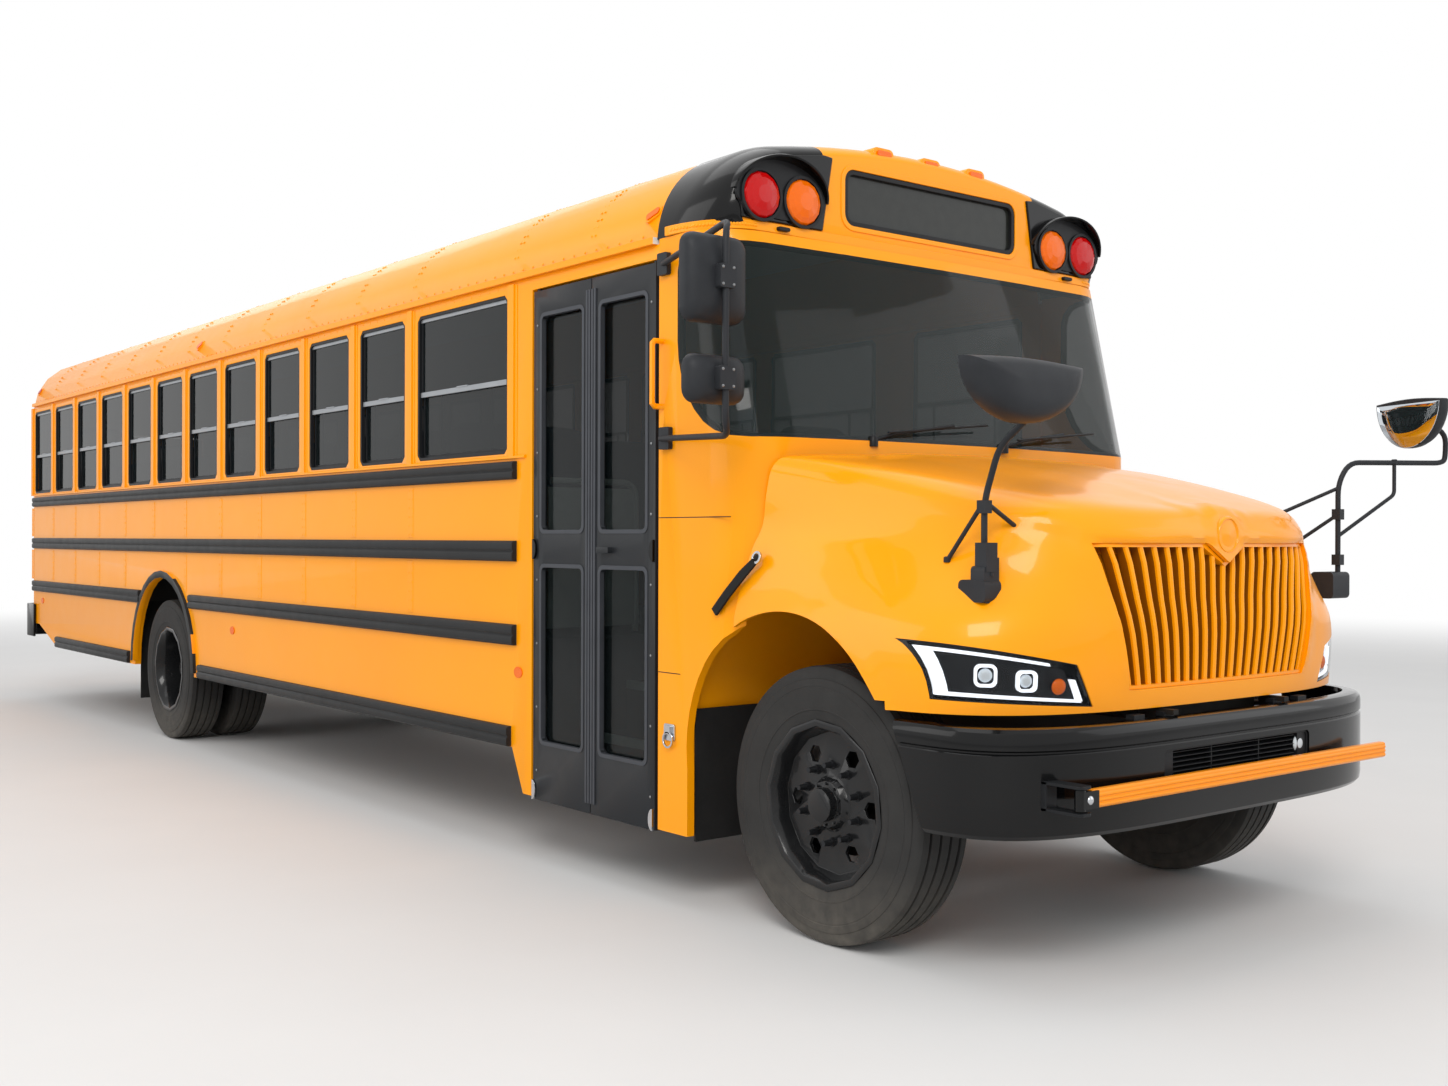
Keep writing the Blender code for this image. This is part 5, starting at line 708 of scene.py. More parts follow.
# Columns: half width, thickness
PILLAR_LAYERS = ((0.044, 0.004), (0.024, 0.011))
SUNK = 0.002
PANELS = ((1.090, 1.360), (1.482, 1.742))
PANEL_LAP = 0.030
LAP_RISE = 0.0022
ARCH_TRIM_REACH = 0.66
ARCH_TRIM_TOP_Z = 1.2
ARCH_PANEL_REACH = 0.3
SEAM_RIVETS = 6
SEAM_RIVET_OFF = 0.017
SEAM_RIVET_END = 0.015


def side_wall(name):
    """The wall with its rub rails and arch trim dark and the panels yellow."""
    bm = solid(name + "_wall")
    for face in bm.faces:
        middle = face.calc_center_median()
        out = abs(middle.x) > BODY_HALF + 0.0008
        rail = any(low - 0.004 < middle.z < top + 0.004 for low, top in RAILS)
        arch = abs(middle.y - REAR_AXLE_Y) < ARCH_TRIM_REACH and middle.z < ARCH_TRIM_TOP_Z
        if out and (rail or arch):
            face.material_index = 1
    return piece(name + "_side", bm, "body", "bus_yellow", "rail_black", stands_for=(name + "_wall",),
                 bevel=0.003)


def crosses_arch(y, z):
    return z < PANELS[1][0] and abs(y - REAR_AXLE_Y) < ARCH_PANEL_REACH


def side_dress(name, side):
    """Raised pillar strips, laps between the panels and the sill bead under the windows."""
    bm = bmesh.new()
    for y in [FIRST_PILLAR_Y] + SEAM_YS:
        for half, out in PILLAR_LAYERS:
            low, top = BELT_Z - 0.020, DRIP_Z - 0.012
            outline = [(y - half, low), (y + half, low), (y + half, top), (y - half, top)]
            plate(bm, outline, "X", span(side, BODY_HALF - SUNK, BODY_HALF + out))
    sill = [(BODY_HALF - SUNK, BELT_Z - 0.026), (BODY_HALF + 0.012, BELT_Z - 0.024),
            (BODY_HALF + 0.012, BELT_Z - 0.014), (BODY_HALF - SUNK, BELT_Z - 0.006)]
    sill_start = 1.93 if side < 0 else 0.93
    plate(bm, [(side * x, z) for x, z in sill], "Y", (sill_start, SIDE_END - 0.02))
    for y in SEAM_YS:
        for low, top in PANELS:
            if crosses_arch(y, low):
                continue
            lap = [(BODY_HALF - 0.001, y - PANEL_LAP), (BODY_HALF + LAP_RISE, y - PANEL_LAP + 0.001),
                   (BODY_HALF + LAP_RISE, y + PANEL_LAP - 0.001), (BODY_HALF - 0.001, y + PANEL_LAP)]
            plate(bm, [(side * x, at) for x, at in lap], "Z", (low, top))
    piece(name + "_pillars", bm, "body", "bus_yellow", bevel=0.0018)


def side_rivets(name, side):
    """Rivets beside each panel seam, and a row along the belt and under the drip rail."""
    way = (side, 0, 0)
    points = []
    for y in SEAM_YS:
        for k in range(SEAM_RIVETS):
            for low, top in PANELS:
                if crosses_arch(y, low):
                    continue
                low, top = low + SEAM_RIVET_END, top - SEAM_RIVET_END
                z = low + (top - low) * k / (SEAM_RIVETS - 1)
                points.append(((side * (BODY_HALF + LAP_RISE), y - SEAM_RIVET_OFF, z), way))
                points.append(((side * (BODY_HALF + LAP_RISE), y + SEAM_RIVET_OFF, z), way))
    y = 2.10
    while y < SIDE_END - 0.05:
        points.append(((side * BODY_HALF, y, BELT_Z - 0.043), way))
        points.append(((side * BODY_HALF, y, DRIP_Z - 0.022), way))
        y += RIVET_PITCH
    repeated(name + "_rivets", RIVETS, points, RIVET_R, 0.0022, "bus_yellow", "body")


WINDOW_RUBBER = 0.016
SASH = 0.020
GLASS_IN = 0.030
RUBBER_X = (1.196, 1.2175)
BEAD_X = (1.194, 1.2085)
LATCH_X = (1.1780, 1.1865)
HANDLE_X = (1.1960, 1.2120)
# Columns: foot, head, back and front of the upper and the lower sash
SASHES = ((MEETING_RAIL_Z - 0.004, WINDOW_TOP_Z - 0.012, 1.192, 1.204),
          (BELT_Z + 0.012, MEETING_RAIL_Z + 0.012, 1.181, 1.193))
LATCH_SHARES = (0.22, 0.78)


def inset_box(y, z, inset, r):
    return rounded((y[0] + inset, y[1] - inset), (z[0] + inset, z[1] - inset), r)


def side_windows(name, side):
    """Each opening with its rubber, two sashes with their panes, bright beads, latches and a handle."""
    bm = bmesh.new()
    rail_z = MEETING_RAIL_Z
    for y0, y1 in window_spans(side):
        opening = (BELT_Z, WINDOW_TOP_Z)
        outer = inset_box((y0, y1), opening, 0.001, 0.030)
        inner = inset_box((y0, y1), opening, WINDOW_RUBBER, 0.024)
        ring(bm, outer, inner, "X", span(side, *RUBBER_X), 1)
        for low, top, back, front in SASHES:
            sash = (y0 + 0.012, y1 - 0.012)
            frame_out = rounded(sash, (low, top), 0.020)
            frame_in = rounded((sash[0] + SASH, sash[1] - SASH), (low + 0.018, top - 0.018), 0.014)
            ring(bm, frame_out, frame_in, "X", span(side, back, front), 1)
            foot, head = low + WINDOW_RUBBER, top - WINDOW_RUBBER
            pane = [(y0 + GLASS_IN, foot), (y1 - GLASS_IN, foot), (y1 - GLASS_IN, head),
                    (y0 + GLASS_IN, head)]
            plate(bm, pane, "X", span(side, back + 0.004, front - 0.004), 2)
        box(bm, span(side, *BEAD_X), (y0 + 0.016, y1 - 0.016), (rail_z - 0.013, rail_z + 0.013))
        box(bm, span(side, *BEAD_X), (y0 + 0.018, y1 - 0.018), (WINDOW_TOP_Z - 0.034, WINDOW_TOP_Z - 0.014))
        for share in LATCH_SHARES:
            y = y0 + (y1 - y0) * share
            made = box(bm, span(side, *LATCH_X), (y - 0.007, y + 0.007), (BELT_Z + 0.020, rail_z - 0.010))
            for face in faces_of(made):
                face.material_index = 1
        middle = (y0 + y1) / 2
        box(bm, span(side, *HANDLE_X), (middle - 0.055, middle + 0.055), (rail_z + 0.010, rail_z + 0.017))
    return piece(name + "_glazing", bm, "body", "sash_silver", "satin_black", "window_glass",
                 stands_for=(name + "_windows",), bevel=0.0012)


for name, side in SIDES:
    side_wall(name)
    side_dress(name, side)
    side_rivets(name, side)
    side_windows(name, side)


# Roof


def roof_half(inset):
    """Half of the roof's section from the drip to the crown, as (x, z)."""
    corner = (BODY_HALF - ROOF_CORNER_R, DRIP_Z)
    r = ROOF_CORNER_R - inset
    half = arc(corner, (r, r), 0, math.degrees(ROOF_TURN), 14)
    reach = ROOF_CORNER_R - CROWN_R
    middle = (corner[0] + reach * math.cos(ROOF_TURN), corner[1] + reach * math.sin(ROOF_TURN))
    r = CROWN_R - inset
    half += arc(middle, (r, r), math.degrees(ROOF_TURN), 90, 8)[1:]
    half[-1] = (0.0, half[-1][1])
    return half


CROWN_Z = roof_half(0)[-1][1]


def roof_ring(y, out, round_low, round_top, turn):
    """One line across the front of the roof, drawn in as its corners turn."""
    points = []
    half = roof_half(-out)
    for x, z in half + [(-x, z) for x, z in half[-2::-1]]:
        rise = max(0.0, min(1.0, (z - DRIP_Z) / (CROWN_Z - DRIP_Z)))
        along = round_low[0] + (round_top[0] - round_low[0]) * rise
        across = round_low[1] + (round_top[1] - round_low[1]) * rise
        pull = across * (1 - math.cos(turn))
        aside = pull * (1 - rise) / BODY_HALF
        points.append((x * (1 - aside), y + along * (1 - math.sin(turn)), z - pull * rise))
    return points


REAR_BOW = 0.20
SIDE_COVE = 0.1


def roof():
    """White along the top, yellow on the sides and the rear bow, dark behind the bow."""
    bm = solid("roof")
    for face in bm.faces:
        middle = face.calc_center_median()
        end = middle.y > BODY_REAR - REAR_BOW
        if abs(middle.x) > WHITE_HALF or end or middle.z < DRIP_Z + SIDE_COVE:
            face.material_index = 1
        if middle.y > BODY_REAR + 0.001:
            face.material_index = 2
    return piece("roof_shell", bm, "body", "roof_white", "bus_yellow", "gasket_black", stands_for=("roof",),
                 angle=30)


roof()


# Hood, drawn on the same levels as the solid but finer, with its creases, brow and shield


HOOD_ROUND = 3.4
BUMPER_ROUND = 4.0
HOOD_FALL = 1.3
# Columns: rear height, front height, half width, taper, rear end, corner start, front end, as shares
HOOD_LEVELS = (
    (0.000, 0.000, 0.990, 0.00, 0.000, 0.410, 0.989),
    (0.175, 0.153, 1.000, 0.00, 0.000, 0.410, 0.996),
    (0.350, 0.295, 0.994, 0.02, 0.000, 0.410, 1.000),
    (0.492, 0.404, 0.974, 0.09, 0.015, 0.420, 0.996),
    (0.601, 0.481, 0.953, 0.15, 0.030, 0.460, 0.996),
    (0.694, 0.546, 0.932, 0.19, 0.050, 0.522, 0.996),
    (0.831, 0.607, 0.928, 0.25, 0.062, 0.580, 0.992),
    (0.951, 0.678, 0.908, 0.28, 0.078, 0.634, 0.990),
    (0.984, 0.738, 0.830, 0.33, 0.115, 0.670, 0.970),
    (0.995, 0.765, 0.460, 0.18, 0.178, 0.670, 0.925),
    (1.000, 0.776, 0.000, 0.00, 0.202, 0.670, 0.870),
)
CREASES = (0, 3, 10)
FINE_STEPS = 160
PROBE_Y = -2.0
PROBE_NEAR_Y = -0.6
PROBE_STEP = 0.012


def between(levels, creases, steps):
    """More levels by a smooth curve through the given ones, broken at each crease."""
    made = []
    for start, end in zip(creases, creases[1:]):
        for k in range(start, end):
            near = [levels[max(start, min(end, k + n))] for n in (-1, 0, 1, 2)]
            for n in range(steps):
                t = n / steps
                row = []
                for a, b, c, d in zip(*near):
                    row.append(0.5 * (2 * b + (c - a) * t + (2 * a - 5 * b + 4 * c - d) * t * t
                                      + (3 * b - a - 3 * c + d) * t * t * t))
                made.append(tuple(row))
    return made + [levels[-1]]


def u_line(half, taper, rear, corner, front, law, count):
    """A U in plan from +X round the front to -X, with its points evenly spaced."""
    fine = [(half, rear)]
    for k in range(FINE_STEPS + 1):
        angle = math.pi / 2 * k / FINE_STEPS
        y = corner + (front - corner) * math.sin(angle) ** (2 / law)
        fine.append(((half - taper * (rear - y)) * max(math.cos(angle), 0.0) ** (2 / law), y))
    fine[-1] = (0.0, front)
    at = [0.0]
    for one, two in zip(fine, fine[1:]):
        at.append(at[-1] + math.dist(one, two))
    points = []
    k = 0
    for n in range(count + 1):
        goal = at[-1] * n / count
        while k < len(fine) - 2 and at[k + 1] < goal:
            k += 1
        t = min(1.0, (goal - at[k]) / max(at[k + 1] - at[k], 1e-9))
        points.append(tuple(a + (b - a) * t for a, b in zip(fine[k], fine[k + 1])))
    points[-1] = (0.0, front)
    return points + [(-x, y) for x, y in points[-2::-1]]


def hood_rows(steps=4, count=60):
    length = HOOD_REAR - HOOD_FRONT
    rise = HOOD_TOP - HOOD_BOTTOM
    rows = []
    for back_z, front_z, half, taper, rear, corner, front in between(HOOD_LEVELS, CREASES, steps):
        ends = [HOOD_REAR - length * share for share in (rear, corner, front)]
        row = []
        for x, y in u_line(max(half, 0.0) * HOOD_HALF, taper, *ends, HOOD_ROUND, count):
            share = max(0.0, (ends[0] - y) / (ends[0] - ends[2])) ** HOOD_FALL
            row.append((x, y, HOOD_BOTTOM + rise * (back_z + (front_z - back_z) * share)))
        rows.append(row)
    return rows


def tree_of(rows):
    bm = bmesh.new()
    skin(bm, rows)
    made = BVHTree.FromBMesh(bm)
    bm.free()
    return made


NOSE = tree_of(hood_rows())


def nose_y(x, z):
    """The hood's front face behind a place seen from the front."""
    hit = NOSE.ray_cast(Vector((x, PROBE_Y, z)), WAY_BACK)
    if hit[0] is None:
        near = NOSE.find_nearest(Vector((x, PROBE_NEAR_Y, z)))
        return near[0].y
    return hit[0].y


def nose_way(x, z):
    """The way the hood's front faces at a place seen from the front."""
    e = PROBE_STEP
    across = Vector((2 * e, nose_y(x + e, z) - nose_y(x - e, z), 0))
    up = Vector((0, nose_y(x, z + e) - nose_y(x, z - e), 2 * e))
    way = across.cross(up).normalized()
    return way if way.y < 0 else -way


def step(value, low, high):
    """0 below low, 1 above high and a smooth rise between them."""
    t = max(0.0, min(1.0, (value - low) / (high - low)))
    return t * t * (3 - 2 * t)


GRILLE_Z = (0.968, 1.470)
GRILLE_HALF = (0.545, 0.668)
GRILLE_NOTCH = (0.115, 1.400)
GRILLE_RIM = 0.014
SLATS = 19
SLAT_LEVELS = 8
# Columns: across the slat, behind the hood's face
SLAT_SECTION = ((-0.0116, 0.050), (-0.0118, 0.018), (-0.0100, 0.010), (-0.0050, 0.006), (0.0, 0.0050),
                (0.0050, 0.006), (0.0100, 0.010), (0.0118, 0.018), (0.0116, 0.050))
BACK_DEPTH = 0.052
BACK_PANELS = 12
BADGE_Z = 1.500
# Columns: radius, behind the disc's face
BADGE_PROFILE = ((0.068, 0.016), (0.068, 0.0), (0.064, -0.006), (0.059, -0.006), (0.056, -0.001),
                 (0.0005, -0.006))
BADGE_OUT = 0.012
LAMP_QUAD = ((1.160, 0.948), (1.190, 1.146), (0.778, 1.064), (0.705, 0.920))


def grille_outline(inset):
    low, top = GRILLE_Z[0] + inset, GRILLE_Z[1] - inset
    foot, head = GRILLE_HALF[0] - inset, GRILLE_HALF[1] - inset
    notch, notch_z = GRILLE_NOTCH[0] + inset, GRILLE_NOTCH[1] - inset
    return [(-foot, low), (foot, low), (head, top), (notch, top), (0, notch_z), (-notch, top), (-head, top)]


def resampled(outline, size):
    """An outline with its sides cut into short steps."""
    points = []
    for one, two in zip(outline, outline[1:] + outline[:1]):
        count = max(1, round(math.dist(one, two) / size))
        points += [tuple(a + (b - a) * k / count for a, b in zip(one, two)) for k in range(count)]
    return points


# Raised forms of the hood: half width, half height and middle of the shield, then what each stands out by
SHIELD = (0.120, 0.115, 1.495)
SHIELD_RISE = 0.014
BROW_RISE = 0.013
SIDE_BROW_RISE = 0.010
SIDE_BROW_LEAN = 0.24
DOME_RISE = 0.009
FLARE_RISE = 0.010
FLARE_LIMIT = 0.006
NOSE_DEEP_Y = -0.30
PAST_SIDE = 0.06
SHELL_THICK = 0.018
HOOD_SHARP = 38


def rise_at(x, y, z):
    """How far the hood stands out from its plain form: shield, brow, crowned middle and fender flare."""
    front = step(-y, 0.55, 0.85)
    inside = 1 - (x / SHIELD[0]) ** 2 - ((z - SHIELD[2]) / SHIELD[1]) ** 2
    shield = SHIELD_RISE * step(inside, 0.0, 0.22) * front
    brow = BROW_RISE * step(z, GRILLE_Z[1], GRILLE_Z[1] + 0.006) * (1 - step(z, 1.493, 1.550))
    brow *= (1 - step(abs(x), 0.66, 0.74)) * front
    beside = abs(abs(x) - 0.675 + (GRILLE_Z[1] - z) * SIDE_BROW_LEAN)
    side_brow = SIDE_BROW_RISE * (1 - step(beside, 0.018, 0.050)) * front
    side_brow *= step(z, 0.960, 1.02) * (1 - step(z, GRILLE_Z[1], 1.52))
    edge = 0.60 - 0.42 * step(-y, -0.30, 0.86)
    dome = DOME_RISE * (1 - step(abs(x), edge - 0.022, edge + 0.022)) * step(z, 1.52, 1.60)
    from_arch = abs(math.hypot(y - ARCH_CENTRE[0], z - ARCH_CENTRE[1]) - ARCH_R)
    flare = FLARE_RISE * (1 - step(from_arch, 0.02, 0.055)) * step(abs(x), 0.95, 1.10)
    return max(shield, brow, side_brow) + dome + min(flare, FLARE_LIMIT + max(0.0, HOOD_HALF - abs(x)))


def thickened(obj, thick):
    """Gives a drawn sheet its wall, inwards."""
    shell = obj.modifiers.new("shell", "SOLIDIFY")
    shell.thickness = thick
    shell.offset = -1


def hood():
    """The tilting shell with its openings for the grille, the headlights and the wheels."""
    bm = bmesh.new()
    skin(bm, hood_rows())
    bmesh.ops.remove_doubles(bm, verts=bm.verts, dist=WELD)
    bmesh.ops.recalc_face_normals(bm, faces=bm.faces)
    bm.normal_update()
    tip = max(bm.verts, key=lambda v: v.co.z)
    flip = 1 if tip.normal.z > 0 else -1
    moves = [(v, v.normal * flip * rise_at(*v.co)) for v in bm.verts]
    for v, move in moves:
        v.co += move
    obj = piece("hood_shell", bm, "hood_assembly", "hood_yellow", stands_for=("hood",), angle=40)
    thickened(obj, SHELL_THICK)
    outlines = [grille_outline(0)] + [[(side * x, z) for x, z in LAMP_QUAD] for side in (-1, 1)]
    for outline in outlines:
        tool = bmesh.new()
        plate(tool, outline, "Y", (HOOD_FRONT - PAST_SIDE, NOSE_DEEP_Y))
        cut(obj, tool)
    across = (-BODY_HALF - PAST_SIDE, BODY_HALF + PAST_SIDE)
    tool = bmesh.new()
    plate(tool, circle(ARCH_CENTRE, ARCH_R, 96), "X", across)
    cut(obj, tool)
    tool = bmesh.new()
    box(tool, across, (-0.40, HOOD_REAR + PAST_SIDE), (0.0, 0.93))
    cut(obj, tool)
    obj.data.shade_smooth()
    obj.data.set_sharp_from_angle(angle=math.radians(HOOD_SHARP))


def lips(loop_a, loop_b, finish, bm):
    """A band between two loops of points."""
    one = [bm.verts.new(p) for p in loop_a]
    two = [bm.verts.new(p) for p in loop_b]
    for k in range(len(one)):
        n = (k + 1) % len(one)
        bm.faces.new((one[k], one[n], two[n], two[k])).material_index = finish


def on_nose(x, z, depth):
    return (x, nose_y(x, z) + depth, z)


def grille_half(z):
    share = (z - GRILLE_Z[0]) / (GRILLE_Z[1] - GRILLE_Z[0])
    return GRILLE_HALF[0] + (GRILLE_HALF[1] - GRILLE_HALF[0]) * share


def grille_rim(bm):
    outer = resampled(grille_outline(0.0006), 0.02)
    ring_in = resampled(grille_outline(GRILLE_RIM), 0.02)
    inner = [min(ring_in, key=lambda p: (p[0] - x) ** 2 + (p[1] - z) ** 2) for x, z in outer]
    loops = []
    for line, depth in ((outer, 0.034), (outer, 0.006), (inner, 0.004), (inner, 0.034)):
        loops.append([on_nose(x, z, depth) for x, z in line])
    for one, two in zip(loops, loops[1:] + loops[:1]):
        lips(one, two, 0, bm)


def slat(bm, middle):
    """One upright slat at a share of the grille's half width, its deep flanks painted darker as painted
    shade.
    """
    rise = GRILLE_Z[1] - GRILLE_NOTCH[1]
    low = GRILLE_Z[0] + 0.008
    lean = abs(middle) * GRILLE_HALF[1] / GRILLE_NOTCH[0]
    top = GRILLE_NOTCH[1] + rise * min(lean, 1) - 0.010
    rows = []
    for n in range(SLAT_LEVELS + 1):
        z = low + (top - low) * n / SLAT_LEVELS
        reach = middle * grille_half(z)
        y = nose_y(reach, z)
        rows.append([(reach + dx, y + dy, z) for dx, dy in SLAT_SECTION])
    lines = skin(bm, rows, closed=True)
    bm.faces.new(lines[0])
    bm.faces.new(lines[-1][::-1])
    # The deep flanks and backs of the slat take the second finish, a painted shade
    for line in lines:
        for face in faces_of((line[0], line[-1])):
            face.material_index = 1


def grille_back(bm):
    # The sheet behind the slats takes the darker painted shade finish, standing for the shade deep in the
    # grille
    for k in range(BACK_PANELS):
        spans = []
        for share in (k / BACK_PANELS, (k + 1) / BACK_PANELS):
            x = -1 + 2 * share
            for z in (GRILLE_Z[0], 1.20, GRILLE_NOTCH[1] + 0.03):
                spans.append(on_nose(x * grille_half(z), z, BACK_DEPTH))
        for n in (0, 1):
            verts = [bm.verts.new(spans[i]) for i in (n, n + 1, n + 4, n + 3)]
            bm.faces.new(verts).material_index = 1


def grille():
    """Frame, upright slats that lean outwards, and a sheet behind them, the sheet and the slats' deep flanks
    in painted shade.
    """
    bm = bmesh.new()
    grille_rim(bm)
    for k in range(SLATS + 2):
        slat(bm, (2 * k - SLATS - 1) / (SLATS + 1.4))
    grille_back(bm)
    bmesh.ops.remove_doubles(bm, verts=bm.verts, dist=WELD)
    # The second finish is painted shade for the slat flanks and the back sheet
    piece("grille_slats", bm, "hood_assembly", "hood_yellow", "grille_painted_shade", stands_for=("grille",), angle=35)


def nose_disc():
    """A plain raised disc on the shield."""
    bm = bmesh.new()
    y = nose_y(0, BADGE_Z) - BADGE_OUT
    rows = []
    for radius, depth in BADGE_PROFILE:
        rows.append([(x, y + depth, z) for x, z in circle((0, BADGE_Z), radius, 40)])
    skin(bm, rows, closed=True)
    piece("plain_disc", bm, "hood_assembly", "hood_yellow", angle=35)


def quad_at(quad, u, v):
    (ax, az), (bx, bz), (cx, cz), (dx, dz) = quad
    low = (ax + (dx - ax) * u, az + (dz - az) * u)
    top = (bx + (cx - bx) * u, bz + (cz - bz) * u)
    return (low[0] + (top[0] - low[0]) * v, low[1] + (top[1] - low[1]) * v)


def patch(bm, side, quad, u, v, depths, finish, counts=(10, 4)):
    """A closed piece of the lamp between two depths behind the nose, over a share of its outline."""
    sheets = []
    for depth in depths:
        rows = []
        for i in range(counts[0] + 1):
            row = []
            for j in range(counts[1] + 1):
                x, z = quad_at(quad, u[0] + (u[1] - u[0]) * i / counts[0],
                               v[0] + (v[1] - v[0]) * j / counts[1])
                px, py, pz = on_nose(side * x, z, depth)
                row.append(bm.verts.new((px, py, pz)))
            rows.append(row)
        sheets.append(rows)
    front, back = sheets
    n, m = counts
    for i in range(n):
        for j in range(m):
            for rows in sheets:
                bm.faces.new((rows[i][j], rows[i + 1][j], rows[i + 1][j + 1],
                              rows[i][j + 1])).material_index = finish
    rim = [(i, 0) for i in range(n)] + [(n, j) for j in range(m)] + [(i, m) for i in range(n, 0, -1)]
    rim += [(0, j) for j in range(m, 0, -1)]
    for (i, j), (k, l) in zip(rim, rim[1:] + rim[:1]):
        bm.faces.new((front[i][j], front[k][l], back[k][l], back[i][j])).material_index = finish


def facing(bm, start, at, way):
    """Turns what was drawn since a vertex count from facing -Y at the origin to a place and a way."""
    verts = list(bm.verts)[start:]
    turn = WAY_FORWARD.rotation_difference(way).to_matrix().to_4x4()
    bmesh.ops.transform(bm, matrix=Matrix.Translation(at) @ turn, verts=verts)


def lens(bm, radius, rise, finish, back=0.0, steps=32, facets=7):
    """A round lens that faces -Y, with its centre at the origin."""
    rows = []
    for k in range(facets):
        angle = math.pi / 2 * k / (facets - 0.98)
        r = radius * math.cos(angle)
        rows.append([(x, back - rise * math.sin(angle), z) for x, z in circle((0, 0), r, steps)])
    lines = skin(bm, rows, closed=True, finish=finish)
    bm.faces.new(lines[-1]).material_index = finish
    bm.faces.new(lines[0][::-1]).material_index = finish


# Shares of the lamp's outline: the rim, then the white light strips, then the two square lenses
LAMP_RIM_SHARES = (((0.002, 0.998), (0.004, 0.030)), ((0.002, 0.998), (0.970, 0.996)),
                   ((0.002, 0.016), (0.03, 0.97)), ((0.984, 0.998), (0.03, 0.97)))
STRIP_SHARES = (((0.030, 0.075), (0.10, 0.90)), ((0.030, 0.930), (0.085, 0.155)),
                ((0.030, 0.760), (0.850, 0.915)), ((0.900, 0.945), (0.12, 0.62)))
PANEL_SHARES = ((0.10, 0.90), (0.18, 0.83))
COVER_SHARES = ((0.004, 0.996), (0.008, 0.992))
# Columns: place by shares, half size
SQUARE_LENSES = ((0.285, 0.50, 0.038), (0.545, 0.47, 0.036))
SQUARE_INNER = 0.74
AMBER_SHARES = (0.79, 0.42)
AMBER_R = 0.027


def headlight(name, side):
    """Housing, white light strips, two square lenses and an amber one behind a clear cover."""
    bm = bmesh.new()
    patch(bm, side, LAMP_QUAD, (0.002, 0.998), (0.004, 0.996), (0.060, 0.066), 0, (16, 6))
    for u, v in LAMP_RIM_SHARES:
        patch(bm, side, LAMP_QUAD, u, v, (0.004, 0.062), 0, (16, 4))
    for u, v in STRIP_SHARES:
        patch(bm, side, LAMP_QUAD, u, v, (0.012, 0.024), 1, (16, 4))
    patch(bm, side, LAMP_QUAD, *PANEL_SHARES, (0.030, 0.061), 5, (14, 4))
    for u, v, r in SQUARE_LENSES:
        x, z = quad_at(LAMP_QUAD, u, v)
        start = len(bm.verts)
        outer = rounded((-r, r), (-r, r), r * 0.55)
        inner_r = r * SQUARE_INNER
        inner = rounded((-inner_r, inner_r), (-inner_r, inner_r), r * 0.42)
        ring(bm, outer, inner, "Y", (-0.010, 0.012), 1)
        lens(bm, r * 0.62, 0.012, 3, 0.006)
        facing(bm, start, on_nose(side * x, z, 0.024), nose_way(side * x, z))
    x, z = quad_at(LAMP_QUAD, *AMBER_SHARES)
    start = len(bm.verts)
    lens(bm, AMBER_R, 0.012, 4)
    facing(bm, start, on_nose(side * x, z, 0.022), nose_way(side * x, z))
    bmesh.ops.recalc_face_normals(bm, faces=bm.faces)
    piece(name + "_lamp", bm, "hood_assembly", "lamp_housing", "light_strip", "chrome", "clear_lens",
          "amber_lens", "satin_black", stands_for=(name + "_headlight",), angle=35)
    bm = bmesh.new()
    patch(bm, side, LAMP_QUAD, *COVER_SHARES, (0.0005, 0.0035), 0, (20, 8))
    piece(name + "_lamp_cover", bm, "hood_assembly", "lamp_cover", angle=40)


hood()
grille()
nose_disc()
for name, side in SIDES:
    headlight(name, side)


# Front bumper and crossing gate


BUMPER_HALF = 1.200
BUMPER_FRONT = -1.000
BUMPER_SLOT = ((-0.46, 0.46), (0.665, 0.765))
BUMPER_SLOT_CUT_Y = (-1.06, -0.95)
# Columns: inset, height
BUMPER_PROFILE = ((0.036, 0.505), (0.014, 0.508), (0.003, 0.522), (0.0, 0.545), (0.0, 0.640), (0.0, 0.782),
                  (0.0055, 0.788), (0.0055, 0.793), (0.0, 0.799), (0.0, 0.838), (0.004, 0.855),
                  (0.014, 0.866), (0.030, 0.870), (0.060, 0.8695))
GATE_PIVOT = (-0.970, -1.040)
GATE_TIP = 0.920
GATE_Z = (0.625, 0.685)
GATE_HALF = 0.017
GATE_KNUCKLE_R = 0.018
GATE_RIDGES = 3
GATE_RIDGE_PITCH = 0.0155
BUMPER_SIDE = (-0.34, -0.40)
BUMPER_CUT = ((-0.400, 0.93), (-0.600, 0.445), (0, 0.445), (0, 0.93))
AIR_SLATS = 5
AIR_SLAT_PITCH = 0.0168
TOW_BRACKETS = (0.345, 0.515)


def front_bumper():
    """The wrapped bumper shell with its rolled top edge and a slot for air."""
    bm = bmesh.new()
    rows = []
    for inset, z in BUMPER_PROFILE:
        line = u_line(BUMPER_HALF - inset, 0, *BUMPER_SIDE, BUMPER_FRONT + inset, BUMPER_ROUND, 44)
        rows.append([(x, y, z) for x, y in line])
    skin(bm, rows)
    bmesh.ops.recalc_face_normals(bm, faces=bm.faces)
    obj = piece("bumper_shell", bm, "body", "gloss_black", "satin_black", stands_for=("front_bumper",),
                angle=35)
    thickened(obj, SHELL_THICK)
    tool = bmesh.new()
    plate(tool, BUMPER_CUT, "X", (-BUMPER_HALF - PAST_SIDE, BUMPER_HALF + PAST_SIDE))
    cut(obj, tool)
    tool = bmesh.new()
    plate(tool, rounded(*BUMPER_SLOT, 0.022), "Y", BUMPER_SLOT_CUT_Y)
    cut(obj, tool)
    obj.data.shade_smooth()
    obj.data.set_sharp_from_angle(angle=math.radians(30))


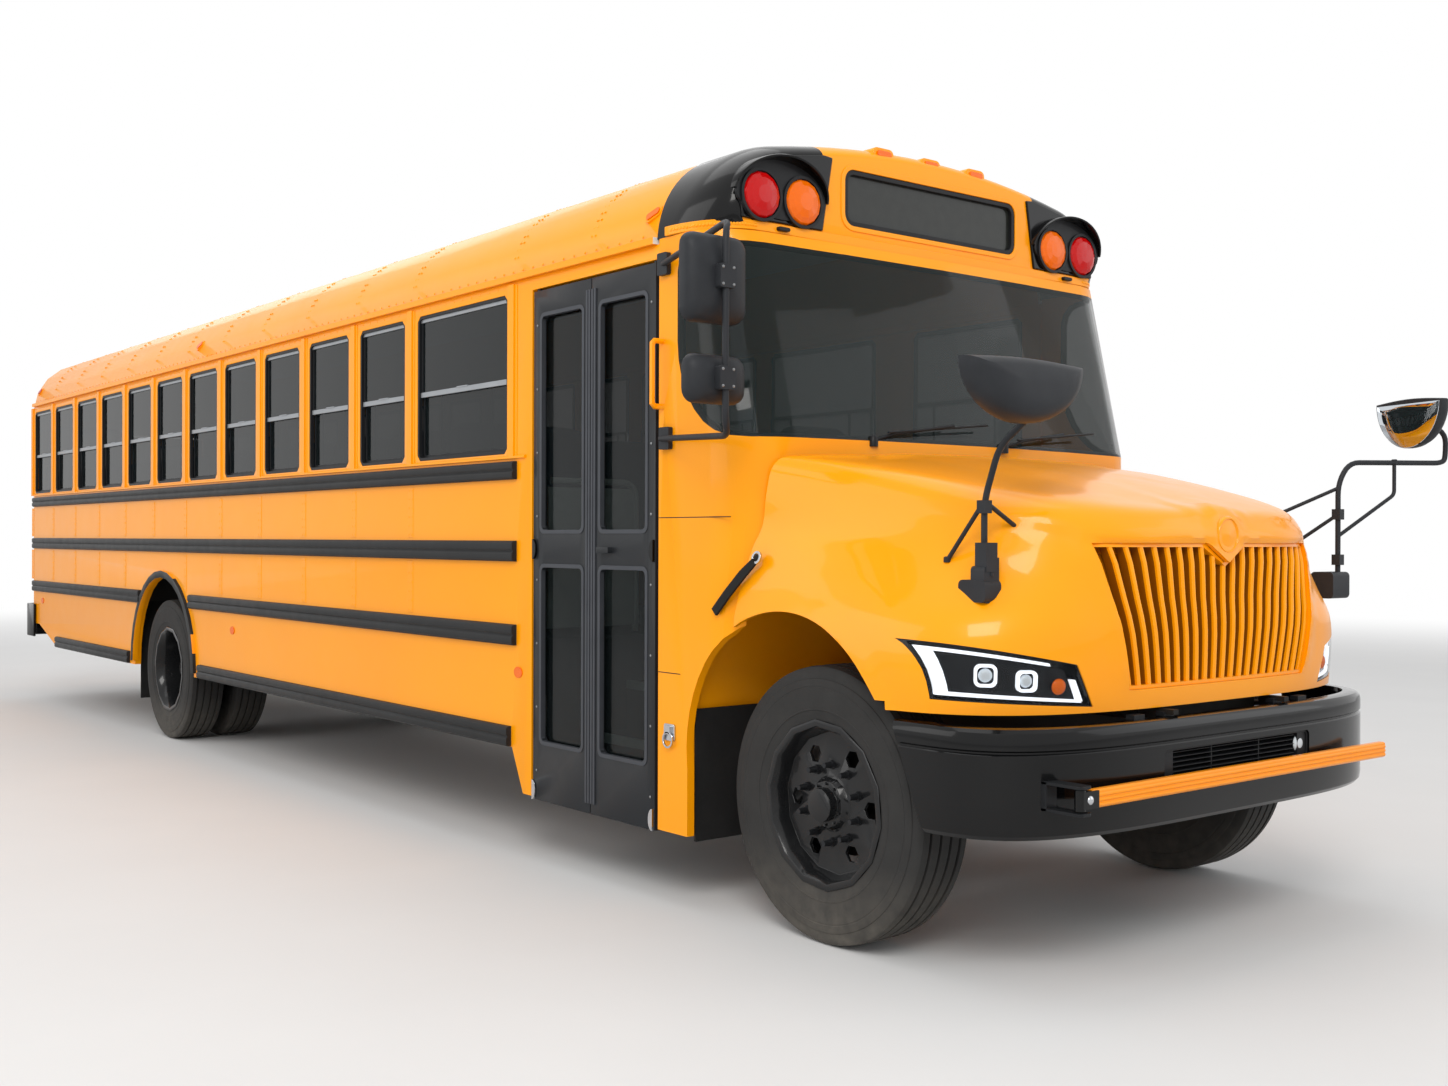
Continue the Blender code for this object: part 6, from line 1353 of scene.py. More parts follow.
def bumper_slot(bm):
    """The frame, the slats and the round lamp in the bumper's slot."""
    (x0, x1), (z0, z1) = BUMPER_SLOT
    outer = inset_box(*BUMPER_SLOT, -0.001, 0.022)
    inner = inset_box(*BUMPER_SLOT, 0.008, 0.016)
    ring(bm, outer, inner, "Y", (-0.990, -0.940))
    box(bm, (x0, x1), (-0.944, -0.936), (z0, z1))
    for k in range(AIR_SLATS):
        z = z0 + 0.016 + k * AIR_SLAT_PITCH
        outline = [(-0.984, z), (-0.946, z + 0.005), (-0.946, z + 0.008), (-0.984, z + 0.003)]
        plate(bm, outline, "X", (x0 + 0.004, x1 - 0.085))
    for x in (x0 + 0.30, x0 + 0.60):
        box(bm, (x - 0.003, x + 0.003), (-0.982, -0.940), (z0 + 0.004, z1 - 0.004))
    start = len(bm.verts)
    lens(bm, 0.034, 0.012, 1)
    facing(bm, start, (x1 - 0.045, -0.975, (z0 + z1) / 2), WAY_FORWARD)


def bumper_parts():
    """What the bumper carries: slot parts, hood stops, brackets and the gate's fork."""
    bm = bmesh.new()
    bumper_slot(bm)
    for side in (-1, 1):
        for at in TOW_BRACKETS:
            box(bm, span(side, at - 0.030, at + 0.030), (-0.935, -0.900), (0.868, 0.884))
    for side in (-1, 1):
        box(bm, span(side, 0.394, 0.466), (-0.985, -0.902), (0.660, 0.820))
    x0, x1 = GATE_PIVOT[0] - 0.030, GATE_PIVOT[0] + 0.030
    for z in (GATE_Z[0] - 0.018, GATE_Z[1] + 0.008):
        fork = [(x0, -1.060), (x0 + 0.012, -1.068), (x1 - 0.012, -1.068), (x1, -1.060), (x1, -0.80),
                (x0, -0.80)]
        plate(bm, fork, "Z", (z, z + 0.010))
    box(bm, (x0, x1), (-0.930, -0.800), (GATE_Z[0] - 0.018, GATE_Z[1] + 0.018))
    piece("bumper_parts", bm, "body", "satin_black", "clear_lens", bevel=0.0025)


def crossing_gate():
    """A ridged bar on a black knuckle with a bright bolt."""
    bm = bmesh.new()
    y0, y1 = GATE_PIVOT[1] - GATE_HALF, GATE_PIVOT[1] + GATE_HALF
    z0, z1 = GATE_Z
    outline = [(y1, z0 + 0.006), (y1, z1 - 0.006), (y1 - 0.006, z1), (y0 + 0.010, z1),
               (y0 + 0.004, z1 - 0.005)]
    for k in range(GATE_RIDGES):
        low = z1 - 0.012 - k * GATE_RIDGE_PITCH
        outline += [(y0 + 0.004, low), (y0, low - 0.0035), (y0, low - 0.0085), (y0 + 0.004, low - 0.012)]
    outline += [(y0 + 0.004, z0 + 0.004), (y0 + 0.010, z0), (y1 - 0.006, z0)]
    plate(bm, outline, "X", (GATE_PIVOT[0] + 0.050, GATE_TIP), 0)
    r = GATE_KNUCKLE_R
    outer = [(-r, z0 + 0.002), (r, z0 + 0.002), (r, z1 - 0.002), (-r, z1 - 0.002)]
    knuckle = (GATE_PIVOT[0] - 0.004, GATE_PIVOT[0] + 0.075)
    plate(bm, [(GATE_PIVOT[1] + y, z) for y, z in outer], "X", knuckle, 1)
    rows = [[(x, y, z) for x, y in circle(GATE_PIVOT, r, 24)] for z in (z0 - 0.004, z1 + 0.004)]
    lines = skin(bm, rows, closed=True, finish=1)
    bm.faces.new(lines[0]).material_index = 1
    bm.faces.new(lines[1][::-1]).material_index = 1
    start = len(bm.verts)
    lens(bm, 0.015, 0.008, 2)
    facing(bm, start, (GATE_PIVOT[0] + 0.030, y0, (z0 + z1) / 2), WAY_FORWARD)
    box(bm, (GATE_TIP - 0.004, GATE_TIP), (y0 + 0.003, y1), (z0 + 0.003, z1 - 0.003))
    piece("gate_bar", bm, "gate", "gate_amber", "gloss_black", "chrome", stands_for=("crossing_gate",),
          bevel=0.0012)


front_bumper()
bumper_parts()
crossing_gate()


# Front cap with its lamp pods, sign window and markers


CAP_ROUND = ((0.32, 0.20), (0.13, 0.06))
POD_EDGE = (0.665, 0.610)
SIGN_HALF = 0.536
SIGN_Z = (2.790, 3.025)
LAMP_X = (0.785, 1.004)
LAMP_Z = 2.843
LAMP_R = 0.093
MARKER_Z = 3.125
MARKER_X = (-0.290, 0.0, 0.290)
CAP_STEPS = 12
CAP_STEP_DEGREES = 7.0
POD_FOOT_Z = 2.745
VISOR_STEPS = 30
# Columns: half width, height of a visor's section, and its place along Y from the front edge
VISOR_RINGS = ((0.250, 0.165, 0.006), (0.247, 0.162, 0.0), (0.240, 0.155, 0.002))
VISOR_BACK_RINGS = ((0.234, 0.149), (0.252, 0.167))
VISOR_BACK_Y = 0.515
LIP_Z = (2.702, 2.740)
LIP_OUT = 0.012
LIP_RIVET_Z = 2.721


def cap_ring(turn, out=0.0):
    ring_line = roof_ring(CAP_FRONT, out, *CAP_ROUND, turn)
    return [(x, y, max(z, CAP_Z)) for x, y, z in ring_line]


def cap_plan(out, steps=10):
    along, across = CAP_ROUND[0]
    half = []
    for k in range(steps + 1):
        angle = math.pi / 2 * k / steps
        half.append((BODY_HALF - across * (1 - math.cos(angle)) + out * math.cos(angle),
                     CAP_FRONT + along * (1 - math.sin(angle)) - out * math.sin(angle)))
    return half + [(-x, y) for x, y in half[::-1]]


def front_cap():
    """The moulded cap over the windshield, dark round the lamps, with the sign's opening."""
    bm = bmesh.new()
    rows = [[(x, CAP_REAR, z) for x, _, z in cap_ring(0.0)]]
    rows += [cap_ring(math.radians(CAP_STEP_DEGREES * k)) for k in range(CAP_STEPS + 1)]
    lines = skin(bm, rows)
    bm.faces.new(lines[-1])
    bmesh.ops.recalc_face_normals(bm, faces=bm.faces)
    for face in bm.faces:
        if len(face.verts) == 4 and abs(face.calc_center_median().x) > POD_EDGE[1]:
            face.material_index = 1
    obj = piece("cap_shell", bm, "body", "bus_yellow", "gloss_black", stands_for=("front_cap",), angle=40)
    thickened(obj, 0.03)
    tool = bmesh.new()
    plate(tool, rounded((-SIGN_HALF, SIGN_HALF), SIGN_Z, 0.05), "Y", (0.44, 0.60))
    cut(obj, tool)
    obj.data.shade_smooth()
    obj.data.set_sharp_from_angle(angle=math.radians(40))


def pod_faces():
    """The flat black faces that carry the lamps."""
    bm = bmesh.new()
    edge = cap_ring(math.radians(84))
    for side in (-1, 1):
        outer = [(abs(x), z) for x, _, z in edge if x * side > POD_EDGE[1] + 0.01 and z > 2.75]
        outer = sorted(outer, key=lambda p: math.atan2(p[1] - 2.8, p[0] - 0.85))
        outline = [(POD_EDGE[0], POD_FOOT_Z), (outer[0][0], POD_FOOT_Z)] + outer
        outline.append((POD_EDGE[1], outer[-1][1] - 0.004))
        plate(bm, [(side * x, z) for x, z in outline], "Y", (0.506, 0.530))
    piece("pod_faces", bm, "body", "gloss_black", bevel=0.006)


def pod_visors():
    """The round hoods over the lamps, and the rings round them."""
    bm = bmesh.new()
    for side in (-1, 1):
        centre = (side * (LAMP_X[0] + LAMP_X[1]) / 2, LAMP_Z)
        rows = []
        for k in range(VISOR_STEPS + 1):
            angle = math.radians(4 + 172 * k / VISOR_STEPS)
            front = 0.440 + 0.055 * (1 - math.sin(angle))
            rings = [(r_x, r_z, front + back) for r_x, r_z, back in VISOR_RINGS]
            rings += [(r_x, r_z, VISOR_BACK_Y) for r_x, r_z in VISOR_BACK_RINGS]
            rows.append([(centre[0] + r_x * math.cos(angle), y, centre[1] + r_z * math.sin(angle))
                         for r_x, r_z, y in rings])
        lines = skin(bm, rows, closed=True)
        bm.faces.new(lines[0])
        bm.faces.new(lines[-1][::-1])
        pocket = arc(centre, (0.236, 0.151), 0, 180, 24) + arc(centre, (0.236, 0.085), 180, 360, 12)[1:-1]
        plate(bm, pocket, "Y", (0.498, 0.512), 1)
        for x in LAMP_X:
            start = len(bm.verts)
            ring(bm, circle((0, 0), 0.106, 40), circle((0, 0), 0.094, 40), "Y", (-0.012, 0.020), 1)
            facing(bm, start, (side * x, 0.502, LAMP_Z), WAY_FORWARD)
    piece("pod_visors", bm, "body", "gloss_black", "satin_black", angle=35)


def warning_lamps():
    """Amber lamps inside and red ones outside, with faceted lenses."""
    bm = bmesh.new()
    for side in (-1, 1):
        for x, finish in zip(LAMP_X, (1, 0)):
            start = len(bm.verts)
            lens(bm, LAMP_R, 0.030, finish, 0.0, 14, 5)
            facing(bm, start, (side * x, 0.498, LAMP_Z), WAY_FORWARD)
    piece("warning_lamps", bm, "body", "red_lens", "amber_lens", angle=3)


def cap_trim():
    """The blank sign window with its frame, three marker lamps and the lip over the windshield."""
    bm = bmesh.new()
    sign_x = (-SIGN_HALF, SIGN_HALF)
    outer = rounded(sign_x, SIGN_Z, 0.05)
    rim = inset_box(sign_x, SIGN_Z, -0.022, 0.07)
    inner = inset_box(sign_x, SIGN_Z, 0.020, 0.034)
    ring(bm, rim, outer, "Y", (0.511, 0.530), 0)
    ring(bm, outer, inner, "Y", (0.516, 0.548), 1)
    plate(bm, outer, "Y", (0.534, 0.545), 2)
    for x in MARKER_X:
        seat = rounded((x - 0.062, x + 0.062), (MARKER_Z - 0.028, MARKER_Z + 0.028), 0.026)
        marker = rounded((x - 0.042, x + 0.042), (MARKER_Z - 0.015, MARKER_Z + 0.015), 0.014)
        plate(bm, seat, "Y", (0.536, 0.640), 0)
        plate(bm, marker, "Y", (0.527, 0.600), 3)
    plate(bm, cap_plan(LIP_OUT) + cap_plan(-LIP_OUT)[::-1], "Z", LIP_Z, 0)
    for side in (-1, 1):
        plate(bm, rounded(span(side, 0.86, 0.92), (2.712, 2.728), 0.007), "Y", (0.485, 0.53), 1)
    piece("cap_trim", bm, "body", "bus_yellow", "satin_black", "mesh_black", "amber_lens", bevel=0.003)


def lip_rivets():
    points = []
    line = cap_plan(LIP_OUT, 60)
    for k in range(4, len(line) - 4, 2):
        (x0, y0), (x1, y1) = line[k - 1], line[k + 1]
        way = Vector((-(y1 - y0), (x1 - x0), 0)).normalized()
        if way.y > 0:
            way = -way
        points.append(((line[k][0], line[k][1], LIP_RIVET_Z), tuple(way)))
    for x in [0.05 * k for k in range(-11, 12)]:
        points.append(((x, CAP_FRONT, LIP_RIVET_Z), (0, -1, 0)))
    shown = [point for point in points if abs(point[0][0]) > 0.6 or point[0][1] <= CAP_FRONT]
    repeated("lip_rivets", RIVETS, shown, 0.007, 0.003, "bus_yellow", "body")


front_cap()
pod_faces()
pod_visors()
warning_lamps()
cap_trim()
lip_rivets()


# Windshield with its rubber, and the cowl


def sharp_loops(bm, degrees):
    """The closed lines of sharp edges of a mesh, each as points in order."""
    edges = {e for e in bm.edges if len(e.link_faces) == 2 and e.calc_face_angle(0) > math.radians(degrees)}
    loops = []
    while edges:
        edge = edges.pop()
        line = [edge.verts[0], edge.verts[1]]
        while True:
            near = [e for e in line[-1].link_edges if e in edges]
            if not near:
                break
            edges.discard(near[0])
            line.append(near[0].other_vert(line[-1]))
        loops.append([v.co.copy() for v in line])
    return sorted(loops, key=len, reverse=True)


def closed_bar(bm, points, radius, sides=10, finish=0):
    """A round bar along a closed line."""
    count = len(points)
    rows = []
    for k in range(count):
        way = (points[(k + 1) % count] - points[k - 1]).normalized()
        across = way.cross(Vector((0, 0, 1)))
        across = across.normalized() if across.length > 0.2 else way.cross(Vector((0, 1, 0))).normalized()
        other = way.cross(across)
        rows.append([points[k] + (across * math.cos(a) + other * math.sin(a)) * radius for a in
                     (math.tau * n / sides for n in range(sides))])
    skin(bm, rows, closed_rows=True, closed=True, finish=finish)


SCREEN_BEHIND = Vector((0, 3.0, 2.2))


def windshield():
    """The glass as it is, and a rubber along its outer edge."""
    bm = solid("windshield")
    loops = [line[:-1] if (line[0] - line[-1]).length < 1e-6 else line for line in sharp_loops(bm, 55)]
    outer = max(loops[:4], key=lambda line: sum((p - SCREEN_BEHIND).length for p in line) / len(line)
                + 0.01 * len(line))
    piece("screen", bm, "body", "screen_glass", stands_for=("windshield",), angle=30)
    bm = bmesh.new()
    fine = []
    for k in range(len(outer)):
        one, two = outer[k], outer[(k + 1) % len(outer)]
        count = max(1, round((two - one).length / 0.08))
        fine += [one.lerp(two, n / count) for n in range(count)]
    closed_bar(bm, fine, 0.017)
    piece("screen_rubber", bm, "body", "gasket_black", angle=60)


WIPER_X = (-0.62, 0.12)
WIPER_FOOT_Z = 1.872
# Columns: height, front end of a seam on the cowl's side
COWL_SEAMS = ((1.565, 0.42), (0.938, 0.735))
SEAM_HALF = 0.0018


def wiper(bm, x):
    """An arm, a blade and the knob that they turn on, along the curved foot of the glass."""
    y = 0.205 + 0.10 * (x / 0.97) ** 2
    fall = 0.03 if x < 0 else -0.03
    bar(bm, [(x, y + 0.02, WIPER_FOOT_Z), (x + 0.10, y - 0.012, 1.905), (x + 0.42, y - 0.004 - fall, 1.950)],
        0.007)
    bar(bm, [(x + 0.06, y - 0.015, 1.908), (x + 0.62, y - 0.012 - fall, 1.962)], 0.005)
    turned_knob(bm, (x, y + 0.01, WIPER_FOOT_Z), 0.020, 0.022)


def cowl():
    piece("cowl_shell", solid("cowl"), "body", "bus_yellow", stands_for=("cowl",), angle=30)
    bm = bmesh.new()
    for side in (-1, 1):
        for z, y0 in COWL_SEAMS:
            seam = span(side, BODY_HALF - 0.004, BODY_HALF + 0.0006)
            box(bm, seam, (y0, PILLAR_REAR - 0.002), (z - SEAM_HALF, z + SEAM_HALF))
    for x in WIPER_X:
        wiper(bm, x)
    piece("seams_and_wipers", bm, "body", "satin_black", angle=40)


def turned_knob(bm, at, radius, height, finish=0):
    """A short upright knob with a chamfered head."""
    rows = [[(x, y, at[2] + h) for x, y in circle(at, r, 20)]
            for r, h in ((radius, -height), (radius, height * 0.6), (radius * 0.7, height))]
    lines = skin(bm, rows, closed=True, finish=finish)
    bm.faces.new(lines[-1]).material_index = finish
    bm.faces.new(lines[0][::-1]).material_index = finish


windshield()
cowl()


# Entrance door


DOOR_FACE = 1.222


DOOR_GLASS_Z = ((0.55, 1.355), (1.51, 2.495))
DOOR_STILE = 0.062
SEAL_Z = (0.330, 2.560)
SEAL_IN = 0.018
SEAL_LIP = 0.010
HINGE_CAPS_Z = (1.43, 0.330)
HINGE_CAP = (0.028, 0.046)
DOOR_SCREWS = 8
DOOR_SCREW_START_Z = 0.42
DOOR_SCREW_PITCH = 0.29


def door_leaf(node_name, body, y0, y1, hinge):
    """A leaf with a frame round each glass, two rubber lips where the leaves meet, hinge caps and screws."""
    hinge_first = hinge < y0 + 0.1
    piece(node_name + "_panel", solid(node_name), body, "door_black", stands_for=(node_name,), bevel=0.003)
    bm = bmesh.new()
    for glass_z in DOOR_GLASS_Z:
        opening = (y0 + DOOR_STILE, y1 - DOOR_STILE)
        outer = inset_box(opening, glass_z, -0.010, 0.036)
        inner = inset_box(opening, glass_z, 0.008, 0.022)
        ring(bm, outer, inner, "X", (-DOOR_FACE - 0.003, -DOOR_FACE + 0.020), 0)
    seal = y1 - SEAL_IN if hinge_first else y0 + SEAL_IN
    for dy in (-SEAL_LIP, SEAL_LIP):
        box(bm, (-DOOR_FACE - 0.006, -DOOR_FACE + 0.004), (seal + dy - 0.007, seal + dy + 0.007), SEAL_Z)
    out = 1 if hinge_first else -1
    for z, finish in zip(HINGE_CAPS_Z, (1, 2)):
        cap = arc((hinge + out * 0.004, z), (HINGE_CAP[0] * out, HINGE_CAP[1]), -90, 90, 12)
        plate(bm, cap, "X", (-DOOR_FACE - 0.012, -DOOR_FACE + 0.002), finish)
    screw_y = hinge + 0.030 * out
    points = []
    for k in range(DOOR_SCREWS):
        points.append(((-DOOR_FACE - 0.0005, screw_y, DOOR_SCREW_START_Z + k * DOOR_SCREW_PITCH), (-1, 0, 0)))
    piece(node_name + "_trim", bm, body, "door_grey", "gloss_black", "chrome", bevel=0.0015)
    repeated(node_name + "_screws", RIVETS, points, 0.006, 0.003, "steel", body)
    piece(node_name + "_pane", solid(node_name + "_glass"), body, "door_glass",
          stands_for=(node_name + "_glass",))


door_leaf("front_door_leaf", "front_leaf", DOOR_Y[0], DOOR_Y[1] - DOOR_GAP, DOOR_Y[0])
door_leaf("rear_door_leaf", "rear_leaf", DOOR_Y[1] + DOOR_GAP, DOOR_Y[2], DOOR_Y[2])


# Wheels


# Columns: from the tyre's middle, radius. The wall from the bead to the edge of the tread
TYRE_WALL = ((0.100, 0.302), (0.116, 0.306), (0.122, 0.330), (0.1245, 0.344), (0.1268, 0.346),
             (0.1268, 0.350), (0.1255, 0.352), (0.1272, 0.390), (0.1275, 0.415), (0.1272, 0.4275),
             (0.126, 0.429), (0.126, 0.433), (0.1268, 0.4345), (0.1245, 0.456), (0.1232, 0.460),
             (0.120, 0.462), (0.118, 0.480), (0.115, 0.496), (0.109, 0.504), (0.082, 0.508))
TYRE_INSIDE = ((-0.095, 0.318), (-0.112, 0.400), (-0.100, 0.470), (0.0, 0.488), (0.100, 0.470),
               (0.112, 0.400), (0.095, 0.318))
GROOVES = (0.074, 0.025, -0.025, -0.074)
GROOVE_HALF = (0.0062, 0.0045)
GROOVE_DEPTH = 0.0130
TREAD_R = 0.5098
TREAD_CROWN_SHARE = 0.04
TYRE_STEPS = 96
NUT_COUNT = 10
NUT_CIRCLE_R = 0.143
HUB_BOLT_CIRCLE_R = 0.076
FRONT_RIM_FACE = 1.062
REAR_RIM_FACE = 0.8975
FRONT_HUB_END = 1.140
REAR_HUB_END = 1.090


def tyre(node_name, body):
    """Tyre with five ribs of tread and raised rings on its walls."""
    points = [v.co for v in frame["nodes"][node_name].data.vertices]
    middle = (min(p.x for p in points) + max(p.x for p in points)) / 2
    y = (min(p.y for p in points) + max(p.y for p in points)) / 2 - AXLE_Y
    tread = []
    for centre in GROOVES:
        r = TREAD_R - TREAD_CROWN_SHARE * abs(centre)
        tread += [(centre + GROOVE_HALF[0], r), (centre + GROOVE_HALF[1], r - GROOVE_DEPTH),
                  (centre - GROOVE_HALF[1], r - GROOVE_DEPTH), (centre - GROOVE_HALF[0], r)]
    profile = list(TYRE_WALL) + tread + [(-a, r) for a, r in TYRE_WALL[::-1]] + list(TYRE_INSIDE)
    bm = bmesh.new()
    turned(bm, [(middle + a, r) for a, r in profile], (y, TYRE_R), TYRE_STEPS)
    piece(node_name + "_cover", bm, body, "tyre_rubber", stands_for=(node_name,), angle=28)


def around(side, x, y, radius):
    """Places for a ring of nuts on a wheel's face, each with its way."""
    places = []
    for k in range(NUT_COUNT):
        a = math.tau * (k + 0.5) / NUT_COUNT
        places.append(((side * x, y + radius * math.cos(a), TYRE_R + radius * math.sin(a)), (side, 0, 0)))
    return places


def wheel(node_name, body, side, y, face, out):
    """Rim with its hand holes, a ring of capped nuts and the bolts of the hub."""
    bm = solid(node_name)
    piece(node_name + "_rim", bm, body, "wheel_black", stands_for=(node_name,), bevel=0.002, angle=30)
    nuts_at = around(side, face + 0.010, y, NUT_CIRCLE_R)
    repeated(node_name + "_nuts", NUTS, nuts_at, 0.0175, 0.020, "nut_black", body)
    bm = bmesh.new()
    flange = [(face - 0.002, 0.110), (face + 0.010, 0.108), (face + 0.014, 0.102), (face + 0.020, 0.092),
              (face + 0.024, 0.064), (out - 0.030, 0.060), (out - 0.030, 0.054), (face - 0.002, 0.050)]
    cap = [(face, 0.0535), (out - 0.012, 0.0530), (out - 0.004, 0.0490), (out - 0.001, 0.0400),
           (out - 0.001, 0.0250), (out - 0.008, 0.0200), (out - 0.008, 0.0040), (face, 0.0030)]
    turned(bm, flange, (y, TYRE_R), 48, side)
    turned(bm, cap, (y, TYRE_R), 40, side)
    piece(node_name + "_hub", bm, body, "wheel_black", angle=30)
    bolts_at = around(side, face + 0.028, y, HUB_BOLT_CIRCLE_R)
    repeated(node_name + "_bolts", NUTS, bolts_at, 0.0085, 0.010, "steel_dark", body)


for name, side in SIDES:
    tyre(name + "_front_tyre", name + "_front_wheel_set")
    wheel(name + "_front_wheel", name + "_front_wheel_set", side, 0.0, FRONT_RIM_FACE, FRONT_HUB_END)
    for place_name in ("inner", "outer"):
        tyre(name + "_rear_" + place_name + "_tyre", name + "_rear_wheel_set")
    wheel(name + "_rear_wheel", name + "_rear_wheel_set", side, REAR_AXLE_Y, REAR_RIM_FACE, REAR_HUB_END)


# Mirrors


MIRROR_TUBES = {-1: (1.500, 0.100), 1: (1.420, 1.170)}
MIRROR_TUBE_Z = (1.850, 2.620)
MIRROR_BASE_Y = (0.835, 0.850)
MIRROR_BASE_Z = (1.885, 2.590)
# Columns: width, height and depth of a mirror head, and the height of its middle
MIRROR_HEADS = (((0.278, 0.318, 0.085), 2.410), ((0.270, 0.175, 0.075), 2.050))
# Columns: share of the head's size, distance behind its front, corner radius
HEAD_RINGS = ((0.30, 0.004, 0.02), (0.62, 0.010, 0.04), (0.86, 0.024, 0.05), (0.965, 0.042, 0.05),
              (1.0, 0.060, 0.05))
CLAMP_BOLTS = ((-0.024, -0.030), (0.024, -0.030), (-0.024, 0.030), (0.024, 0.030))


def mirror_head(bm, x, y, z, size):
    """A flat box with rounded corners, its glass behind and its bolted clamp in front."""
    width, height, depth = size
    front = y + 0.0125
    rings = HEAD_RINGS + ((1.0, 0.92 * depth, 0.05), (0.97, depth, 0.05), (0.93, depth, 0.045))
    rows = []
    for share, along, r in rings:
        w, h = width / 2 * share, height / 2 * share
        outline = rounded((-w, w), (-h, h), min(r, w, h) * 0.98)
        rows.append([(x + a, front + along, z + b) for a, b in outline])
    lines = skin(bm, rows, closed=True)
    bm.faces.new(lines[0])
    bm.faces.new(lines[-1][::-1])
    glass = [(x + a, z + b) for a, b in rounded((-w, w), (-h, h), 0.04)]
    plate(bm, glass, "Y", (front + depth - 0.004, front + depth + 0.0005), 1)
    plate(bm, rounded((x - 0.036, x + 0.036), (z - 0.042, z + 0.042), 0.008, 3), "Y",
          (y - 0.0165, front + 0.02))
    for a, b in CLAMP_BOLTS:
        start = len(bm.verts)
        lens(bm, 0.006, 0.003, 2, 0.0, 12, 4)
        facing(bm, start, (x + a, y - 0.0165, z + b), WAY_FORWARD)


def side_mirrors(name, side):
    """Two mirror heads on a bent tube that stands on two base plates."""
    x, y = MIRROR_TUBES[side]
    low, top = MIRROR_TUBE_Z
    root = BODY_HALF + 0.0155
    bm = bmesh.new()
    path = [(root, MIRROR_BASE_Y[0], MIRROR_BASE_Z[1]), (x - 0.045, y + 0.045, top), (x, y, top - 0.05),
            (x, y, low + 0.05), (x - 0.045, y + 0.045, low), (root, MIRROR_BASE_Y[1], MIRROR_BASE_Z[0])]
    bar(bm, bends([(side * a, b, c) for a, b, c in path], 0.05), 0.0125, 14)
    for at, z in zip(MIRROR_BASE_Y, MIRROR_BASE_Z):
        plate(bm, rounded((at - 0.045, at + 0.022), (z - 0.045, z + 0.045), 0.008, 3), "X",
              span(side, BODY_HALF + 0.0005, BODY_HALF + 0.022))
    for head_size, z in MIRROR_HEADS:
        mirror_head(bm, side * x, y, z, head_size)
    piece(name + "_mirror_set", bm, "body", "mirror_black", "mirror_glass", "steel",
          stands_for=(name + "_mirrors",), angle=35)


CROSS_PATHS = {
    -1: ((0.995, -0.660, 1.335), (0.995, -0.660, 1.610), (0.990, -0.720, 1.790), (0.980, -0.850, 1.890),
         (0.980, -0.850, 2.030)),
    1: ((1.108, -0.750, 1.340), (1.108, -0.750, 1.720), (1.160, -0.770, 1.808), (1.620, -0.945, 1.815),
        (1.628, -0.950, 1.850), (1.628, -0.950, 1.950), (1.540, -0.880, 1.990)),
}
CROSS_BRACES = {
    -1: (((0.995, -0.660, 1.610), (0.998, -0.496, 1.408)),
         ((0.995, -0.660, 1.610), (0.815, -0.660, 1.514))),
    1: (((1.108, -0.750, 1.590), (1.015, -0.450, 1.367)),
        ((1.108, -0.750, 1.700), (0.900, -0.390, 1.507)),
        ((1.108, -0.750, 1.498), (1.375, -0.854, 1.676), (1.375, -0.854, 1.812))),
}
# Columns: middle of the top edge, half length and drop, depth before and behind, turn about the vertical
CROSS_HEADS = {
    -1: ((1.018, -0.845, 2.070), (0.285, 0.200), (0.070, 0.050), 0),
    1: ((1.520, -0.860, 2.090), (0.190, 0.200), (0.055, 0.045), 69),
}
CROSS_MOUNTS = {
    -1: ((0.955, 1.035), (-0.70, -0.58), (1.270, 1.345)),
    1: ((1.000, 1.130), (-0.79, -0.69), (1.240, 1.350)),
}
# Columns: share of the head's size, share of its depth
BOWL_RINGS = ((0.30, -1.0), (0.55, -0.94), (0.76, -0.80), (0.90, -0.56), (0.97, -0.28),
              (1.0, 0.0), (1.0, 0.5), (0.97, 0.62))
BOWL_GLASS_RINGS = ((0.95, 0.60), (0.94, 0.66), (0.80, 0.82), (0.55, 0.94), (0.25, 1.0))
BOWL_STEPS = 30
BOWL_TOP_STEPS = 20
POST_CLAMPS_Z = (1.400, 1.590)
FOOT_BOLTS_Z = (1.300, 1.332, 1.364)


def mirror_bowl(bm, side):
    """A half bowl with a flat top edge, open to the glass behind."""
    centre, radii, depth, turn = CROSS_HEADS[side]
    spin = Matrix.Rotation(math.radians(turn), 3, "Z")
    middle = Vector((side * centre[0], centre[1], centre[2]))
    rows = []
    for share, along in BOWL_RINGS:
        reach = depth[0] if along < 0 else depth[1]
        line = arc((0, 0), (radii[0] * share, radii[1] * share), 180, 360, BOWL_STEPS)
        top = [(radii[0] * share * (1 - 0.1 * k), 0.012 * share * math.sin(math.pi * k / BOWL_TOP_STEPS))
               for k in range(1, BOWL_TOP_STEPS)]
        drop = 0.012 + (1 - share) * 0.10
        rows.append([middle + spin @ Vector((a, along * reach, b - drop)) for a, b in line + top])
    lines = skin(bm, rows, closed=True)
    bm.faces.new(lines[0])
    bm.faces.new(lines[-1][::-1])
    rows = []
    for share, along in BOWL_GLASS_RINGS:
        line = arc((0, 0), (radii[0] * share, radii[1] * share), 180, 360, BOWL_STEPS)
        drop = 0.016 + (1 - share) * 0.08
        rows.append([middle + spin @ Vector((a, along * depth[1], b - drop)) for a, b in line])
    lines = skin(bm, rows, closed=True, finish=1)
    bm.faces.new(lines[0]).material_index = 1
    bm.faces.new(lines[-1][::-1]).material_index = 1


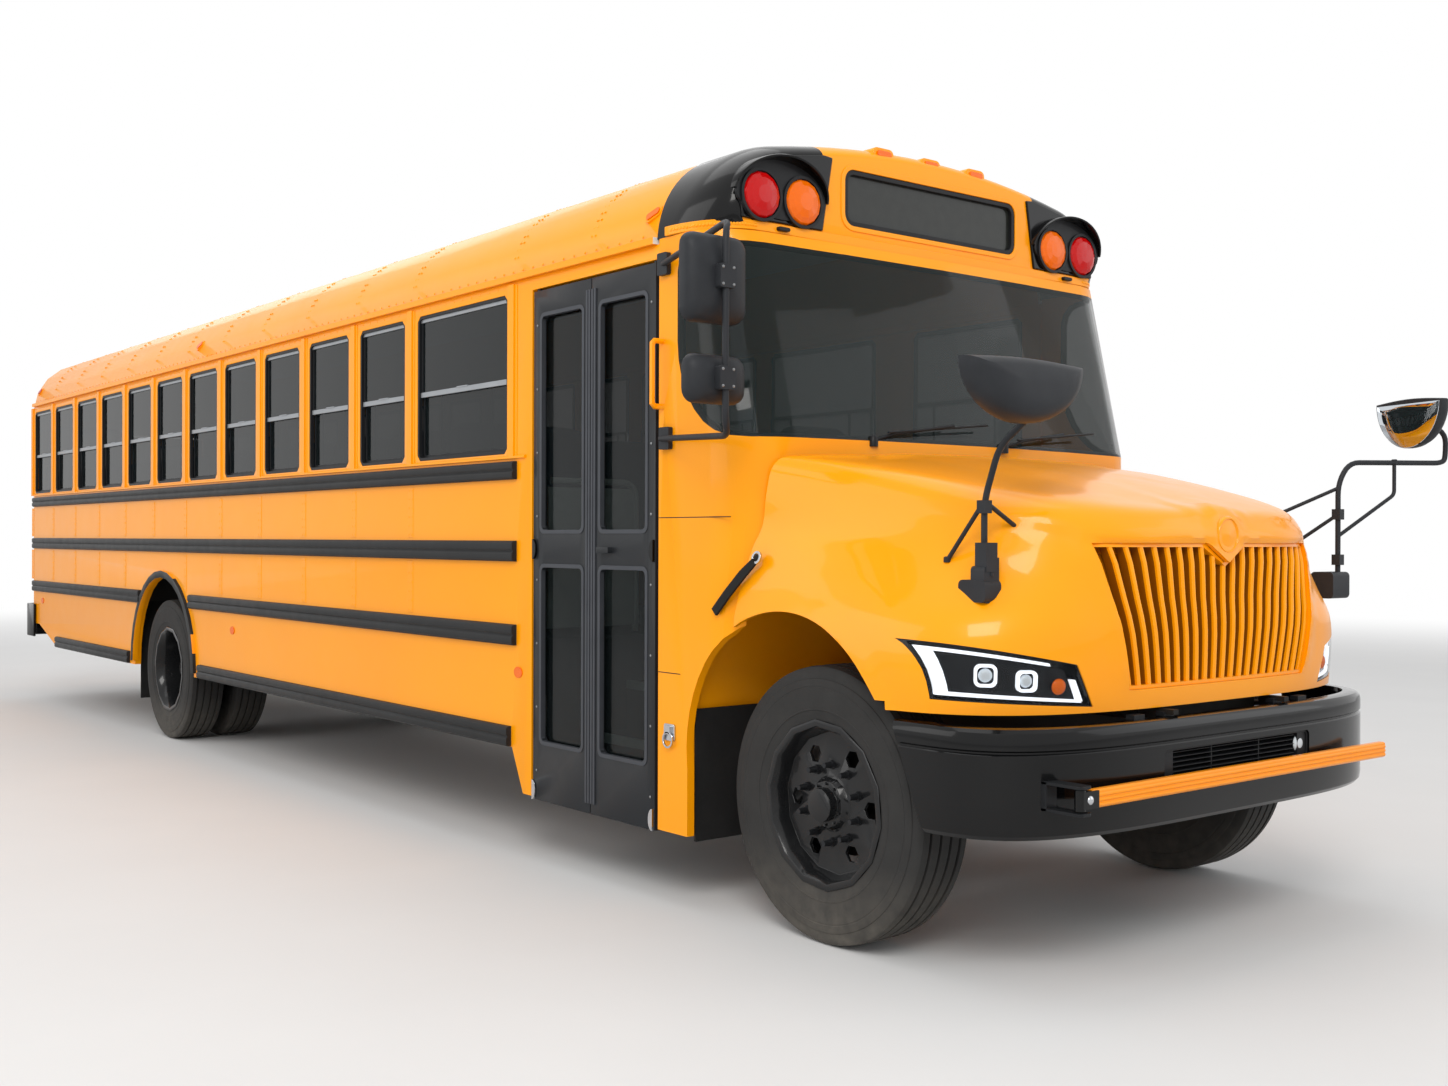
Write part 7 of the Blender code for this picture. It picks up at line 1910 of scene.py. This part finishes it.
def post_foot(bm, post, side):
    """The plates and bolts that hold the right post to the fender and carry its head."""
    box(bm, span(side, post[0] - 0.028, post[0] + 0.028), (post[1] - 0.034, post[1] + 0.016), (1.372, 1.470))
    strip = rounded(span(side, post[0] - 0.038, post[0] + 0.038), (1.268, 1.392), 0.016, 4)
    plate(bm, strip, "Y", (post[1] - 0.032, post[1] + 0.026))
    for z in FOOT_BOLTS_Z:
        turned_knob(bm, (side * post[0], post[1] - 0.032, z), 0.007, 0.006)
    plate(bm, rounded((-1.012, -0.948), (1.925, 1.995), 0.010, 3), "Y", (-0.905, -0.845))
    box(bm, (-1.006, -0.954), (-0.690, -0.640), (1.300, 1.420))


def cross_mirror(name, side):
    """A bowl mirror on a braced tube that stands on the fender."""
    bm = bmesh.new()
    bar(bm, bends([(side * x, y, z) for x, y, z in CROSS_PATHS[side]], 0.05), 0.011, 12)
    for brace in CROSS_BRACES[side]:
        bar(bm, bends([(side * x, y, z) for x, y, z in brace], 0.02), 0.008, 10)
        foot = brace[-1]
        turned_knob(bm, (side * foot[0], foot[1], foot[2] + 0.004), 0.013, 0.010)
    x, y, z = CROSS_MOUNTS[side]
    plate(bm, rounded(y, z, 0.018, 4), "X", span(side, *x))
    post = CROSS_PATHS[side][0]
    clamp_x, clamp_y = span(side, post[0] - 0.018, post[0] + 0.018), (post[1] - 0.018, post[1] + 0.018)
    for at in POST_CLAMPS_Z:
        box(bm, clamp_x, clamp_y, (at - 0.022, at + 0.022))
    mirror_bowl(bm, side)
    if side < 0:
        post_foot(bm, post, side)
    piece(name + "_cross_view", bm, "hood_assembly", "mirror_black", "mirror_glass",
          stands_for=(name + "_cross_mirror",), angle=35)


for name, side in SIDES:
    side_mirrors(name, side)
    cross_mirror(name, side)


# Seats and interior


FLOOR_Z = 1.02
SEAT_FIRST_Y = 2.35
SEAT_PITCH = 0.70
SEAT_COUNT = 12
SEAT_X = (0.230, 1.140)


def pad(bm, middle, size, crown, pull, turn=0.0, channels=0, finish=0):
    """A stuffed block with rounded edges, a crowned top, sides that pull in and sewn channels."""
    start = len(bm.verts)
    made = bmesh.ops.create_cube(bm, size=2)["verts"]
    edges = list({edge for v in made for edge in v.link_edges})
    bmesh.ops.subdivide_edges(bm, edges=edges, cuts=8, use_grid_fill=True)
    bm.verts.ensure_lookup_table()
    spin = Matrix.Rotation(turn, 3, "X")
    for v in list(bm.verts)[start:]:
        u, w, t = v.co
        norm = (abs(u) ** 7 + abs(w) ** 7 + abs(t) ** 7) ** (1 / 7)
        u, w, t = u / norm, w / norm, t / norm
        x = u * size[0] / 2 * (1 - pull * (1 - w * w))
        y = w * size[1] / 2 * (1 - pull * (1 - u * u))
        z = t * size[2] / 2 + (crown * (1 - u * u) * (1 - w * w) if t > 0 else 0)
        if channels and t > 0:
            z -= 0.006 * max(0.0, math.cos(math.pi * channels * u)) ** 24
        v.co = Vector(middle) + spin @ Vector((x, y, z))
    for face in faces_of(list(bm.verts)[start:]):
        face.material_index = finish


def seat_pads(name, x, y, width, body="body", look="seat_vinyl"):
    """A bench with its cushion and leaning back, each a padded form with rounded edges and sewn channels."""
    bm = bmesh.new()
    pad(bm, (x, y + 0.205, FLOOR_Z + 0.375), (width, 0.425, 0.095), 0.012, 0.012, channels=3)
    lean = math.atan2(0.11, 0.65)
    pad(bm, (x, y + 0.480, FLOOR_Z + 0.730), (width, 0.680, 0.080), 0.010, 0.012, math.pi / 2 - lean,
        channels=3)
    made = piece(name, bm, body, look, angle=70, level=1)
    return made


def seats(name, side):
    """A row of benches, each on two bent legs and a foot rail along the aisle."""
    bm = bmesh.new()
    middle = side * (SEAT_X[0] + SEAT_X[1]) / 2
    leg_x, wall_x, rail_z = side * (SEAT_X[0] + 0.015), side * (SEAT_X[1] - 0.02), FLOOR_Z + 0.325
    foot_x = span(side, SEAT_X[0] + 0.001, SEAT_X[0] + 0.030)
    for k in range(SEAT_COUNT):
        y = SEAT_FIRST_Y + SEAT_PITCH * k
        seat_pads(name + "_bench_%02d" % (k + 1), middle, y, SEAT_X[1] - SEAT_X[0] - 0.012)
        for at in (y + 0.09, y + 0.37):
            bar(bm, bends([(leg_x, at, FLOOR_Z + 0.004), (leg_x, at, rail_z), (wall_x, at, rail_z)], 0.04),
                0.011, 10)
        box(bm, foot_x, (y + 0.05, y + 0.41), (FLOOR_Z + 0.001, FLOOR_Z + 0.010))
    piece(name + "_seat_frames", bm, "body", "satin_black", stands_for=(name + "_seats",), angle=35)


for name, side in SIDES:
    seats(name, side)
seat_pads("driver_pads", 0.58, 1.42, 0.48, look="seat_grey")

STEP_COUNT = 3
STEP_FIRST = (-1.170, 0.350)
STEP_RUN = 0.215
STEP_RISE = 0.225
STEP_Y = (0.94, 1.82)
RAIL_R = 0.016


def driver_pedestal():
    bm = bmesh.new()
    plate(bm, rounded((0.40, 0.76), (1.49, 1.75), 0.03), "Z", (FLOOR_Z + 0.001, FLOOR_Z + 0.030))
    plate(bm, rounded((0.44, 0.72), (1.53, 1.71), 0.05), "Z", (FLOOR_Z + 0.030, FLOOR_Z + 0.270))
    plate(bm, rounded((0.37, 0.79), (1.46, 1.78), 0.03), "Z", (FLOOR_Z + 0.270, FLOOR_Z + 0.330))
    piece("driver_pedestal", bm, "body", "satin_black", stands_for=("driver_seat",), bevel=0.004)


def step_edges_and_rails():
    """Edges of the entry steps, two handrails and the panel behind the stair."""
    bm = bmesh.new()
    for k in range(STEP_COUNT):
        edge, z = STEP_FIRST[0] + STEP_RUN * k, STEP_FIRST[1] + STEP_RISE * k
        box(bm, (edge - 0.003, edge + 0.034), STEP_Y, (z - 0.034, z + 0.004))
    front_rail = [(-1.12, 0.960, 0.64), (-1.12, 0.960, 0.86), (-0.72, 0.960, 1.55), (-0.62, 0.960, 1.60),
                  (-0.62, 0.960, 1.04)]
    rear_rail = [(-0.62, 1.90, 1.03), (-0.62, 1.90, 1.75), (-1.10, 1.90, 1.75)]
    for rail in (front_rail, rear_rail):
        bar(bm, bends(rail, 0.08), RAIL_R)
    box(bm, (-1.12, -0.63), (1.892, 1.908), (1.06, 1.72))
    piece("step_edges_and_rails", bm, "body", "step_edge", bevel=0.002)


driver_pedestal()
piece("dash", solid("dashboard"), "body", "dash_grey", stands_for=("dashboard",), angle=40)
piece("floor_shell", solid("floor"), "body", "floor_rubber", stands_for=("floor",), angle=30)
step_edges_and_rails()


# Side and roof details


AMBER, SEAT_YELLOW, GASKET, RED = 0, 1, 2, 3
# Columns: place along Y, height
REFLECTORS = ((1.99, 0.855), (5.66, 0.865), (10.42, 0.897))
REFLECTOR_R = (0.036, 0.026)
ROOF_MARKERS_Y = (0.955, 6.35, 10.60)
LAST_MARKER_Y = 10
# Columns: place along X, lens
REAR_WARNING_LAMPS = ((0.62, AMBER), (0.88, RED))
# Columns: height, lens
REAR_TAIL_LAMPS = ((1.18, AMBER), (1.42, RED))
REAR_WINDOW = ((0.48, 1.05), (1.877, 2.500))
STRAP = ((-1.196, 0.302, 1.396), (-1.214, 0.352, 1.345), (-1.226, 0.430, 1.268), (-1.228, 0.505, 1.196))


def side_lamps(bm, side):
    """Oval reflectors along the wall and marker lamps at the edge of the roof."""
    for y, z in REFLECTORS:
        outline = arc((y, z), REFLECTOR_R, 0, 360, 28)[:-1]
        plate(bm, outline, "X", span(side, BODY_HALF - 0.002, BODY_HALF + 0.005), AMBER)
    for y in ROOF_MARKERS_Y:
        start = len(bm.verts)
        seat = rounded((-0.052, 0.052), (-0.024, 0.024), 0.022)
        opening = rounded((-0.040, 0.040), (-0.014, 0.014), 0.012)
        ring(bm, seat, opening, "Y", (-0.006, 0.012), SEAT_YELLOW)
        look = RED if y > LAST_MARKER_Y else AMBER
        plate(bm, rounded((-0.041, 0.041), (-0.0145, 0.0145), 0.012), "Y", (-0.012, 0.010), look)
        facing(bm, start, (side * (BODY_HALF - 0.026), y, 2.815), Vector((side, 0, 0.36)).normalized())


def rear_lamp(bm, at, radius, height, look, rim, behind):
    """A round lamp in a rubber ring on the rear wall."""
    start = len(bm.verts)
    lens(bm, radius, height, look, 0.0, 24, 5)
    ring(bm, circle((0, 0), radius + rim, 40), circle((0, 0), radius, 40), "Y", behind, GASKET)
    facing(bm, start, at, WAY_BACK)


def lamps_and_reflectors():
    bm = bmesh.new()
    for side in (-1, 1):
        side_lamps(bm, side)
        for x, look in REAR_WARNING_LAMPS:
            rear_lamp(bm, (side * x, BODY_REAR + 0.008, 2.80), 0.086, 0.018, look, 0.012, (-0.010, 0.022))
        for z, look in REAR_TAIL_LAMPS:
            rear_lamp(bm, (side * 0.93, BODY_REAR + 0.012, z), 0.052, 0.012, look, 0.010, (-0.008, 0.020))
        opening, height = span(side, *REAR_WINDOW[0]), REAR_WINDOW[1]
        outer, inner = inset_box(opening, height, -0.014, 0.045), inset_box(opening, height, 0.010, 0.026)
        ring(bm, outer, inner, "Y", (BODY_REAR - 0.030, BODY_REAR + 0.006), GASKET)
    piece("lamps_and_reflectors", bm, "body", "amber_lens", "bus_yellow", "gasket_black", "red_lens",
          angle=35)


def hood_strap(bm):
    """The rubber strap that holds the hood down on the right."""
    rows = []
    for k, (x, y, z) in enumerate(STRAP):
        w = 0.013 if k else 0.010
        rows.append([(x - 0.006, y - w, z - w), (x + 0.006, y - w, z - w), (x + 0.006, y + w, z + w),
                     (x - 0.006, y + w, z + w)])
    lines = skin(bm, rows, closed=True)
    bm.faces.new(lines[0])
    bm.faces.new(lines[-1][::-1])


def latch_and_holder():
    """The strap, its rubber stop on each cowl side and the chromed holder below."""
    bm = bmesh.new()
    hood_strap(bm)
    for side in (-1, 1):
        start = len(bm.verts)
        ring(bm, circle((0, 0), 0.026, 32), circle((0, 0), 0.016, 32), "Y", (-0.006, 0.004), 1)
        lens(bm, 0.015, 0.008, 0, 0.0, 20, 5)
        facing(bm, start, (side * 1.190, 0.296, 1.409), Vector((side, 0, 0.25)).normalized())
        start = len(bm.verts)
        plate(bm, rounded((-0.036, 0.036), (-0.034, 0.034), 0.010), "Y", (-0.006, 0.004), 1)
        ring(bm, circle((0, -0.030), 0.034, 32), circle((0, -0.030), 0.026, 32), "Y", (-0.016, -0.008), 1)
        box(bm, (-0.016, 0.016), (-0.016, 0.002), (-0.008, 0.026))
        for face in faces_of(list(bm.verts)[-8:]):
            face.material_index = 1
        facing(bm, start, (side * (BODY_HALF + 0.002), 0.80, 0.700), Vector((side, 0, 0)))
    piece("latch_and_holder", bm, "body", "rubber", "chrome", bevel=0.0015)


lamps_and_reflectors()
latch_and_holder()


def roof_rivets():
    points = []
    for side in (-1, 1):
        y = 1.0
        while y < SIDE_END - 0.05:
            points.append(((side * (BODY_HALF - 0.0005), y, DRIP_Z + 0.046), (side, 0, 0.06)))
            y += RIVET_PITCH
        corner = (BODY_HALF - ROOF_CORNER_R, DRIP_Z)
        for y in [1.40, FIRST_PILLAR_Y] + SEAM_YS[:-1]:
            for k in range(3, 14):
                a = math.radians(k * 5.6)
                n = (math.cos(a), math.sin(a))
                for dy in (-0.014, 0.014):
                    points.append(((side * (corner[0] + (ROOF_CORNER_R - 0.0035) * n[0]), y + dy,
                                    corner[1] + (ROOF_CORNER_R - 0.0035) * n[1]), (side * n[0], 0, n[1])))
    repeated("roof_rivets", RIVETS, points, RIVET_R, 0.0030, "bus_yellow", "body")


roof_rivets()


# Rear end, stop arm and hatches


EXIT_GLASS_Z = ((1.150, 1.560), (1.800, 2.360))
STOP_MIDDLE = (2.2975, 1.60)
STOP_RIM_R = (0.2440, 0.2250)
STOP_RIM_X = (1.2574, 1.2786)


def exit_trim():
    """Rubbers round the glasses of the emergency door, and its handle."""
    bm = bmesh.new()
    for z0, z1 in EXIT_GLASS_Z:
        outer = rounded((-0.274, 0.274), (z0 - 0.014, z1 + 0.014), 0.045)
        inner = rounded((-0.250, 0.250), (z0 + 0.010, z1 - 0.010), 0.026)
        ring(bm, outer, inner, "Y", (BODY_REAR - 0.030, BODY_REAR + 0.006), 0)
    handle = [(0.24, BODY_REAR - 0.002, 1.665), (0.24, BODY_REAR + 0.022, 1.665),
              (0.05, BODY_REAR + 0.022, 1.665), (0.05, BODY_REAR - 0.002, 1.665)]
    bar(bm, bends(handle, 0.012), 0.008, 12, 1)
    piece("exit_trim", bm, "emergency_exit", "gasket_black", "steel", angle=35)


def stop_rim():
    """The white rim on both faces of the eight-sided stop blade."""
    bm = bmesh.new()
    outer, inner = [[(STOP_MIDDLE[0] + r * math.cos(math.pi * (k + 0.5) / 4),
                      STOP_MIDDLE[1] + r * math.sin(math.pi * (k + 0.5) / 4))
                     for k in range(8)] for r in STOP_RIM_R]
    ring(bm, outer, inner, "X", STOP_RIM_X)
    piece("stop_rim", bm, "stop_sign", "sign_white", angle=30)


piece("rear_panel", solid("rear_wall"), "body", "bus_yellow", stands_for=("rear_wall",), angle=30)
piece("rear_bumper_beam", solid("rear_bumper"), "body", "gloss_black", stands_for=("rear_bumper",),
      bevel=0.006)
piece("exit_panel", solid("emergency_door"), "emergency_exit", "bus_yellow",
      stands_for=("emergency_door",), bevel=0.003)
exit_trim()
piece("stop_blade", solid("stop_arm"), "stop_sign", "sign_red", stands_for=("stop_arm",), bevel=0.001)
stop_rim()
for name in ("front", "rear"):
    piece(name + "_hatch_lid", solid(name + "_roof_hatch"), name + "_hatch", "roof_white",
          stands_for=(name + "_roof_hatch",), bevel=0.006)


# Nodes that keep their own solid and take a better finish


PLAIN_NODES = {
    "frame": "chassis_black", "engine": "chassis_black", "fuel_tank": "chassis_black",
    "exhaust": "chassis_black", "front_axle": "chassis_black", "rear_axle": "chassis_black",
    "right_knuckle": "chassis_black", "left_knuckle": "chassis_black",
    "right_front_flap": "rubber", "left_front_flap": "rubber", "rear_flaps": "rubber",
    "right_rear_glass": "window_glass", "left_rear_glass": "window_glass",
    "emergency_door_glass": "window_glass",
}
for node_name, look in PLAIN_NODES.items():
    node = frame["nodes"][node_name]
    node.data.materials.clear()
    node.data.materials.append(finishes[look])
